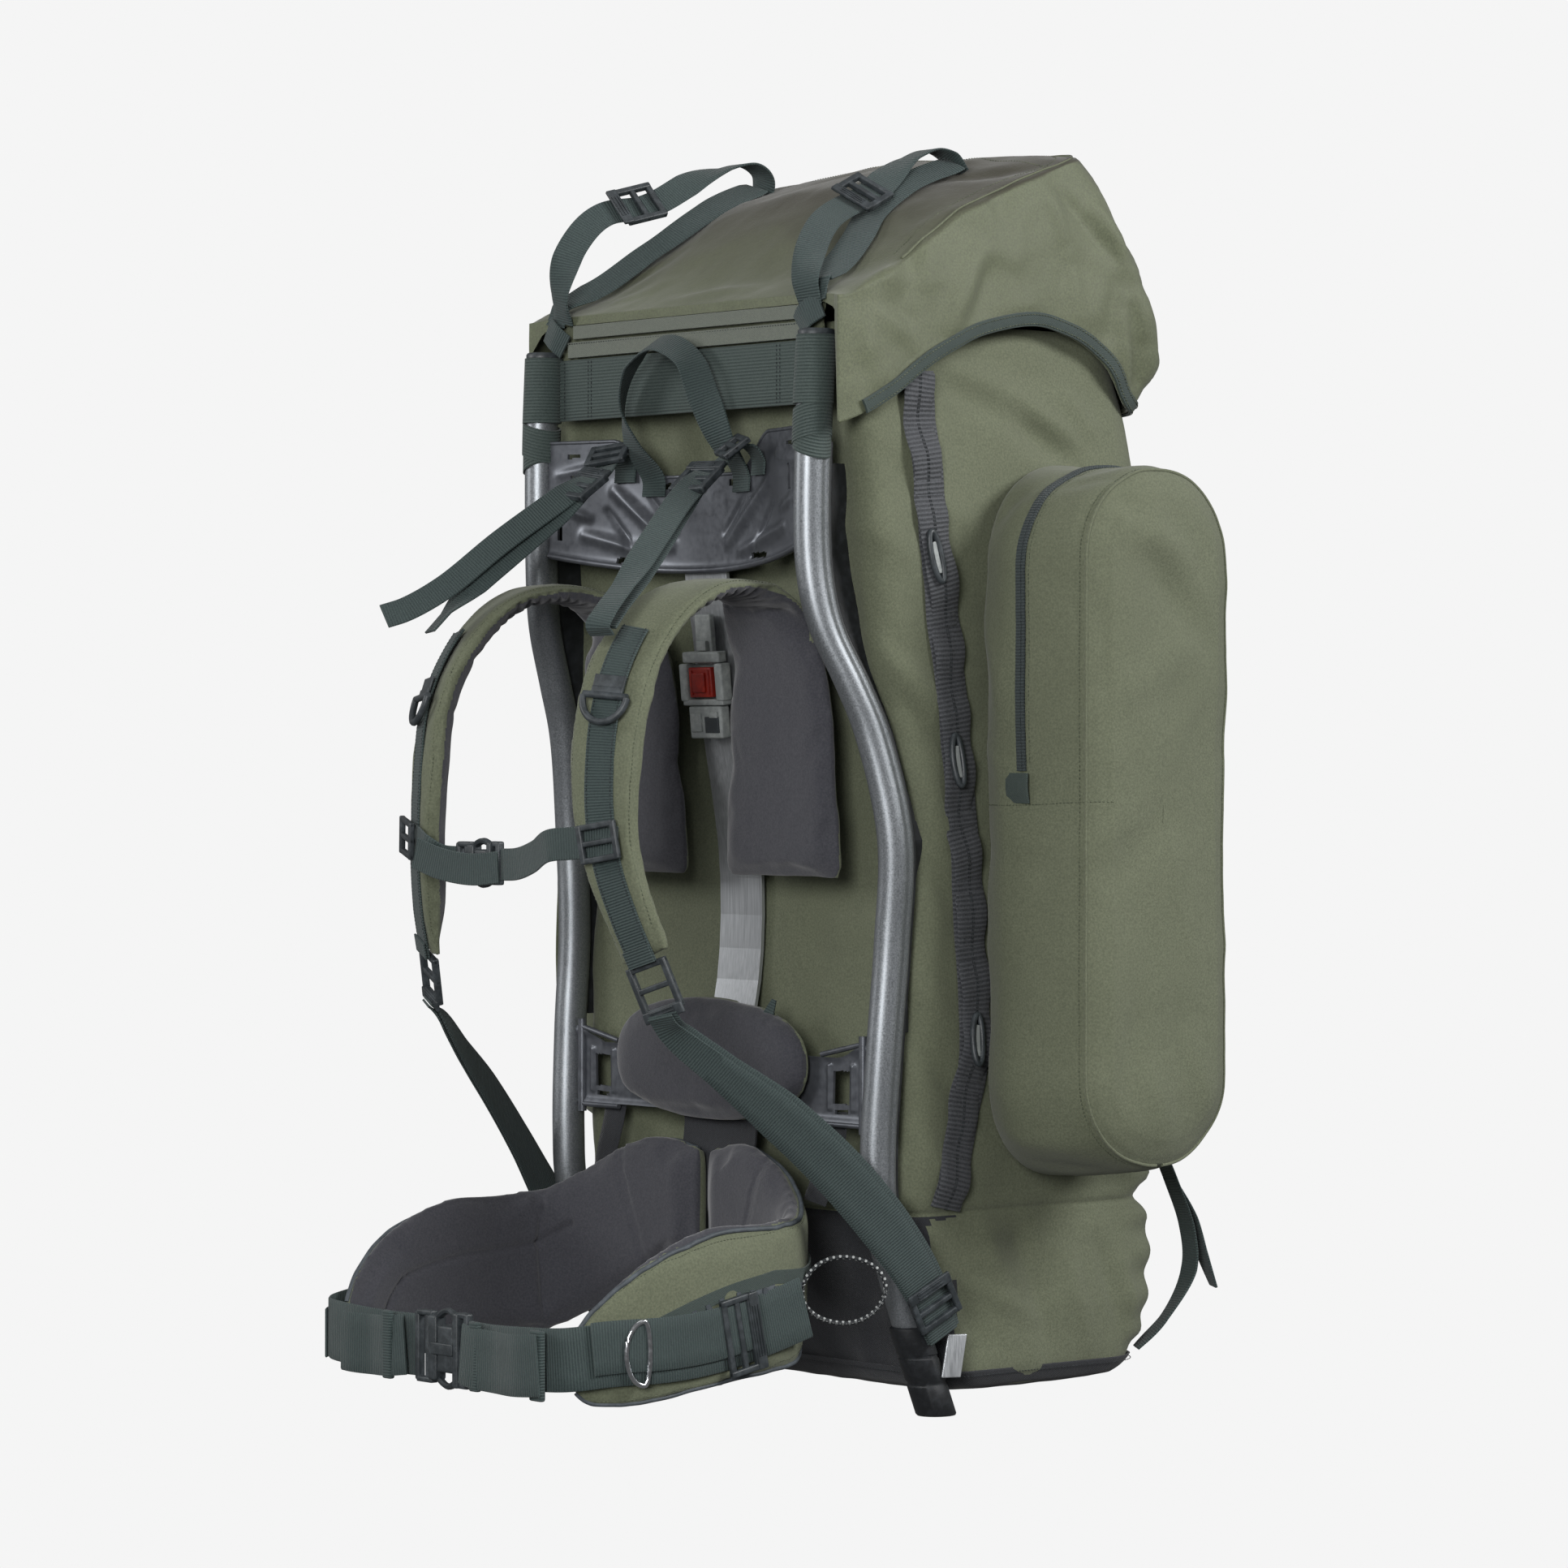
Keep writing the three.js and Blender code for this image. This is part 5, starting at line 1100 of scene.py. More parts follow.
LID_HEM = [(-14, 768), (0, 771), (40, 790), (90, 822), (140, 844), (191, 853), (232, 845),
           (268, 826), (300, 792), (345, 788)]
LID_TOP = [  # y, z, crown
    (0, 868, 0), (40, 884, 6), (80, 908, 18), (140, 941, 31), (200, 966, 26), (268, 991, 9),
    (300, 985, 4),
]
LID_FRONT = [(0, 6, 864), (46, 6, 864), (92, 6, 864), (138, 6, 864), (172, 5.4, 864),
             (190, 0.9, 858), (201, -6, 768)]
LID_ROWS = [  # up, side, rear
    (0, 0, 0), (0.22, 2, 45), (0.5, 1, 21), (0.8, -6, -18), (1, -15, -51),
]
LID_HALF, LID_FROM, LID_BACK, LID_CORNER = 207, 6, 324, 51
LID_COLUMNS = 300
LID_RIDGE = 60  # row of the lid's grid on its ridge
LID_SEAMS_FROM, LID_CROSS_SEAM = 60, 232  # y
LID_FOLD_SIDE = 204


def lid_height(x, y):
    """Height of the lid's top over a place in plan."""
    across = np.minimum(1, abs(x) / LID_HALF)
    row = smooth_table(LID_TOP, np.clip(np.ravel(y), 0, 300))
    edge, crown = row[:, 1].reshape(np.shape(y)), row[:, 2].reshape(np.shape(y))
    return edge + crown * (1 - across * across)


def lid_hem_line():
    """The lid's lower edge, round from the middle of its front."""
    plan = [(LID_HALF, y) for y in np.linspace(12, LID_BACK - LID_CORNER, 40)]
    for angle in np.linspace(0, math.pi / 2, 12)[1:]:
        plan.append((LID_HALF - LID_CORNER * (1 - math.cos(angle)),
                     LID_BACK - LID_CORNER + LID_CORNER * math.sin(angle)))
    plan += [((LID_HALF - LID_CORNER) * (1 - t), LID_BACK) for t in np.linspace(0, 1, 20)[1:]]
    plan = np.array(plan)
    z = smooth_table(LID_HEM, plan[:, 1])[:, 1]
    right = np.concatenate([LID_FRONT, np.c_[plan, z]])
    left = right[1:-1][::-1] * (-1, 1, 1)
    left[:, 0] += 13 * np.clip(1 - (left[:, 1] + 6) / 60, 0, 1) * (left[:, 0] < -185)
    left[:, 2] = np.maximum(left[:, 2], 838 - 0.9 * np.clip(left[:, 1] - 8, 0, 200))
    line = np.concatenate([right, left, right[:1]])
    return spaced(line, LID_COLUMNS + 1)[:-1]


# Folds of the lid: x, y, z to x, y, z, width, height; sides first
LID_FOLDS = side_strokes(LID_FOLD_SIDE, [
    (212, 966, 231, 910, 7, 3.2), (231, 910, 242, 862, 7, 2.8), (228, 962, 252, 936, 7, -3.4),
    (252, 936, 280, 908, 8, -3.8), (280, 908, 274, 846, 8, -3.2), (262, 950, 300, 900, 9, 3.6),
    (300, 900, 312, 850, 9, 4.0), (140, 908, 104, 846, 12, 4.0), (150, 900, 122, 850, 8, -3.0),
    (0, 906, 14, 836, 9, -3.2), (14, 850, 30, 800, 8, 3.0), (26, 866, 76, 826, 8, 3.2),
    (16, 890, 62, 880, 10, 2.6), (20, 866, 66, 850, 7, -2.6), (70, 930, 60, 868, 10, -2.6),
    (90, 940, 82, 880, 9, 2.4), (180, 950, 170, 900, 12, 1.8), (296, 870, 310, 800, 7, -6.0),
    (286, 880, 298, 812, 6, 4.0), (318, 880, 330, 812, 8, 4.4),
])
GATHERS = [(126, 30, 5), (138, 38, 8), (150, 30, 4), (162, 44, 9), (174, 34, 6), (186, 40, 9),
           (198, 34, 6), (210, 42, 9), (222, 36, 8), (234, 40, 10), (246, 34, 9), (256, 40, 12)]
TOP_FOLDS = [
    ((150, 40, 892), (90, 90, 940), 9, -3.0), ((146, 30, 886), (110, 60, 912), 7, 2.6),
    ((120, 26, 884), (60, 40, 906), 8, 2.4), ((-150, 44, 892), (-96, 84, 938), 9, -2.6),
    ((-120, 30, 886), (-50, 50, 912), 8, 2.2), ((-40, 20, 876), (60, 28, 884), 9, 2.2),
    ((176, 90, 920), (196, 150, 940), 9, 2.6), ((120, 160, 966), (180, 236, 984), 12, -2.6),
    ((-60, 150, 972), (-10, 230, 992), 16, -2.2), ((60, 140, 968), (100, 220, 988), 14, 2.0),
]


def make_lid():
    hem = lid_hem_line()
    ups = np.r_[np.linspace(0, 0.22, 14), np.linspace(0.24, 1, 46)]
    rows = smooth_table(LID_ROWS, ups)
    back = np.maximum(0, (hem[:, 1] - LID_FROM) / (LID_BACK - LID_FROM))
    wall = []
    for up, side, rear in rows:
        x = hem[:, 0] * (1 + side * back**0.5 / LID_HALF)
        y = hem[:, 1] + rear * back**3
        wall.append(np.stack([x, y, hem[:, 2] + (lid_height(x, y) - hem[:, 2]) * up], -1))
    edge = wall[-1]
    centre = (LID_FROM + LID_BACK) * 0.55
    top = []
    for share in np.linspace(0.975, 0.02, 44):
        x, y = edge[:, 0] * share, centre + (edge[:, 1] - centre) * share
        top.append(np.stack([x, y, lid_height(x, y)], -1))
    grid = np.array(wall + top)
    normals = grid_normals(grid)
    x, y, z = np.moveaxis(grid, -1, 0)
    height = 1.4 * stroked(grid, LID_FOLDS) + 1.5 * stroked(grid, TOP_FOLDS)
    for at, tall, lean in GATHERS:
        base = float(smooth_table(LID_HEM, np.array([float(at)]))[0, 1]) + 6
        rows = [(at, base, at + lean, base + tall, 3.6, 3.0),
                (at + 6, base, at + 6 + lean, base + tall, 3.2, -2.0)]
        height += stroked(grid, side_strokes(LID_FOLD_SIDE, rows))
    height += 2.4 * waves(grid, 80, 11) + 1.4 * waves(grid, 34, 12) + 0.35 * waves(grid, 14, 13)
    walls = (np.arange(len(grid)) < len(wall))[:, None]
    gathered = 1.6 * waves(grid, 21, 14, (1, 1, 0.3))
    height += walls * (gathered + 3.6 * creases(grid, 62, 15, (1, 1, 0.5)))
    height += (1 - walls) * 1.5 * creases(grid, 90, 16)
    rise = np.clip((z - hem[None, :, 2]) / 16, 0, 1)
    height *= rise * (0.25 + 0.75 * np.clip((y + 6) / 20, 0, 1))
    grid = grid + normals * height[..., None]
    for row in range(len(wall) - 5, len(wall) + 4):
        grid[row] = grid[row - 1] * 0.25 + grid[row] * 0.5 + grid[row + 1] * 0.25
    inner = grid[:7] - normals[:7] * 1.6
    whole = np.concatenate([inner[::-1], grid])
    piece("lid_cloth", made_mesh("lid_cloth", *capped(whole)), LID_OLIVE, "lid")
    return grid, normals


lid, lid_normals = make_lid()


def lid_trims():
    def twice(row):
        return np.concatenate([row, row])

    right, outward = twice(lid[0]), twice(lid_normals[0])
    low_corner = lid[0, : LID_COLUMNS // 2, 0] * (lid[0, : LID_COLUMNS // 2, 2] < 800)
    first = int(np.argmax(low_corner))
    cut = slice(first, LID_COLUMNS - first + 1)
    low = right[cut] + outward[cut] * 2.0
    up = unit(twice(lid[6])[cut] - right[cut])
    line = low + up * 5.2
    hem = route_along(line, outward[cut], 420)
    strap("lid_binding", [ribbon(hem, 11.5, 2.2, 0.6)], BINDING, "lid_hem")
    stitches("lid_binding_stitches",
             [hem.moved(1.9, 3.6).p[2:-2], hem.moved(1.9, -3.6).p[2:-2]], THREAD, slot="webbing")
    def round_rear(line):
        line = line[line[:, 1] > LID_SEAMS_FROM]
        return line[np.argsort(np.arctan2(line[:, 0], line[:, 1] - LID_SEAMS_FROM))]

    ridge = lid[LID_RIDGE] + lid_normals[LID_RIDGE] * 0.8
    back = round_rear(np.r_[ridge, ridge[:1]])
    fitting("lid_ridge_seam", [wire(spaced(back, 300), 1.1)], LID_OLIVE)
    inset = LID_RIDGE + 3
    seam = round_rear(lid[inset] + lid_normals[inset] * 0.5)
    cross = [(x, LID_CROSS_SEAM, float(lid_height(x, float(LID_CROSS_SEAM))) + 0.9)
             for x in np.linspace(-188, 188, 90)]
    cloth_at, cloth_out = lid.reshape(-1, 3), lid_normals.reshape(-1, 3)
    rows = [settled(line, cloth_at, cloth_out, 0.2, 1) for line in (seam[::2], np.array(cross))]
    stitches("lid_stitches", rows, THREAD)


lid_trims()


# Frame

TUBE_ROUTE = [  # x, y, z
    (194, 102, 0), (194, 70, 80), (194, 43, 160), (194.3, 40, 205), (197, 44, 289),
    (199, 50, 369), (203, 50, 449), (193, 36, 529), (186, 21, 569), (177, 4, 609),
    (173.5, -2, 632), (170.5, -6, 669), (171, -6, 759), (172, -2, 838),
]
TUBE_WIDE, TUBE_DEEP = 24, 28
TUBE_SIDES = 40
TUBE_TOP, TUBE_RIDGE = 838, 1.7
tube_line = curve_points(TUBE_ROUTE, 208)


def tube_at(z):
    """The middle of the right tube at a height."""
    return np.array([np.interp(z, tube_line[:, 2], tube_line[:, k]) for k in range(2)] + [z])


def tube_rings(heights, grow, ridge=0.0):
    """Level rings of the tube; the ridge runs down its outer rear side."""
    angles = round_angles(TUBE_SIDES)
    rise = ridge * bell(angles, 0.75, 0.17)
    rise -= 0.5 * ridge * bell(angles, 0.34, 0.12)
    rise -= 0.5 * ridge * bell(angles, 1.2, 0.12)
    rings = []
    for z, out in zip(heights, np.broadcast_to(grow, len(heights))):
        centre = tube_at(min(z, TUBE_TOP))
        rings.append(np.stack([
            centre[0] + (TUBE_WIDE / 2 + out + rise) * np.cos(angles),
            centre[1] + (TUBE_DEEP / 2 + out + rise) * np.sin(angles),
            np.full(TUBE_SIDES, float(z))], -1))
    return np.array(rings)


def make_tubes():
    rings = tube_rings(np.linspace(10, TUBE_TOP, 200), 0.0, TUBE_RIDGE)
    points, faces, _ = closed_rings(rings)
    mesh = made_mesh("tube_right", points, faces, sharp=60)
    mirror(piece("tube_right", mesh, PAINT, "side_tube_right"))
    top = [838.3, 838.3, 841, 842.4, 842.8]
    mirror(fitting("tube_plug_right", [closed_rings(tube_rings(top, [-2, 1.5, 1.5, 0.4, -1.6]))],
                   BLACK, "tube_cap_right"))
    heights = [0.4, 0.6, 2, 24, 25.2, 27.5, 29, 46, 47, 49, 50, 68, 70.5, 71.6]
    grows = [0.4, 1.8, 2.8, 2.8, 1.9, 1.9, 2.8, 2.8, 1.9, 1.9, 2.8, 2.8, 2.2, 0.7]
    shoe = closed_rings(tube_rings(heights, grows))
    mirror(fitting("tube_shoe_right", [shoe], TUBE_BLACK, "foot_sleeve_right"))
    trim = np.array([tube_at(z) + (5, 13.6, 0) for z in np.linspace(76, 756, 160)])
    mirror(fitting("tube_trim_right", [wire(trim, 2.8)], TUBE_BLACK))


def dress(node, material):
    """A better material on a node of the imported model."""
    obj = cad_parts[node]
    if not obj.material_slots:
        obj.data.materials.append(material)
    for one in obj.material_slots:
        one.material = material


make_tubes()
dress("stay_bar", ALUMINIUM)
dress("keder_strip_right", TUBE_BLACK)
dress("keder_strip_left", TUBE_BLACK)
dress("belt_tab", CORDURA)

# Pressed plates: ribs are x, z, x, z, width, height; slots are x, z, wide, tall
YOKE_RIBS = [(36, 682, 97, 729, 5.5, 5.0), (53, 675, 126, 693, 5.0, 4.4),
             (70, 672, 104, 712, 3.0, -2.6), (30, 690, 60, 722, 3.0, -2.2),
             (120, 706, 146, 716, 4.0, 2.4), (112, 748, 150, 742, 4.0, 2.4)]
YOKE_SLOTS = [(48, 730, 22, 4.5), (82, 671.5, 26, 4.5), (136, 731, 5, 20), (148, 700, 4.5, 22),
              (136, 757, 12, 3.6)]
BOLT_PROFILE = [(6.4, 23.4), (6.4, 22), (5.6, 20.8), (3, 20.2), (2.4, 21.4), (0.4, 21.6)]
DIAMOND = [(0, 727), (15, 716), (10, 700), (-10, 700), (-15, 716)]


def plate_piece(name, point, columns, rows, relief, slots, thick, slot_node):
    """A pressed sheet with its holes cut out of a fine grid of faces."""
    u = np.linspace(-1, 1, columns)
    v = np.linspace(0, 1, rows)
    grid = np.array([[point(a, b) for a in u] for b in v])
    height = relief(grid)
    front = grid - np.array((0, 1, 0)) * height[..., None]
    back = front + (0, thick, 0)
    middle = (grid[:-1, :-1] + grid[1:, 1:]) / 2
    keep = np.ones(middle.shape[:2], bool)
    for x, z, wide, tall in slots:
        inside = (abs(abs(middle[..., 0]) - x) < wide / 2) & (abs(middle[..., 2] - z) < tall / 2)
        keep &= ~inside
    count = columns * rows
    faces = []
    for i, j in zip(*np.nonzero(keep)):
        quad = [i * columns + j, i * columns + j + 1, (i + 1) * columns + j + 1,
                (i + 1) * columns + j]
        faces.append(quad)
        faces.append([k + count for k in quad[::-1]])
        for side, (di, dj) in enumerate(((-1, 0), (0, 1), (1, 0), (0, -1))):
            ni, nj = i + di, j + dj
            edge = not (0 <= ni < rows - 1 and 0 <= nj < columns - 1) or not keep[ni, nj]
            if edge:
                a, b = quad[side], quad[(side + 1) % 4]
                faces.append([b, a, a + count, b + count])
    points = np.concatenate([front.reshape(-1, 3), back.reshape(-1, 3)])
    return piece(name, made_mesh(name, points, faces, sharp=55), STEEL, slot_node)


def inside_tubes(z):
    """Half the clear width between the tubes at a height."""
    return tube_at(z)[0] - TUBE_WIDE / 2 - 0.4


def yoke_point(u, v):
    """Place on the yoke plate; u runs across from -1 to 1 and v up from 0 to 1."""
    rise = eased(ramp(abs(u), 0.32, 0.62))
    low = 661 + 15 * u * u
    z = low + (737 + 31 * rise - low) * v
    return np.array((u * inside_tubes(z), -8 + 32 * (1 - u * u), z))


def mirrored_strokes(grid, ribs):
    """Strokes on both halves of an upright plate."""
    flat = grid * (1, 0, 1)
    strokes = []
    for x1, z1, x2, z2, width, rise in ribs:
        for s in (1, -1):
            strokes.append(((s * x1, 0, z1), (s * x2, 0, z2), width, rise))
    return stroked(flat, strokes)


def yoke_relief(grid):
    """Ribs, rolled edge and diamond recess of the yoke plate."""
    height = mirrored_strokes(grid, YOKE_RIBS)
    x, z = grid[..., 0], grid[..., 2]
    inside = np.ones(x.shape)
    for (x1, z1), (x2, z2) in zip(DIAMOND, DIAMOND[1:] + DIAMOND[:1]):
        side = ((z2 - z1) * (x - x1) - (x2 - x1) * (z - z1)) / math.hypot(x2 - x1, z2 - z1)
        inside = np.minimum(inside, np.clip((-side + 1) / 2, 0, 1))
    low = 661 + 15 * (x / 158) ** 2
    return height - 1.8 * inside + 2.4 * bell(z, low, 3.5)


def make_plates():
    plate_piece("yoke_sheet", yoke_point, 300, 72, yoke_relief, YOKE_SLOTS, 2.2, "yoke_plate")
    low = [yoke_point(u, 0) + (0, -0.4, 0.5) for u in np.linspace(-0.99, 0.99, 90)]
    high = [yoke_point(u, 1) + (0, 0.6, 0) for u in np.linspace(-0.99, 0.99, 90)]
    fitting("yoke_rolled_edges", [wire(low, 2.6), wire(high, 1.6)], STEEL)
    bolt = [[(r * math.cos(a), y, 729 + r * math.sin(a)) for a in round_angles(28)]
            for r, y in BOLT_PROFILE]
    bolt = [closed_rings(np.array(bolt))]
    fitting("yoke_bolt_head", bolt, CHROME, "yoke_bolt")

    def lumbar_point(u, v):
        flare = eased(ramp(abs(u), 0.78, 1))
        z = 229 + (50 + 12 * flare) * v
        return np.array((u * inside_tubes(z), 42.0, z))

    def lumbar_relief(grid):
        x, z = abs(grid[..., 0]), grid[..., 2]
        edge = bell(z, 229, 3) + bell(z - (x > 150) * 6, 281, 4)
        frame_in = bell(abs(x - 150), 14, 2.6) * (z > 238) * (z < 274)
        return 2.2 * edge + 1.8 * frame_in

    slots = [(150, 256, 20, 26), (150, 237, 16, 3.6)]
    plate_piece("lumbar_sheet", lumbar_point, 280, 44, lumbar_relief, slots, 2.2, "lumbar_plate")
    rods = []
    for side in (-1, 1):
        rods.append(wire([(side * 177, 41, z) for z in np.linspace(221, 297, 12)], 3.6))
        across = np.linspace(128, 176, 8)
        rods.append(wire([(side * x, 40.6, 227) for x in across], 2.2))
        rods.append(wire([(side * x, 40.6, 281 + (x - 128) * 0.2) for x in across], 2.2))
    fitting("lumbar_rods", rods, STEEL)


make_plates()

ADJUSTER = seat((0, 41.5, 572), (1, 0, 0), (0, -0.098, 0.995), (0, -0.995, -0.098))


def make_adjuster():
    grey = boxes([
        ((0, 36, 10), (20, 40, 5), 1.6), ((0, 22, 13), (46, 9, 9), 2),
        ((0, 31, 13.4), (12, 8, 5), 1), ((-22, 2, 13.5), (9, 30, 11), 2),
        ((22, 2, 13.5), (9, 30, 11), 2), ((0, -14, 13), (50, 5, 10), 1.6),
        ((0, 2, 9), (36, 28, 2.6), 0.8), ((0, -30, 12), (40, 26, 10), 2.2),
        ((-10.5, -30, 17.8), (13, 15, 2), 0.8),
        ((12, -24, 17.8), (10, 5, 2), 0.8),
    ])
    fitting("adjuster_block", seated(grey, ADJUSTER), GREY, "adjuster_housing")
    dark = [rounded_box((9, -32, 17.4), (17, 13, 1.2), 0.5)]
    fitting("adjuster_window", seated(dark, ADJUSTER), BLACK)
    red = boxes([((-2, 2, 15), (28, 24, 5.6), 1.6), ((-2, 2, 18.6), (15, 16, 3.4), 1.4),
                 ((-12.5, 2, 18), (3, 20, 2), 0.8), ((8.5, 2, 18), (3, 20, 2), 0.8)])
    fitting("latch_slide", seated(red, ADJUSTER), RED, "adjuster_latch", body="latch")


make_adjuster()


# Padded pieces

def evaluated(obj):
    """An object's vertices and mesh with its modifiers at work."""
    graph = bpy.context.evaluated_depsgraph_get()
    mesh = bpy.data.meshes.new_from_object(obj.evaluated_get(graph), depsgraph=graph)
    return vectors(mesh.vertices, "co"), mesh


def vectors(layer, name):
    flat = np.empty(len(layer) * 3, np.float32)
    layer.foreach_get(name, flat)
    return flat.reshape(-1, 3)


CLOTH_FRAMES = 20
CLOTH_STIFFNESS = 12


def swollen(name, points, faces, shrink=2.0, cap=4.0, voxel=5.0, pressure=4.0):
    """Vertices and faces of padded cloth: an even remesh of a slightly smaller form,
    blown up by a cloth simulation with capped movement, then subdivided once."""
    scene = bpy.context.scene
    pad = new_object(name, made_mesh(name, points, faces))
    even = pad.modifiers.new("even", "REMESH")
    even.mode, even.voxel_size = "VOXEL", voxel * MM
    start, mesh = evaluated(pad)
    pad.modifiers.clear()
    pad.data = mesh
    start = start - vectors(mesh.vertex_normals, "vector") * shrink * MM
    mesh.vertices.foreach_set("co", start.ravel())
    blown = pad.modifiers.new("cloth", "CLOTH")
    fabric = blown.settings
    fabric.quality, fabric.use_pressure, fabric.uniform_pressure_force = 4, True, pressure
    fabric.effector_weights.gravity = 0
    fabric.tension_stiffness = fabric.compression_stiffness = CLOTH_STIFFNESS
    blown.point_cache.frame_start, blown.point_cache.frame_end = 1, CLOTH_FRAMES
    for number in range(1, CLOTH_FRAMES + 1):
        scene.frame_set(number)
    move = evaluated(pad)[0] - start
    far = np.linalg.norm(move, axis=1, keepdims=True) + TINY
    start = start + move * np.minimum(1, cap * MM / far)
    pad.modifiers.clear()
    scene.frame_set(1)
    mesh.vertices.foreach_set("co", start.ravel())
    pad.modifiers.new("finer", "SUBSURF").levels = 1
    end, final = evaluated(pad)
    quads = [list(p.vertices) for p in final.polygons]
    bpy.data.objects.remove(pad)
    return end / MM - (0, SHIFT, 0), quads


def nearest_frame(points, line):
    """For each point, the index of the nearest place of a line."""
    out = np.empty(len(points), int)
    for n in range(0, len(points), 4000):
        away = points[n : n + 4000, None] - line[None]
        out[n : n + 4000] = np.argmin((away**2).sum(-1), 1)
    return out


def vertex_normals(points, faces):
    """Normals at the points of a mesh of quads."""
    quads = np.array([f for f in faces if len(f) == 4])
    cross = np.cross(points[quads[:, 2]] - points[quads[:, 0]],
                     points[quads[:, 3]] - points[quads[:, 1]])
    normals = np.zeros_like(points)
    for k in range(4):
        np.add.at(normals, quads[:, k], cross)
    return unit(normals, TINY)


def pad_piece(name, points, faces, outer, fill, *nodes, slot=None):
    """A padded piece in pad cloth, and in olive cloth where outer."""
    mesh = made_mesh(name, points, faces)
    pad = piece(name, mesh, [PAD, OLIVE], *nodes, slot=slot)
    marks = [int(outer[list(p.vertices)].mean() > 0.5) for p in mesh.polygons]
    mesh.polygons.foreach_set("material_index", marks)
    return pad


HARNESS_ROUTE = [  # x, y, z, turn, lift, wide, thick
    (94, 29, 414, 180, 0, 0.94, 0.6), (94, 29, 424, 180, 0, 1, 1), (94, 29, 470, 180, 0, 1, 1),
    (96, 29, 505, 180, 0, 0.92, 1), (94.3, 28, 540, 180, 0, 0.93, 1),
    (95, 26, 575, 180, 4, 0.86, 1), (94, 20, 607, 180, 25, 0.78, 1),
    (102, 6, 633, 180, 60, 0.6, 1), (107, -24, 645, 180, 88, 0.5, 1),
    (109, -64, 645, 10, 85, 0.48, 1), (109, -104, 626, 18, 45, 0.48, 1),
    (110, -137, 590, 23, 22, 0.49, 1), (112, -155, 549, 23, 8, 0.5, 1),
    (112, -161, 505, 23, 0, 0.5, 1), (114, -162, 465, 23, 0, 0.47, 1),
    (120, -158, 427, 23, -8, 0.43, 1), (129, -149, 390, 23, -14, 0.38, 0.95),
    (137, -139, 358, 23, -18, 0.33, 0.75),
]
PAD_WIDE, PAD_THICK = 146, 17
SEAM_INSET = 7.5
SHOULDER_RUN, SHOULDER_WIDE = 300, 48  # where the strap bends over the shoulder, in mm of run
GATHER_PITCH = 11
STRAP_FROM = 60  # frame where the back pad ends and the strap begins
SEWN_FRAMES = slice(76, 164)
harness = Route(HARNESS_ROUTE, 170)
WEB_FROM = 106


def make_harness():
    angles = round_angles(24)
    across = squared(np.cos(angles), 0.5)
    out = squared(np.sin(angles), 0.75)
    rings = []
    for p, a, n, (wide, thick) in zip(harness.p, harness.a, harness.n, harness.extra):
        rings.append(p + np.outer(across * PAD_WIDE * wide / 2, a)
                     + np.outer(out * PAD_THICK * thick / 2, n))
    points, faces, _ = closed_rings(np.array(rings))
    points, faces = swollen("harness_right", points, faces, 2.2, 4.0)
    near = nearest_frame(points, harness.p)
    off = points - harness.p[near]
    lift = (off * harness.n[near]).sum(1)
    aside = (off * harness.a[near]).sum(1)
    half = harness.extra[near, 0] * PAD_WIDE / 2
    run = harness.run[near] + (off * harness.t[near]).sum(1)
    normals = vertex_normals(points, faces)
    shoulder = bell(run, SHOULDER_RUN, SHOULDER_WIDE)
    gather = np.sin(run * 2 * np.pi / GATHER_PITCH + 1.6 * np.sin(aside / 9.0))
    move = -shoulder * (lift < -1) * (0.9 + 1.6 * gather) * np.clip((half - abs(aside)) / 8, 0, 1)
    strap_side = run > harness.run[STRAP_FROM]
    seam = bell(half - abs(aside), SEAM_INSET, 1.8)
    move -= 0.9 * seam * (lift > 1) * strap_side
    scaled = points.reshape(-1, 1, 3)
    move = move + 0.7 * waves(scaled, 45, 21)[:, 0] + 0.3 * waves(scaled, 16, 22)[:, 0]
    points = points + normals * move[:, None]
    outer = (lift > np.where(strap_side, -3.0, 1.0)).astype(float)
    pad = pad_piece("harness_right", points, faces, outer, 0.7, "harness_pad_right")
    mirror(pad)
    rows = []
    for s in (-1, 1):
        inset = s * (harness.extra[:, 0] * PAD_WIDE / 2 - SEAM_INSET)
        row = harness.moved(PAD_THICK / 2 * harness.extra[:, 1], inset).p[SEWN_FRAMES]
        rows.append(settled(row, points, vertex_normals(points, faces), 0.3))
    mirror(stitches("harness_stitches_right", rows, THREAD))


make_harness()
face = harness.moved(PAD_THICK / 2 * harness.extra[:, 1] + 1.9).part(WEB_FROM)


D_RING_AT, SLIDER_AT = 560, 449  # heights on the right strap


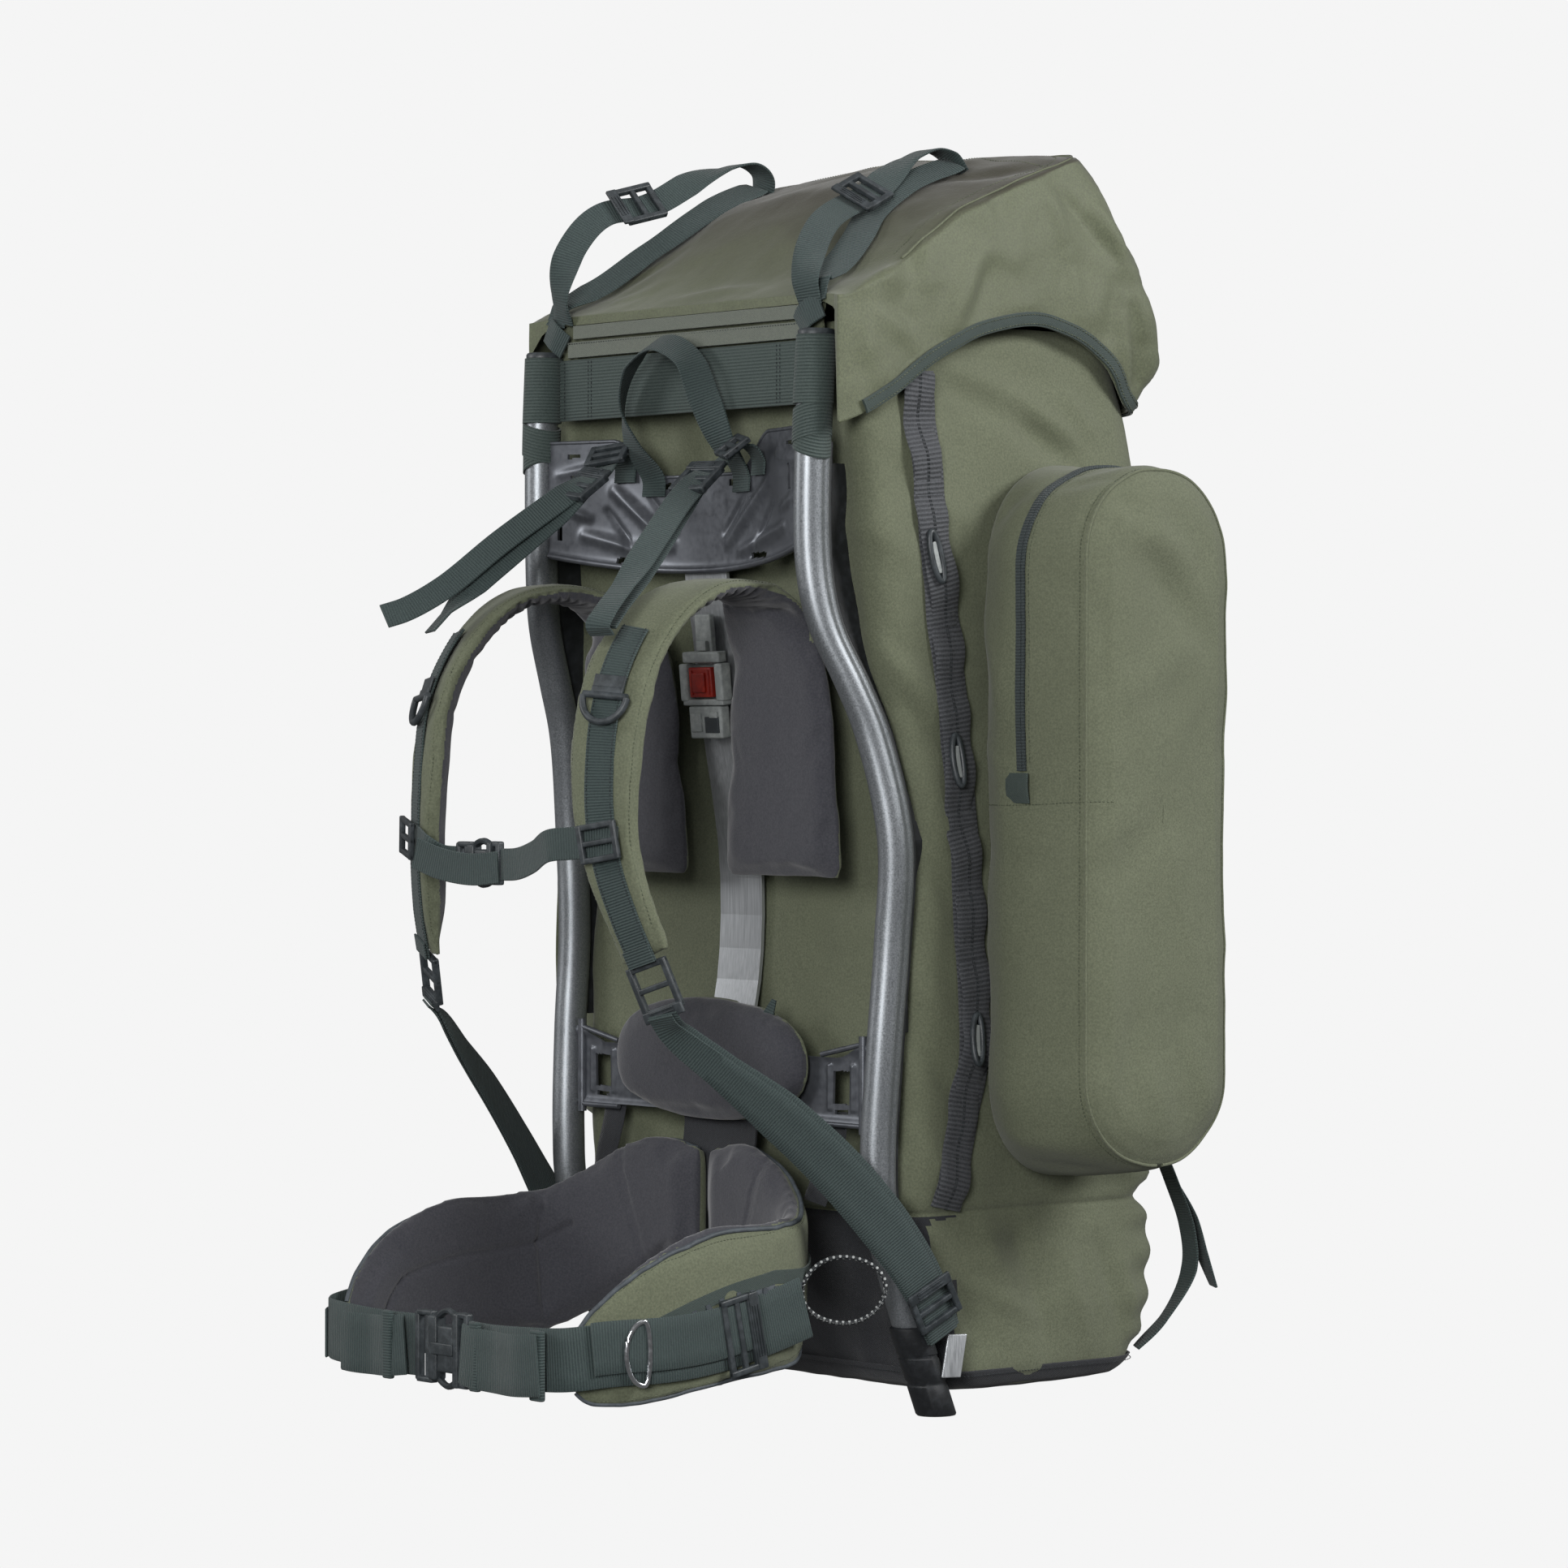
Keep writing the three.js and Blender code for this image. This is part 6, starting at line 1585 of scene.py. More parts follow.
def make_harness_fittings():
    mirror(strap("face_webbing_right", [ribbon(face)], WEB, "shoulder_web_right"))
    edges = [face.moved(1.0, s * 10.2).p for s in (-1, 1)]
    mirror(stitches("face_stitches_right", edges, DARK_THREAD))
    spot = face.at_height(D_RING_AT)
    arc = [(19 * math.cos(a), -3 + 20 * math.sin(a), 3.5) for a in np.linspace(0, -math.pi, 22)]
    ring = [wire(arc, 2.8), wire([(-19, -2, 3.5), (0, -2, 3.5), (19, -2, 3.5)], 2.8),
            rounded_box((0, 1, 2.4), (27, 9, 2), 0.8),
            rounded_box((0, 9, 1.8), (27, 12, 1.6), 0.6)]
    ring = seated(ring, face.frame(spot, 0.9, True))
    mirror(fitting("d_ring_piece_right", ring, BLACK, "d_ring_right"))
    keeper = seated(ladder(25, 30), face.frame(face.at_height(SLIDER_AT), 4.6, True))
    mirror(fitting("slider_right", keeper, BLACK, "chest_slider_right"))
    out = np.array((0.347, -0.916, -0.2))
    end = seat(np.array((143.2, -138, 339.1)) - 2.5 * out, (0.909, 0.275, 0.313),
               (-0.232, -0.291, 0.928), out)
    mirror(fitting("strap_lock_piece_right", seated(ladder(27, 40, 5, 5.5, True), end), BLACK,
                   "strap_lock_right"))
    loop = [ribbon(face.part(len(face.p) - 5).moved(2.4))]
    mirror(strap("lock_loop_right", loop, WEB))


make_harness_fittings()

# Straps: rows of x, y, z, turn, lift and, where it varies, width
CHEST_RIGHT = [(133, -166, 449, 14), (119.4, -173.4, 449, 20), (98, -182, 448, 20),
               (78, -190, 446, -8), (50, -183, 437, -14), (20, -176, 431, -8),
               (-2.4, -174, 430, 0)]
CHEST_LEFT = [(133, -166, 449, 14), (119.4, -173.4, 449, 20), (98, -182, 445, 20),
              (82, -188, 440, 4), (68, -179, 432, 0), (56, -174, 431, 0)]
CHEST_TAIL = [(2, -177.5, 430, 0), (28, -184, 428, -10), (58, -191, 432, -16),
              (84, -196, 440, -4)]
LIFTER = [(84, 12.3, 734, 168, 0), (84, 12.3, 747, 168, 0), (83, 0, 757, 0, 85),
          (72, -22, 738, 0, 50), (76, -55, 712, 5, 50), (92, -95, 676, 10, 50),
          (106, -135, 640, 18, 45), (112, -162, 612, 20, 40)]
LIFTER_TAIL = [(73, -30, 738, 0, 50), (80, -62, 716, 5, 50), (96, -104, 684, 10, 50),
               (113, -146, 648, 18, 45), (124, -176, 630, 20, 40), (132, -192, 624, 20, 40)]
LIFTER_LOOP = [(72, -20, 742, 0, 50), (80, -58, 717, 5, 50), (95, -100, 682, 10, 50),
               (109, -140, 646, 18, 45), (116, -165, 624, 20, 40), (116, -172, 613, 20, 0),
               (114, -166, 606, 20, -20)]
LOWER = [(149.9, -136.5, 318.5, 23, 0, 0.63), (148, -122, 304, 26, 0, 0.63),
         (164, -88, 274, 34, 0, 0.75), (182, -48, 240, 40, 0, 1), (200, -6, 198, 48, 0, 1.05),
         (213, 30, 155, 62, 0, 1.05), (219, 62, 112, 72, 0, 0.95), (213.3, 92, 66, 78, 0, 0.8)]
HAUL = [(-54, 17.9, 722, 8), (-54, 17.9, 736, 8), (-57, -2, 764, -10),
        (-55, -13, 796, -50), (-36, -17, 826, -70, 20), (0, -19, 841, 0, 60),
        (34, -17, 826, 70, 20), (48, -13, 796, 50), (57, -3, 762, 10),
        (57, 17.5, 736, -8), (57, 17.5, 722, -8)]
REAR = [(183.4, 340, 230, 150), (185, 342, 212, 152), (197, 352, 172, 160),
        (204, 364, 132, 165), (204, 366, 98, 165), (197, 345, 60, 150),
        (184, 326, 36, 145)]
DAISY = [(202.8, 76, 812, 90), (206, 79, 755, 90), (208, 89, 659, 90),
         (208.5, 108, 534, 90), (209, 120, 400, 90), (208.5, 126, 280, 90),
         (207, 101, 162, 90)]
DAISY_LOOPS = (669, 511, 291)  # heights of its loops
LADDER_PITCH = 52
LIFTER_FACE = (45, 25)  # turn and lift that show the load lifters' flat sides
LIFTER_LOCK, LIFTER_CLIP = 40, 27  # frames of their buckles
LIFTER_WIDE, LOWER_WIDE = 22, 40
FOOT_LOCK = 83  # frame of the buckle at the tube's foot


def make_chest_strap():
    strap("chest_web_right", [ribbon(Route(CHEST_RIGHT, 60))], WEB,
          "chest_strap_right")
    strap("chest_web_left", [ribbon(Route(CHEST_LEFT, 50, -1))], WEB,
          "chest_strap_left")
    strap("chest_tail", [ribbon(Route(CHEST_TAIL, 40, -1).moved(0, -2))], WEB)
    middle = seat((-30, -174, 431), (1, 0, 0), (0, 0, 1), (0, -1, 0))
    fitting("chest_clip", seated(release_buckle(54, 34, 11), middle), BLACK, "chest_buckle")


def make_load_lifters():
    for side, name in ((1, "right"), (-1, "left")):
        route = turned(Route(LIFTER, 80, side), *LIFTER_FACE, 0.3, 0.92)
        extra = Route(LIFTER_LOOP if side > 0 else LIFTER_TAIL, 70, side)
        turned(extra, *LIFTER_FACE, 0.0, 0.75 if side > 0 else 1.2)
        strap("lifter_web_" + name, [ribbon(route, LIFTER_WIDE), ribbon(extra, LIFTER_WIDE)], WEB,
              "load_lifter_" + name)
        at = route.frame(LIFTER_LOCK, 1.6)
        fitting("lifter_lock_" + name, seated(ladder(25, 31, 5.4, 6, True), at), BLACK,
                "lifter_buckle_" + name)
        top = route.frame(LIFTER_CLIP, 1.0)
        fitting("lifter_clip_" + name, seated(ladder(25, 25, 5.2, 5), top), BLACK)


def make_straps():
    lower = Route(LOWER, 90)
    wide = LOWER_WIDE * lower.extra[:, 0]
    inner = ribbon(lower.moved(2.6, 1.5), wide * 0.86)
    mirror(strap("lower_web_right", [ribbon(lower, wide), inner], WEB, "lower_strap_right"))
    at = lower.frame(FOOT_LOCK, 2.4)
    mirror(fitting("foot_lock_right", seated(ladder(30, 32, 5, 5.5, True), at), BLACK))
    tab = [rounded_box((0, 0, 0), (16, 2.4, 34), 1.0)]
    plate = seated(tab, seat((212, 104, 48), (0.4, 0.9, 0), (0.9, -0.4, 0), (0, 0.2, 0.98)))
    mirror(fitting("foot_tab_right", plate, ALUMINIUM))
    strap("haul_web", [ribbon(Route(HAUL, 120), 25, 2.0)], WEB, "haul_loop")
    mirror(strap("rear_web_right", [ribbon(Route(REAR, 60))], WEB,
                 "rear_strap_right"))
    tail = Route([(196, 352, 172, 160, 0), (204, 368, 140, 165, 0), (208, 378, 108, 160, 0),
                  (212, 386, 84, 150, 0)], 24)
    mirror(strap("rear_tail_right", [ribbon(tail, 22)], WEB))


def make_daisy():
    route = Route(DAISY, 300)
    line = []
    for p in route.p:
        surface = on_bag(1, p[1], p[2])
        line.append((max(surface[0], 200) + 1.6, p[1], p[2]))
    route.p = np.array(line)
    for _ in range(6):
        route.p[1:-1] = (route.p[:-2] + 2 * route.p[1:-1] + route.p[2:]) / 4
    route.set_frames(np.tile((1.0, 0, 0), (len(line), 1)))
    s = route.run
    swell = 1.5 + 1.5 * np.sin(s * 2 * np.pi / LADDER_PITCH)
    for z in DAISY_LOOPS:
        swell += 4.0 * bell(route.p[:, 2], z, 16)
    sway = 2.6 * np.sin(s / 41.0) + 1.4 * np.sin(s / 17.0)
    wide = 30 + 2.0 * np.sin(s * 2 * np.pi / LADDER_PITCH + 1)
    mirror(strap("ladder_web_right", [ribbon(route.moved(0.4), 31, 1.4),
                                      ribbon(route.moved(swell, sway), wide, 1.6)],
                 DAISY_WEB, "daisy_chain_right"))
    seam = [route.moved(swell + 1.1, sway + o).p for o in (-0.8, 0.8)]
    mirror(stitches("ladder_stitches_right", seam, DARK_THREAD, slot="dark_webbing"))
    loops, bars = [], []
    for z in DAISY_LOOPS:
        k = route.at_height(z)
        at = route.moved(swell, sway).frame(k, 2.0)
        oval = [(5.0 * math.cos(a) + 5, 18 * math.sin(a) * (1.1 - 0.1 * math.cos(a)), 1.5)
                for a in round_angles(30)]
        loops += seated([wire(oval, 2.4, closed=True)], at)
        bars += seated([rounded_box((5, 1, 1.2), (5, 25, 2), 0.9)], at)
    mirror(fitting("ladder_loops_right", loops, BLACK))
    mirror(fitting("ladder_bars_right", bars, GREY))


make_chest_strap()
make_load_lifters()
make_straps()
make_daisy()


# Band across the frame's top, with its sleeves

def sleeve(low, high, grow, tilt=0.0):
    """A strip round the right tube, mapped so that its ribs run round it."""
    heights = np.r_[low, low, np.linspace(low, high, 8), high, high]
    grows = np.r_[0.6, grow - 0.3, np.full(8, grow), grow - 0.3, 0.6]
    rings = tube_rings(heights, grows)
    offset = rings[..., 0] - rings[..., 0].mean(1, keepdims=True)
    rings[..., 2] += tilt * offset / 12
    angles = round_angles(TUBE_SIDES)
    chart = np.stack(np.broadcast_arrays(heights[:, None], angles[None] * 13), -1)
    points, faces, _ = closed_rings(rings)
    return points, faces[:-2], chart.reshape(-1, 2)


def flipped(part):
    """A part turned over to the other side."""
    points, faces, chart = part
    return np.asarray(points) * (-1, 1, 1), [f[::-1] for f in faces], chart


def level_strip(x1, x2, y, z, wide, thick, bow=0.0, steps=60):
    """A strip across the frame that faces forward, bowed forward in its middle."""
    points = []
    for x in np.linspace(x1, x2, steps):
        share = (x - x1) / (x2 - x1)
        points.append((x, y - bow * math.sin(math.pi * share), z))
    return ribbon(Route.through(points, (0, -1.0, 0)), wide, thick)


SLEEVES = [  # low, high, how far out, tilt
    (785, TUBE_TOP, 2.7, 0), (757, 783, 2.4, 4), (748, 770, 1.6, -5),
]


def make_band():
    parts = [level_strip(-160, 160, 5, 811, 49.6, 2.2)]
    for low, high, grow, tilt in SLEEVES:
        one = sleeve(low, high, grow, tilt)
        parts += [one, flipped(one)]
    strap("band_webbing", parts, BAND_WEB, "top_band")
    strap("band_tapes", [level_strip(-138, 150, 2.4, 857.5, 11, 1.8, 1.5),
                         level_strip(-146, 156, 3.2, 843.5, 13, 2.0, 0.5)], TAPE)
    lines = []
    for s in (-1, 1):
        for x in (117, 121, 152):
            lines.append([(s * x, 3.6, z) for z in np.linspace(789, 833, 12)])
        lines.append([(s * x, 2.0, 848.5) for x in np.linspace(2, 150, 40)])
    stitches("band_stitches", lines, DARK_THREAD)
    rows = []
    for z in np.linspace(832, 868, 14):
        y = 7.5 + 10 * ((z - 850) / 18) ** 2 * 0.3
        rows.append([(x, y, z) for x in np.linspace(-168, 168, 90)])
    grid = np.array(rows)
    grid = grid + np.array((0, -1, 0)) * (0.8 * waves(grid, 22, 41))[..., None]
    back = grid + (0, 1.6, 0)
    shell = np.concatenate([grid, back[::-1], grid[:1]])
    piece("lid_facing", made_mesh("lid_facing", shell, grid_faces(len(shell), 90, False)), OLIVE)


make_band()

# Lid straps: over the lid, through a buckle, then a standing loop
LID_STRAP_RIGHT = [(160, 2, 862, 0, 5), (157, -3, 880, 10, 5), (150, 6, 900, 10, 45),
                   (139, 34, 926, 5, 60), (128, 64, 944, 0, 62), (119, 94, 957, 0, 64),
                   (112, 128, 975, 0, 60), (109, 152, 990, 0, 60), (110, 172, 997, 0, 85),
                   (114, 186, 990, 180, 40), (120, 190, 976, 180, 10)]
LID_STRAP_LEFT = [(154, 4, 866, 0, 5), (152, -3, 890, 20), (150, 1, 914, 20, 20),
                  (146, 15, 935, 0, 60), (143, 40, 956, 0, 75), (136, 74, 966, 0, 66),
                  (129, 110, 982, 0, 62), (124, 146, 998, 0, 62), (122, 172, 1004, 0, 88),
                  (124, 188, 996, 180, 45), (130, 194, 982, 180, 10)]
LID_UNDER = [(164, 3, 864, 0, 5), (160, 10, 886, 5, 50), (150, 40, 908, 0, 62),
             (138, 70, 930, 0, 62), (124, 96, 949, 0, 62), (120, 128, 962, 0, 64),
             (121, 158, 974, 0, 66), (124, 184, 984, 0, 68)]


LID_LOCK = 58  # frame of the buckle
LID_CLEAR = 8.0  # mm from the lid to the strand under the loop


def make_lid_straps():
    for side, name, rows in ((1, "right", LID_STRAP_RIGHT), (-1, "left", LID_STRAP_LEFT)):
        route = Route(rows, 120, side)
        turned(route, LOOK_TURN, 30, 0.05, 0.8)
        twist = 2.5 * np.sin(route.run / 19.0)
        under = Route(LID_UNDER, 80, side)
        floor_z = lid_height(under.p[:, 0], under.p[:, 1]) + LID_CLEAR
        under.p[10:, 2] = np.maximum(under.p[10:, 2] * 0.25 + floor_z[10:] * 0.75, floor_z[10:])
        under.set_frames(under.n)
        turned(under, LOOK_TURN, 52, 0.05, 1.1)
        strap("lid_web_" + name, [ribbon(route.moved(0, twist)), ribbon(under)], WEB,
              "lid_strap_" + name)
        at = route.frame(LID_LOCK, 0.9)
        fitting("lid_lock_" + name, seated(ladder(26, 36, 5, 5.5, True), at), BLACK,
                "lid_buckle_" + name)
        wrap = Route([(side * 148, 1, 846, 0, 0), (side * 158, -2, 854, 0, 0),
                      (side * 172, 2, 862, 0, 0)], 20)
        strap("lid_wrap_" + name, [ribbon(wrap, 22, 2.0)], WEB)


make_lid_straps()


# Lumbar pad and hip belt

def make_lumbar_pad():
    rings = []
    for out, size in ((0, 0.9), (0.04, 0.97), (0.3, 1), (0.62, 0.98), (0.84, 0.9), (0.95, 0.74),
                      (1, 0.5), (1.02, 0.2)):
        angles = round_angles(60)
        x = squared(np.cos(angles), 0.9) * 123 * size
        z = squared(np.sin(angles), 0.82) * 54.5 * size
        rings.append(np.stack([x, np.full(60, 41.2 - 20 * out), 272 + z], -1))
    points, faces, _ = closed_rings(np.array(rings))
    points, faces = swollen("lumbar_cushion", points, faces, 1.5, 3.5)
    normals = vertex_normals(points, faces)
    edge = bell(points[:, 1], 33.5, 1.5)
    crease = stroked(points[:, None], [((-60, 21, 232), (50, 21, 228), 6, -2.4),
                                       ((20, 21, 236), (96, 22, 250), 5, -1.6)])[:, 0]
    move = crease - 1.2 * edge + 0.6 * waves(points[:, None], 40, 31)[:, 0]
    points = points + normals * move[:, None]
    points[:, 1] = np.minimum(points[:, 1], 41.6)
    outer = (points[:, 1] > 33.5).astype(float)
    pad_piece("lumbar_cushion", points, faces, outer, 0.8, "lumbar_pad")


make_lumbar_pad()

BELT_ROWS = [  # x, y, low, high, lean, thick
    (2, 26, 108, 203, 90, 0.9), (45, 25, 92, 214, 88, 1), (92, 19, 70, 205, 76, 1),
    (132, 6, 52, 184, 58, 1), (158, -16, 42, 168, 30, 1), (168, -52, 35, 165, 8, 1),
    (169, -100, 29, 163, 0, 1), (166, -145, 23, 151, -6, 1), (158, -184, 20, 129, -16, 0.85),
    (146, -212, 26, 100, -28, 0.7), (141, -222, 38, 82, -32, 0.5),
]
BELT_THICK = 21
BELT_PANEL = 74  # mm of run to the seam between the back panel and the wing


class Belt:
    """Frames along the right wing: middle, half height, outward direction, thickness."""

    def __init__(self, steps):
        flat = curve_points([(r[0], r[1], (r[2] + r[3]) / 2) for r in BELT_ROWS], steps)
        spread = curve_points([(r[2], r[3], r[4]) for r in BELT_ROWS], steps)
        lean = np.radians(spread[:, 2])
        self.p = flat
        self.half = (spread[:, 1] - spread[:, 0]) / 2
        self.out = np.stack([np.cos(lean), np.sin(lean), np.zeros(len(lean))], -1)
        self.thick = np.interp(np.linspace(0, 1, steps + 1), np.linspace(0, 1, len(BELT_ROWS)),
                               [r[5] * BELT_THICK for r in BELT_ROWS])
        self.run = run_of(flat)

    def line(self, first, last, rise, out, count=80):
        """Places on a face: rise is a share of the half height, out is in mm from it."""
        at = np.linspace(first, last, count) * (len(self.p) - 1)
        whole = np.arange(len(self.p))

        def pick(column):
            return np.interp(at, whole, column)

        p = np.stack([pick(c) for c in self.p.T], -1)
        o = np.stack([pick(c) for c in self.out.T], -1)
        rise = np.broadcast_to(rise, count)
        away = np.sign(out) * pick(self.thick) / 2 * (1 - 0.35 * abs(rise) ** 4) + out
        p = p + o * away[:, None]
        p[:, 2] += rise * pick(self.half)
        return p, o


belt = Belt(120)
GRIP_RIBS = 11


def make_belt():
    angles = round_angles(28)
    up = squared(np.cos(angles), 0.62)
    out = squared(np.sin(angles), 0.8)
    rings = []
    for p, o, half, thick in zip(belt.p, belt.out, belt.half, belt.thick):
        rings.append(p + np.outer(up * half, (0, 0, 1)) + np.outer(out * thick / 2, o))
    points, faces, _ = closed_rings(np.array(rings))
    points, faces = swollen("belt_right", points, faces, 2.0, 4.5)
    near = nearest_frame(points, belt.p)
    off = points - belt.p[near]
    lift = (off * belt.out[near]).sum(1)
    rise = off[:, 2] / belt.half[near]
    run = belt.run[near] / belt.run[-1]
    normals = vertex_normals(points, faces)
    inner = lift < -1
    dip = 0.22 - 0.9 * ramp(run, 0.8, 1) ** 1.5
    seam = np.exp(-(((rise - dip) * belt.half[near] / 2.2) ** 2)) * (run > 0.34)
    move = -3.4 * seam * inner
    panel = bell(belt.run[near], BELT_PANEL, 2.5)
    move -= 1.6 * panel * inner
    edge = np.exp(-(((abs(lift) - belt.thick[near] * 0.3) / 1.2) ** 2)) * (abs(rise) > 0.8)
    move -= 0.7 * edge
    scaled = points[:, None]
    move += 1.1 * waves(scaled, 60, 33)[:, 0] + 0.4 * waves(scaled, 20, 34)[:, 0]
    pleat = np.sin(points[:, 0] / 3.0 + points[:, 1] / 4.0) * bell(run, 0.5, 0.06)
    move += 0.5 * pleat * inner * (rise > 0.3)
    points = points + normals * move[:, None]
    outer = (lift > 1.5).astype(float)
    pad = pad_piece("belt_right", points, faces, outer, 0.7, "belt_wing_right",
                    slot="olive_cloth")
    mirror(pad)
    normals = vertex_normals(points, faces)
    top = settled(belt.line(0.03, 0.97, 0.9, 2.0, 160)[0], points, normals, 0.8)
    low = settled(belt.line(0.03, 0.97, -0.92, 2.0, 160)[0], points, normals, 0.8)
    mirror(fitting("belt_piping_right", [wire(top, 1.9), wire(low, 1.7)], RUBBER))
    rise = np.interp(np.linspace(0, 1, 90), (0, 0.35, 0.75, 1), (0.1, 0.26, 0.06, -0.25))
    line, out = belt.line(0.3, 0.88, rise, 2.0, 90)
    mirror(strap("belt_binding_right", [ribbon(route_along(line, out, 90), 11)], BINDING))
    rise = np.interp(np.linspace(0, 1, 60), (0, 0.5, 1), (-0.02, 0.0, -0.16))
    line, out = belt.line(0.42, 0.74, rise, 1.7, 60)
    patch = route_along(line, out, 60)
    parts = [ribbon(patch, 26, 1.6)]
    for share in np.linspace(0.06, 0.94, GRIP_RIBS):
        k = int(share * 58)
        middle, a, n = patch.p[k] + patch.n[k], patch.a[k], patch.n[k]
        rib = Route.through([middle + a * s * 10.5 for s in (-1, 0, 1)], n)
        parts.append(ribbon(rib, 4.2))
    mirror(strap("belt_grip_right", parts, RUBBER))
    rows = [settled(belt.line(0.3, 0.95, rise, 1.6, 120)[0], points, normals, 0.3)
            for rise in (0.8, -0.8)]
    mirror(stitches("belt_stitches_right", rows, THREAD))


make_belt()

WAIST_RIGHT = [(182.3, -22, 92, 80), (182.6, -60, 82, 88), (182.6, -110, 72, 89),
               (180, -155, 68, 80), (169, -198, 67, 62), (152, -231, 64, 30),
               (110, -239, 62, 5), (66, -235, 60, 0), (30, -231, 60, 0)]
WAIST_LEFT = [(182.6, -60, 84, 88), (182.6, -110, 74, 89), (180, -155, 70, 80),
              (169, -198, 67, 62), (152, -231, 64, 30), (110, -239, 62, 5),
              (66, -235, 60, 0), (30, -231, 60, 0)]
# Slack of the waist webbing, doubled over and held by keepers beside the buckle
SLACK = [(140, -246, 60, 20), (112, -247, 58, 5), (84, -244, 57, 0),
         (58, -243, 58, 0), (40, -240, 60, 0)]


WAIST_WIDE = 48
RING_AT = 48  # frame of the ring on the right webbing
CORD_CENTRE, CORD_WIDE, CORD_TALL = (192.9, 7.5, 104), 32, 25.5


def make_waist():
    """Waist webbing with its slack, buckles, tails, ring and cord."""
    right, left = Route(WAIST_RIGHT, 110), Route(WAIST_LEFT, 110, -1)
    slack = Route(SLACK, 50)
    folds = slack.moved(2.2 * np.sin(slack.run / 13.0) + 1.8)
    strap("waist_webbing_right", [ribbon(right, WAIST_WIDE, 2),
                                  ribbon(folds, WAIST_WIDE - 1, 2)], WEB, "waist_web_right")
    other = Route(SLACK[1:], 40, -1)
    creased = other.moved(1.4 * np.sin(other.run / 7.0))
    strap("waist_webbing_left", [ribbon(left, WAIST_WIDE, 2),
                                 ribbon(creased, WAIST_WIDE - 1, 2)], WEB, "waist_web_left")
    keepers = []
    for x, y, wide in ((134, -242, 15), (56, -241.5, 11), (-56, -241.5, 11)):
        points, faces, _ = rounded_box((x, y - 1.6, 59), (wide, 5.6, 53), 2.4)
        keepers.append((points, faces, points[:, [0, 2]]))
    strap("waist_keepers", keepers, WEB)
    middle = seat((0, -231, 60), (1, 0, 0), (0, 0, 1), (0, -1, 0))
    fitting("waist_clip", seated(release_buckle(66, 58, 12), middle), BLACK, "waist_buckle")
    for side, name, route in ((1, "right", right), (-1, "left", left)):
        at = route.frame(22 if side > 0 else 24, 1.3)
        fitting("belt_lock_piece_" + name, seated(ladder(50, 30, 5, 5, True), at), BLACK,
                "belt_lock_" + name)
        strap("waist_tail_" + name, [ribbon(route.part(16, 62).moved(3.2, 6), 40)], WEB)
    centre = right.p[RING_AT] + right.n[RING_AT] * 4.5
    level = unit(right.t[RING_AT] * (1, 1, 0))
    loop = []
    for a in round_angles(48):
        wide = 15 if math.cos(a) > 0 else 4.5
        loop.append(centre + level * wide * math.cos(a) + np.array((0, 0, 24 * math.sin(a))))
    fitting("belt_d_ring", [wire(loop, 2.1, closed=True, sides=14)], CHROME, "belt_ring")
    centre, level = np.array(CORD_CENTRE), facing(140)
    loop = []
    for a in round_angles(64):
        aside = (CORD_WIDE + 1.5 * math.sin(2 * a)) * math.cos(a)
        loop.append(centre + level * aside + np.array((0, 0, CORD_TALL * math.sin(a))))
    fitting("shock_cord", [wire(loop, 1.8, closed=True)], SPECKLED_CORD, "cord_loop")


make_waist()


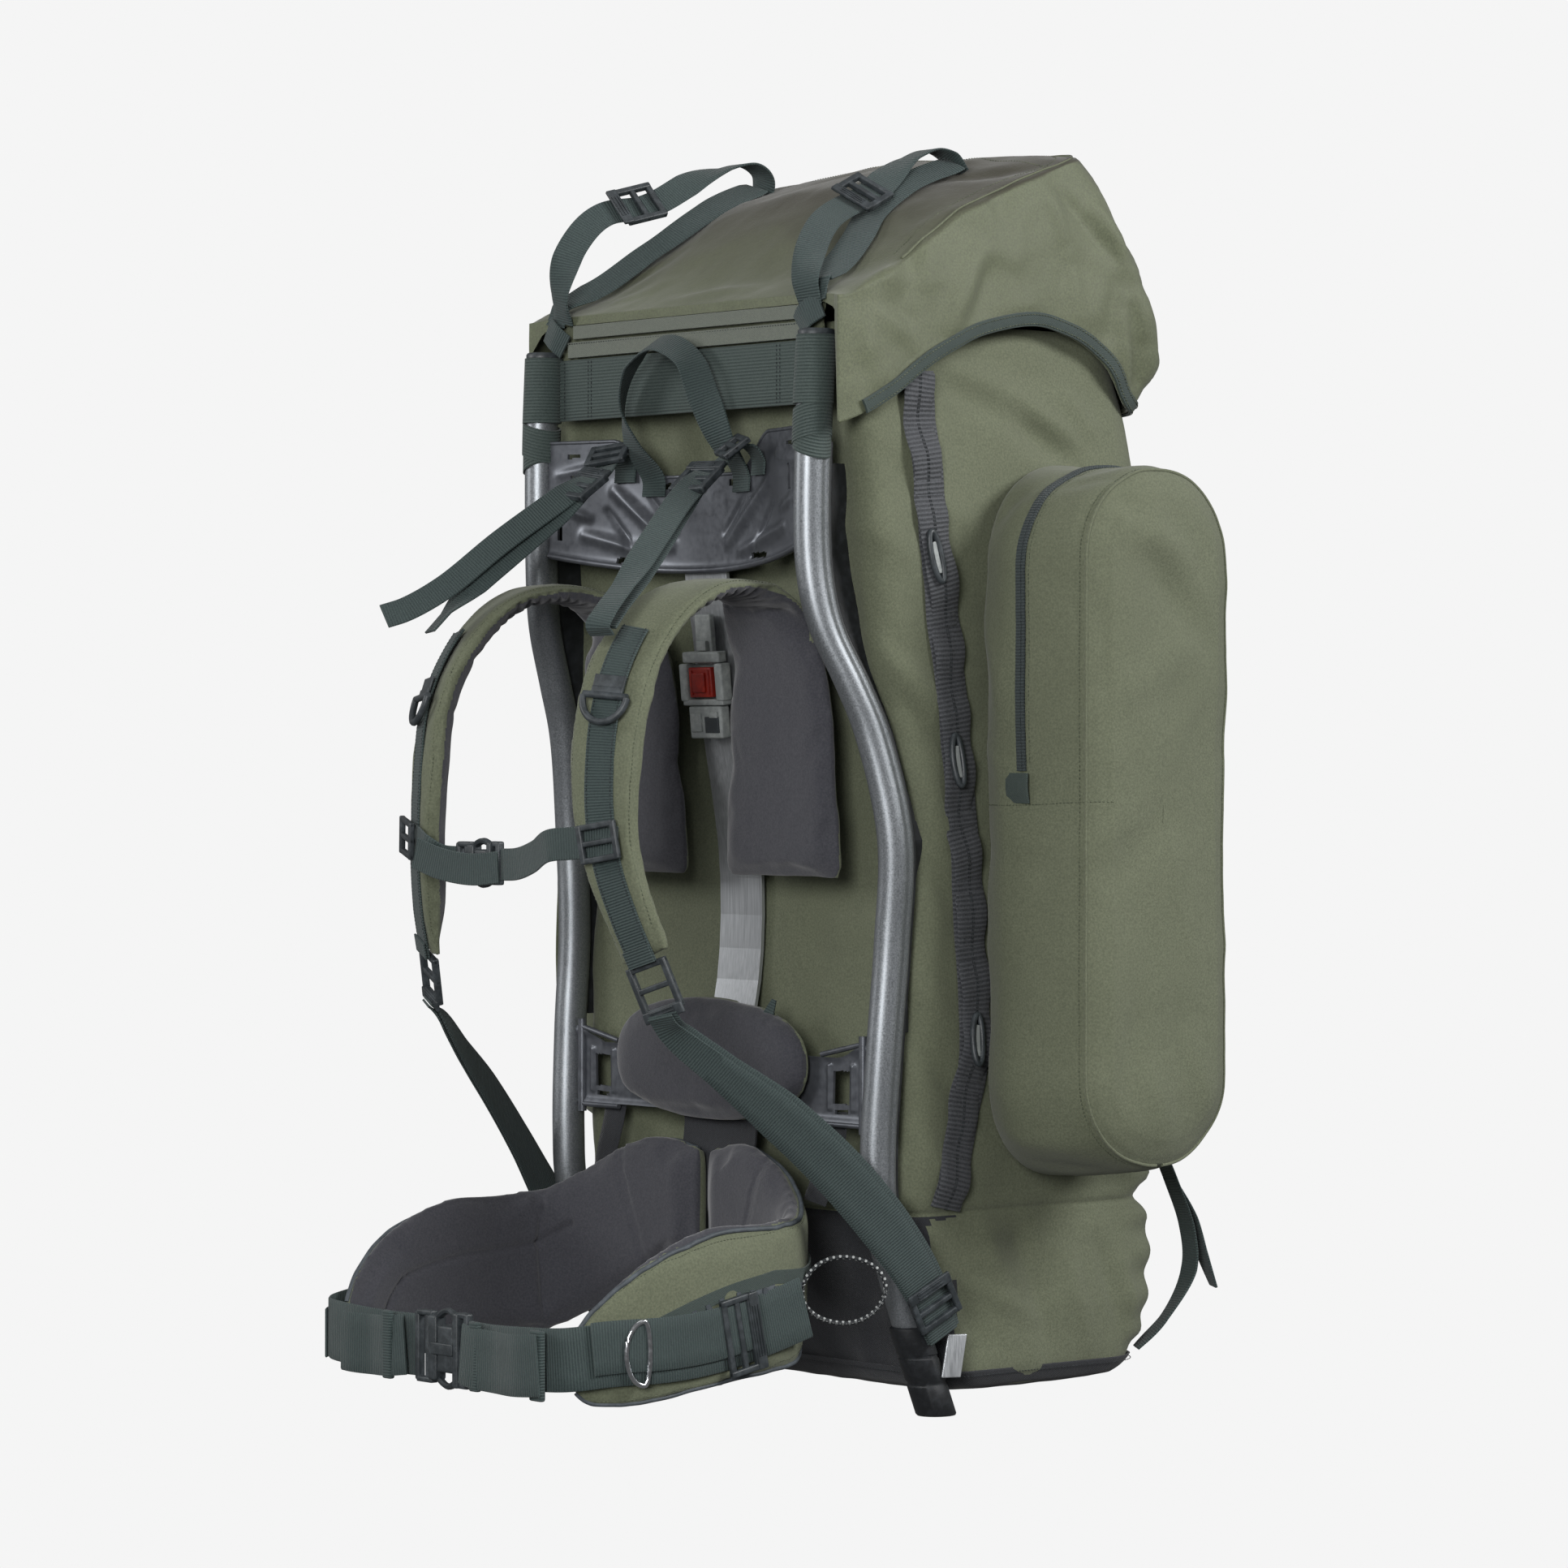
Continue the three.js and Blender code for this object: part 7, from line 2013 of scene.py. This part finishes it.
def make_back_strips():
    """Hook tape from the lumbar plate down to the belt, on both sides."""
    rows = [(138, 47, 236, 0, 0), (139, 44, 215, 0, 0), (138, 36, 190, 0, 0), (134, 28, 166, 0, 0)]
    mirror(strap("hook_tape_right", [ribbon(Route(rows, 24), 27)], CORDURA))
    tail = [(66, 30, 292, 0, 0), (72, 30, 304, 10, 0), (78, 34, 322, 20, 0)]
    strap("pull_tail", [ribbon(Route(tail, 12), np.linspace(24, 4, 13), 1.6)], WEB)


make_back_strips()


# Stage

PALE = 0.913  # of floor and sky, as the camera sees them
FLOOR_GLOW, SKY_GLOW = 0.13, 0.23  # what they give as light
FLOOR_HALF = 30
WHITE = (1, 1, 1, 1)
LIGHTS = [  # name, place, height aimed at, size, watts
    ("key", (3.1, 1.5, 2.4), 0.5, 1.5, 108), ("side", (-2.4, -3.4, 1.9), 0.55, 1.8, 58),
    ("top", (0.3, -0.4, 3.2), 0.6, 1.8, 7), ("front", (2.7, -3.5, 1.3), 0.5, 1.6, 118),
]


def area_light(name, where, aim_height, size, power):
    data = bpy.data.lights.new(name, "AREA")
    data.shape, data.size, data.energy = "DISK", size, power
    light = new_object(name, data)
    light.location = where
    aim = Vector((0, 0, aim_height)) - Vector(where)
    light.rotation_euler = aim.to_track_quat("-Z", "Y").to_euler()


def brightness(tree, glow):
    """Pale to the camera, and a dimmer glow on what it lights."""
    seen = add(tree, "ShaderNodeLightPath").outputs["Is Camera Ray"]
    return ranged(tree, seen, 0, 1, glow, PALE)


def make_stage():
    """Floor, world and lights."""
    mesh = bpy.data.meshes.new("floor")
    corners = [(x * FLOOR_HALF, y * FLOOR_HALF, 0)
               for x, y in ((-1, -1), (1, -1), (1, 1), (-1, 1))]
    mesh.from_pydata(corners, [], [(0, 1, 2, 3)])
    floor = new_object("floor", mesh)
    material, tree, shader, _ = start_material("pale_floor")
    set_shader(tree, shader, Base_Color=(0, 0, 0, 1), Roughness=1.0, Specular_IOR_Level=0.0,
               Emission_Color=WHITE, Emission_Strength=brightness(tree, FLOOR_GLOW))
    mesh.materials.append(material)
    world = bpy.data.worlds.new("pale_studio")
    world.use_nodes = True
    bpy.context.scene.world = world
    ground = world.node_tree.nodes["Background"]
    ground.inputs[0].default_value = WHITE
    world.node_tree.links.new(brightness(world.node_tree, SKY_GLOW), ground.inputs[1])
    bpy.context.scene.view_settings.view_transform = "Standard"
    for light in LIGHTS:
        area_light(*light)


make_stage()
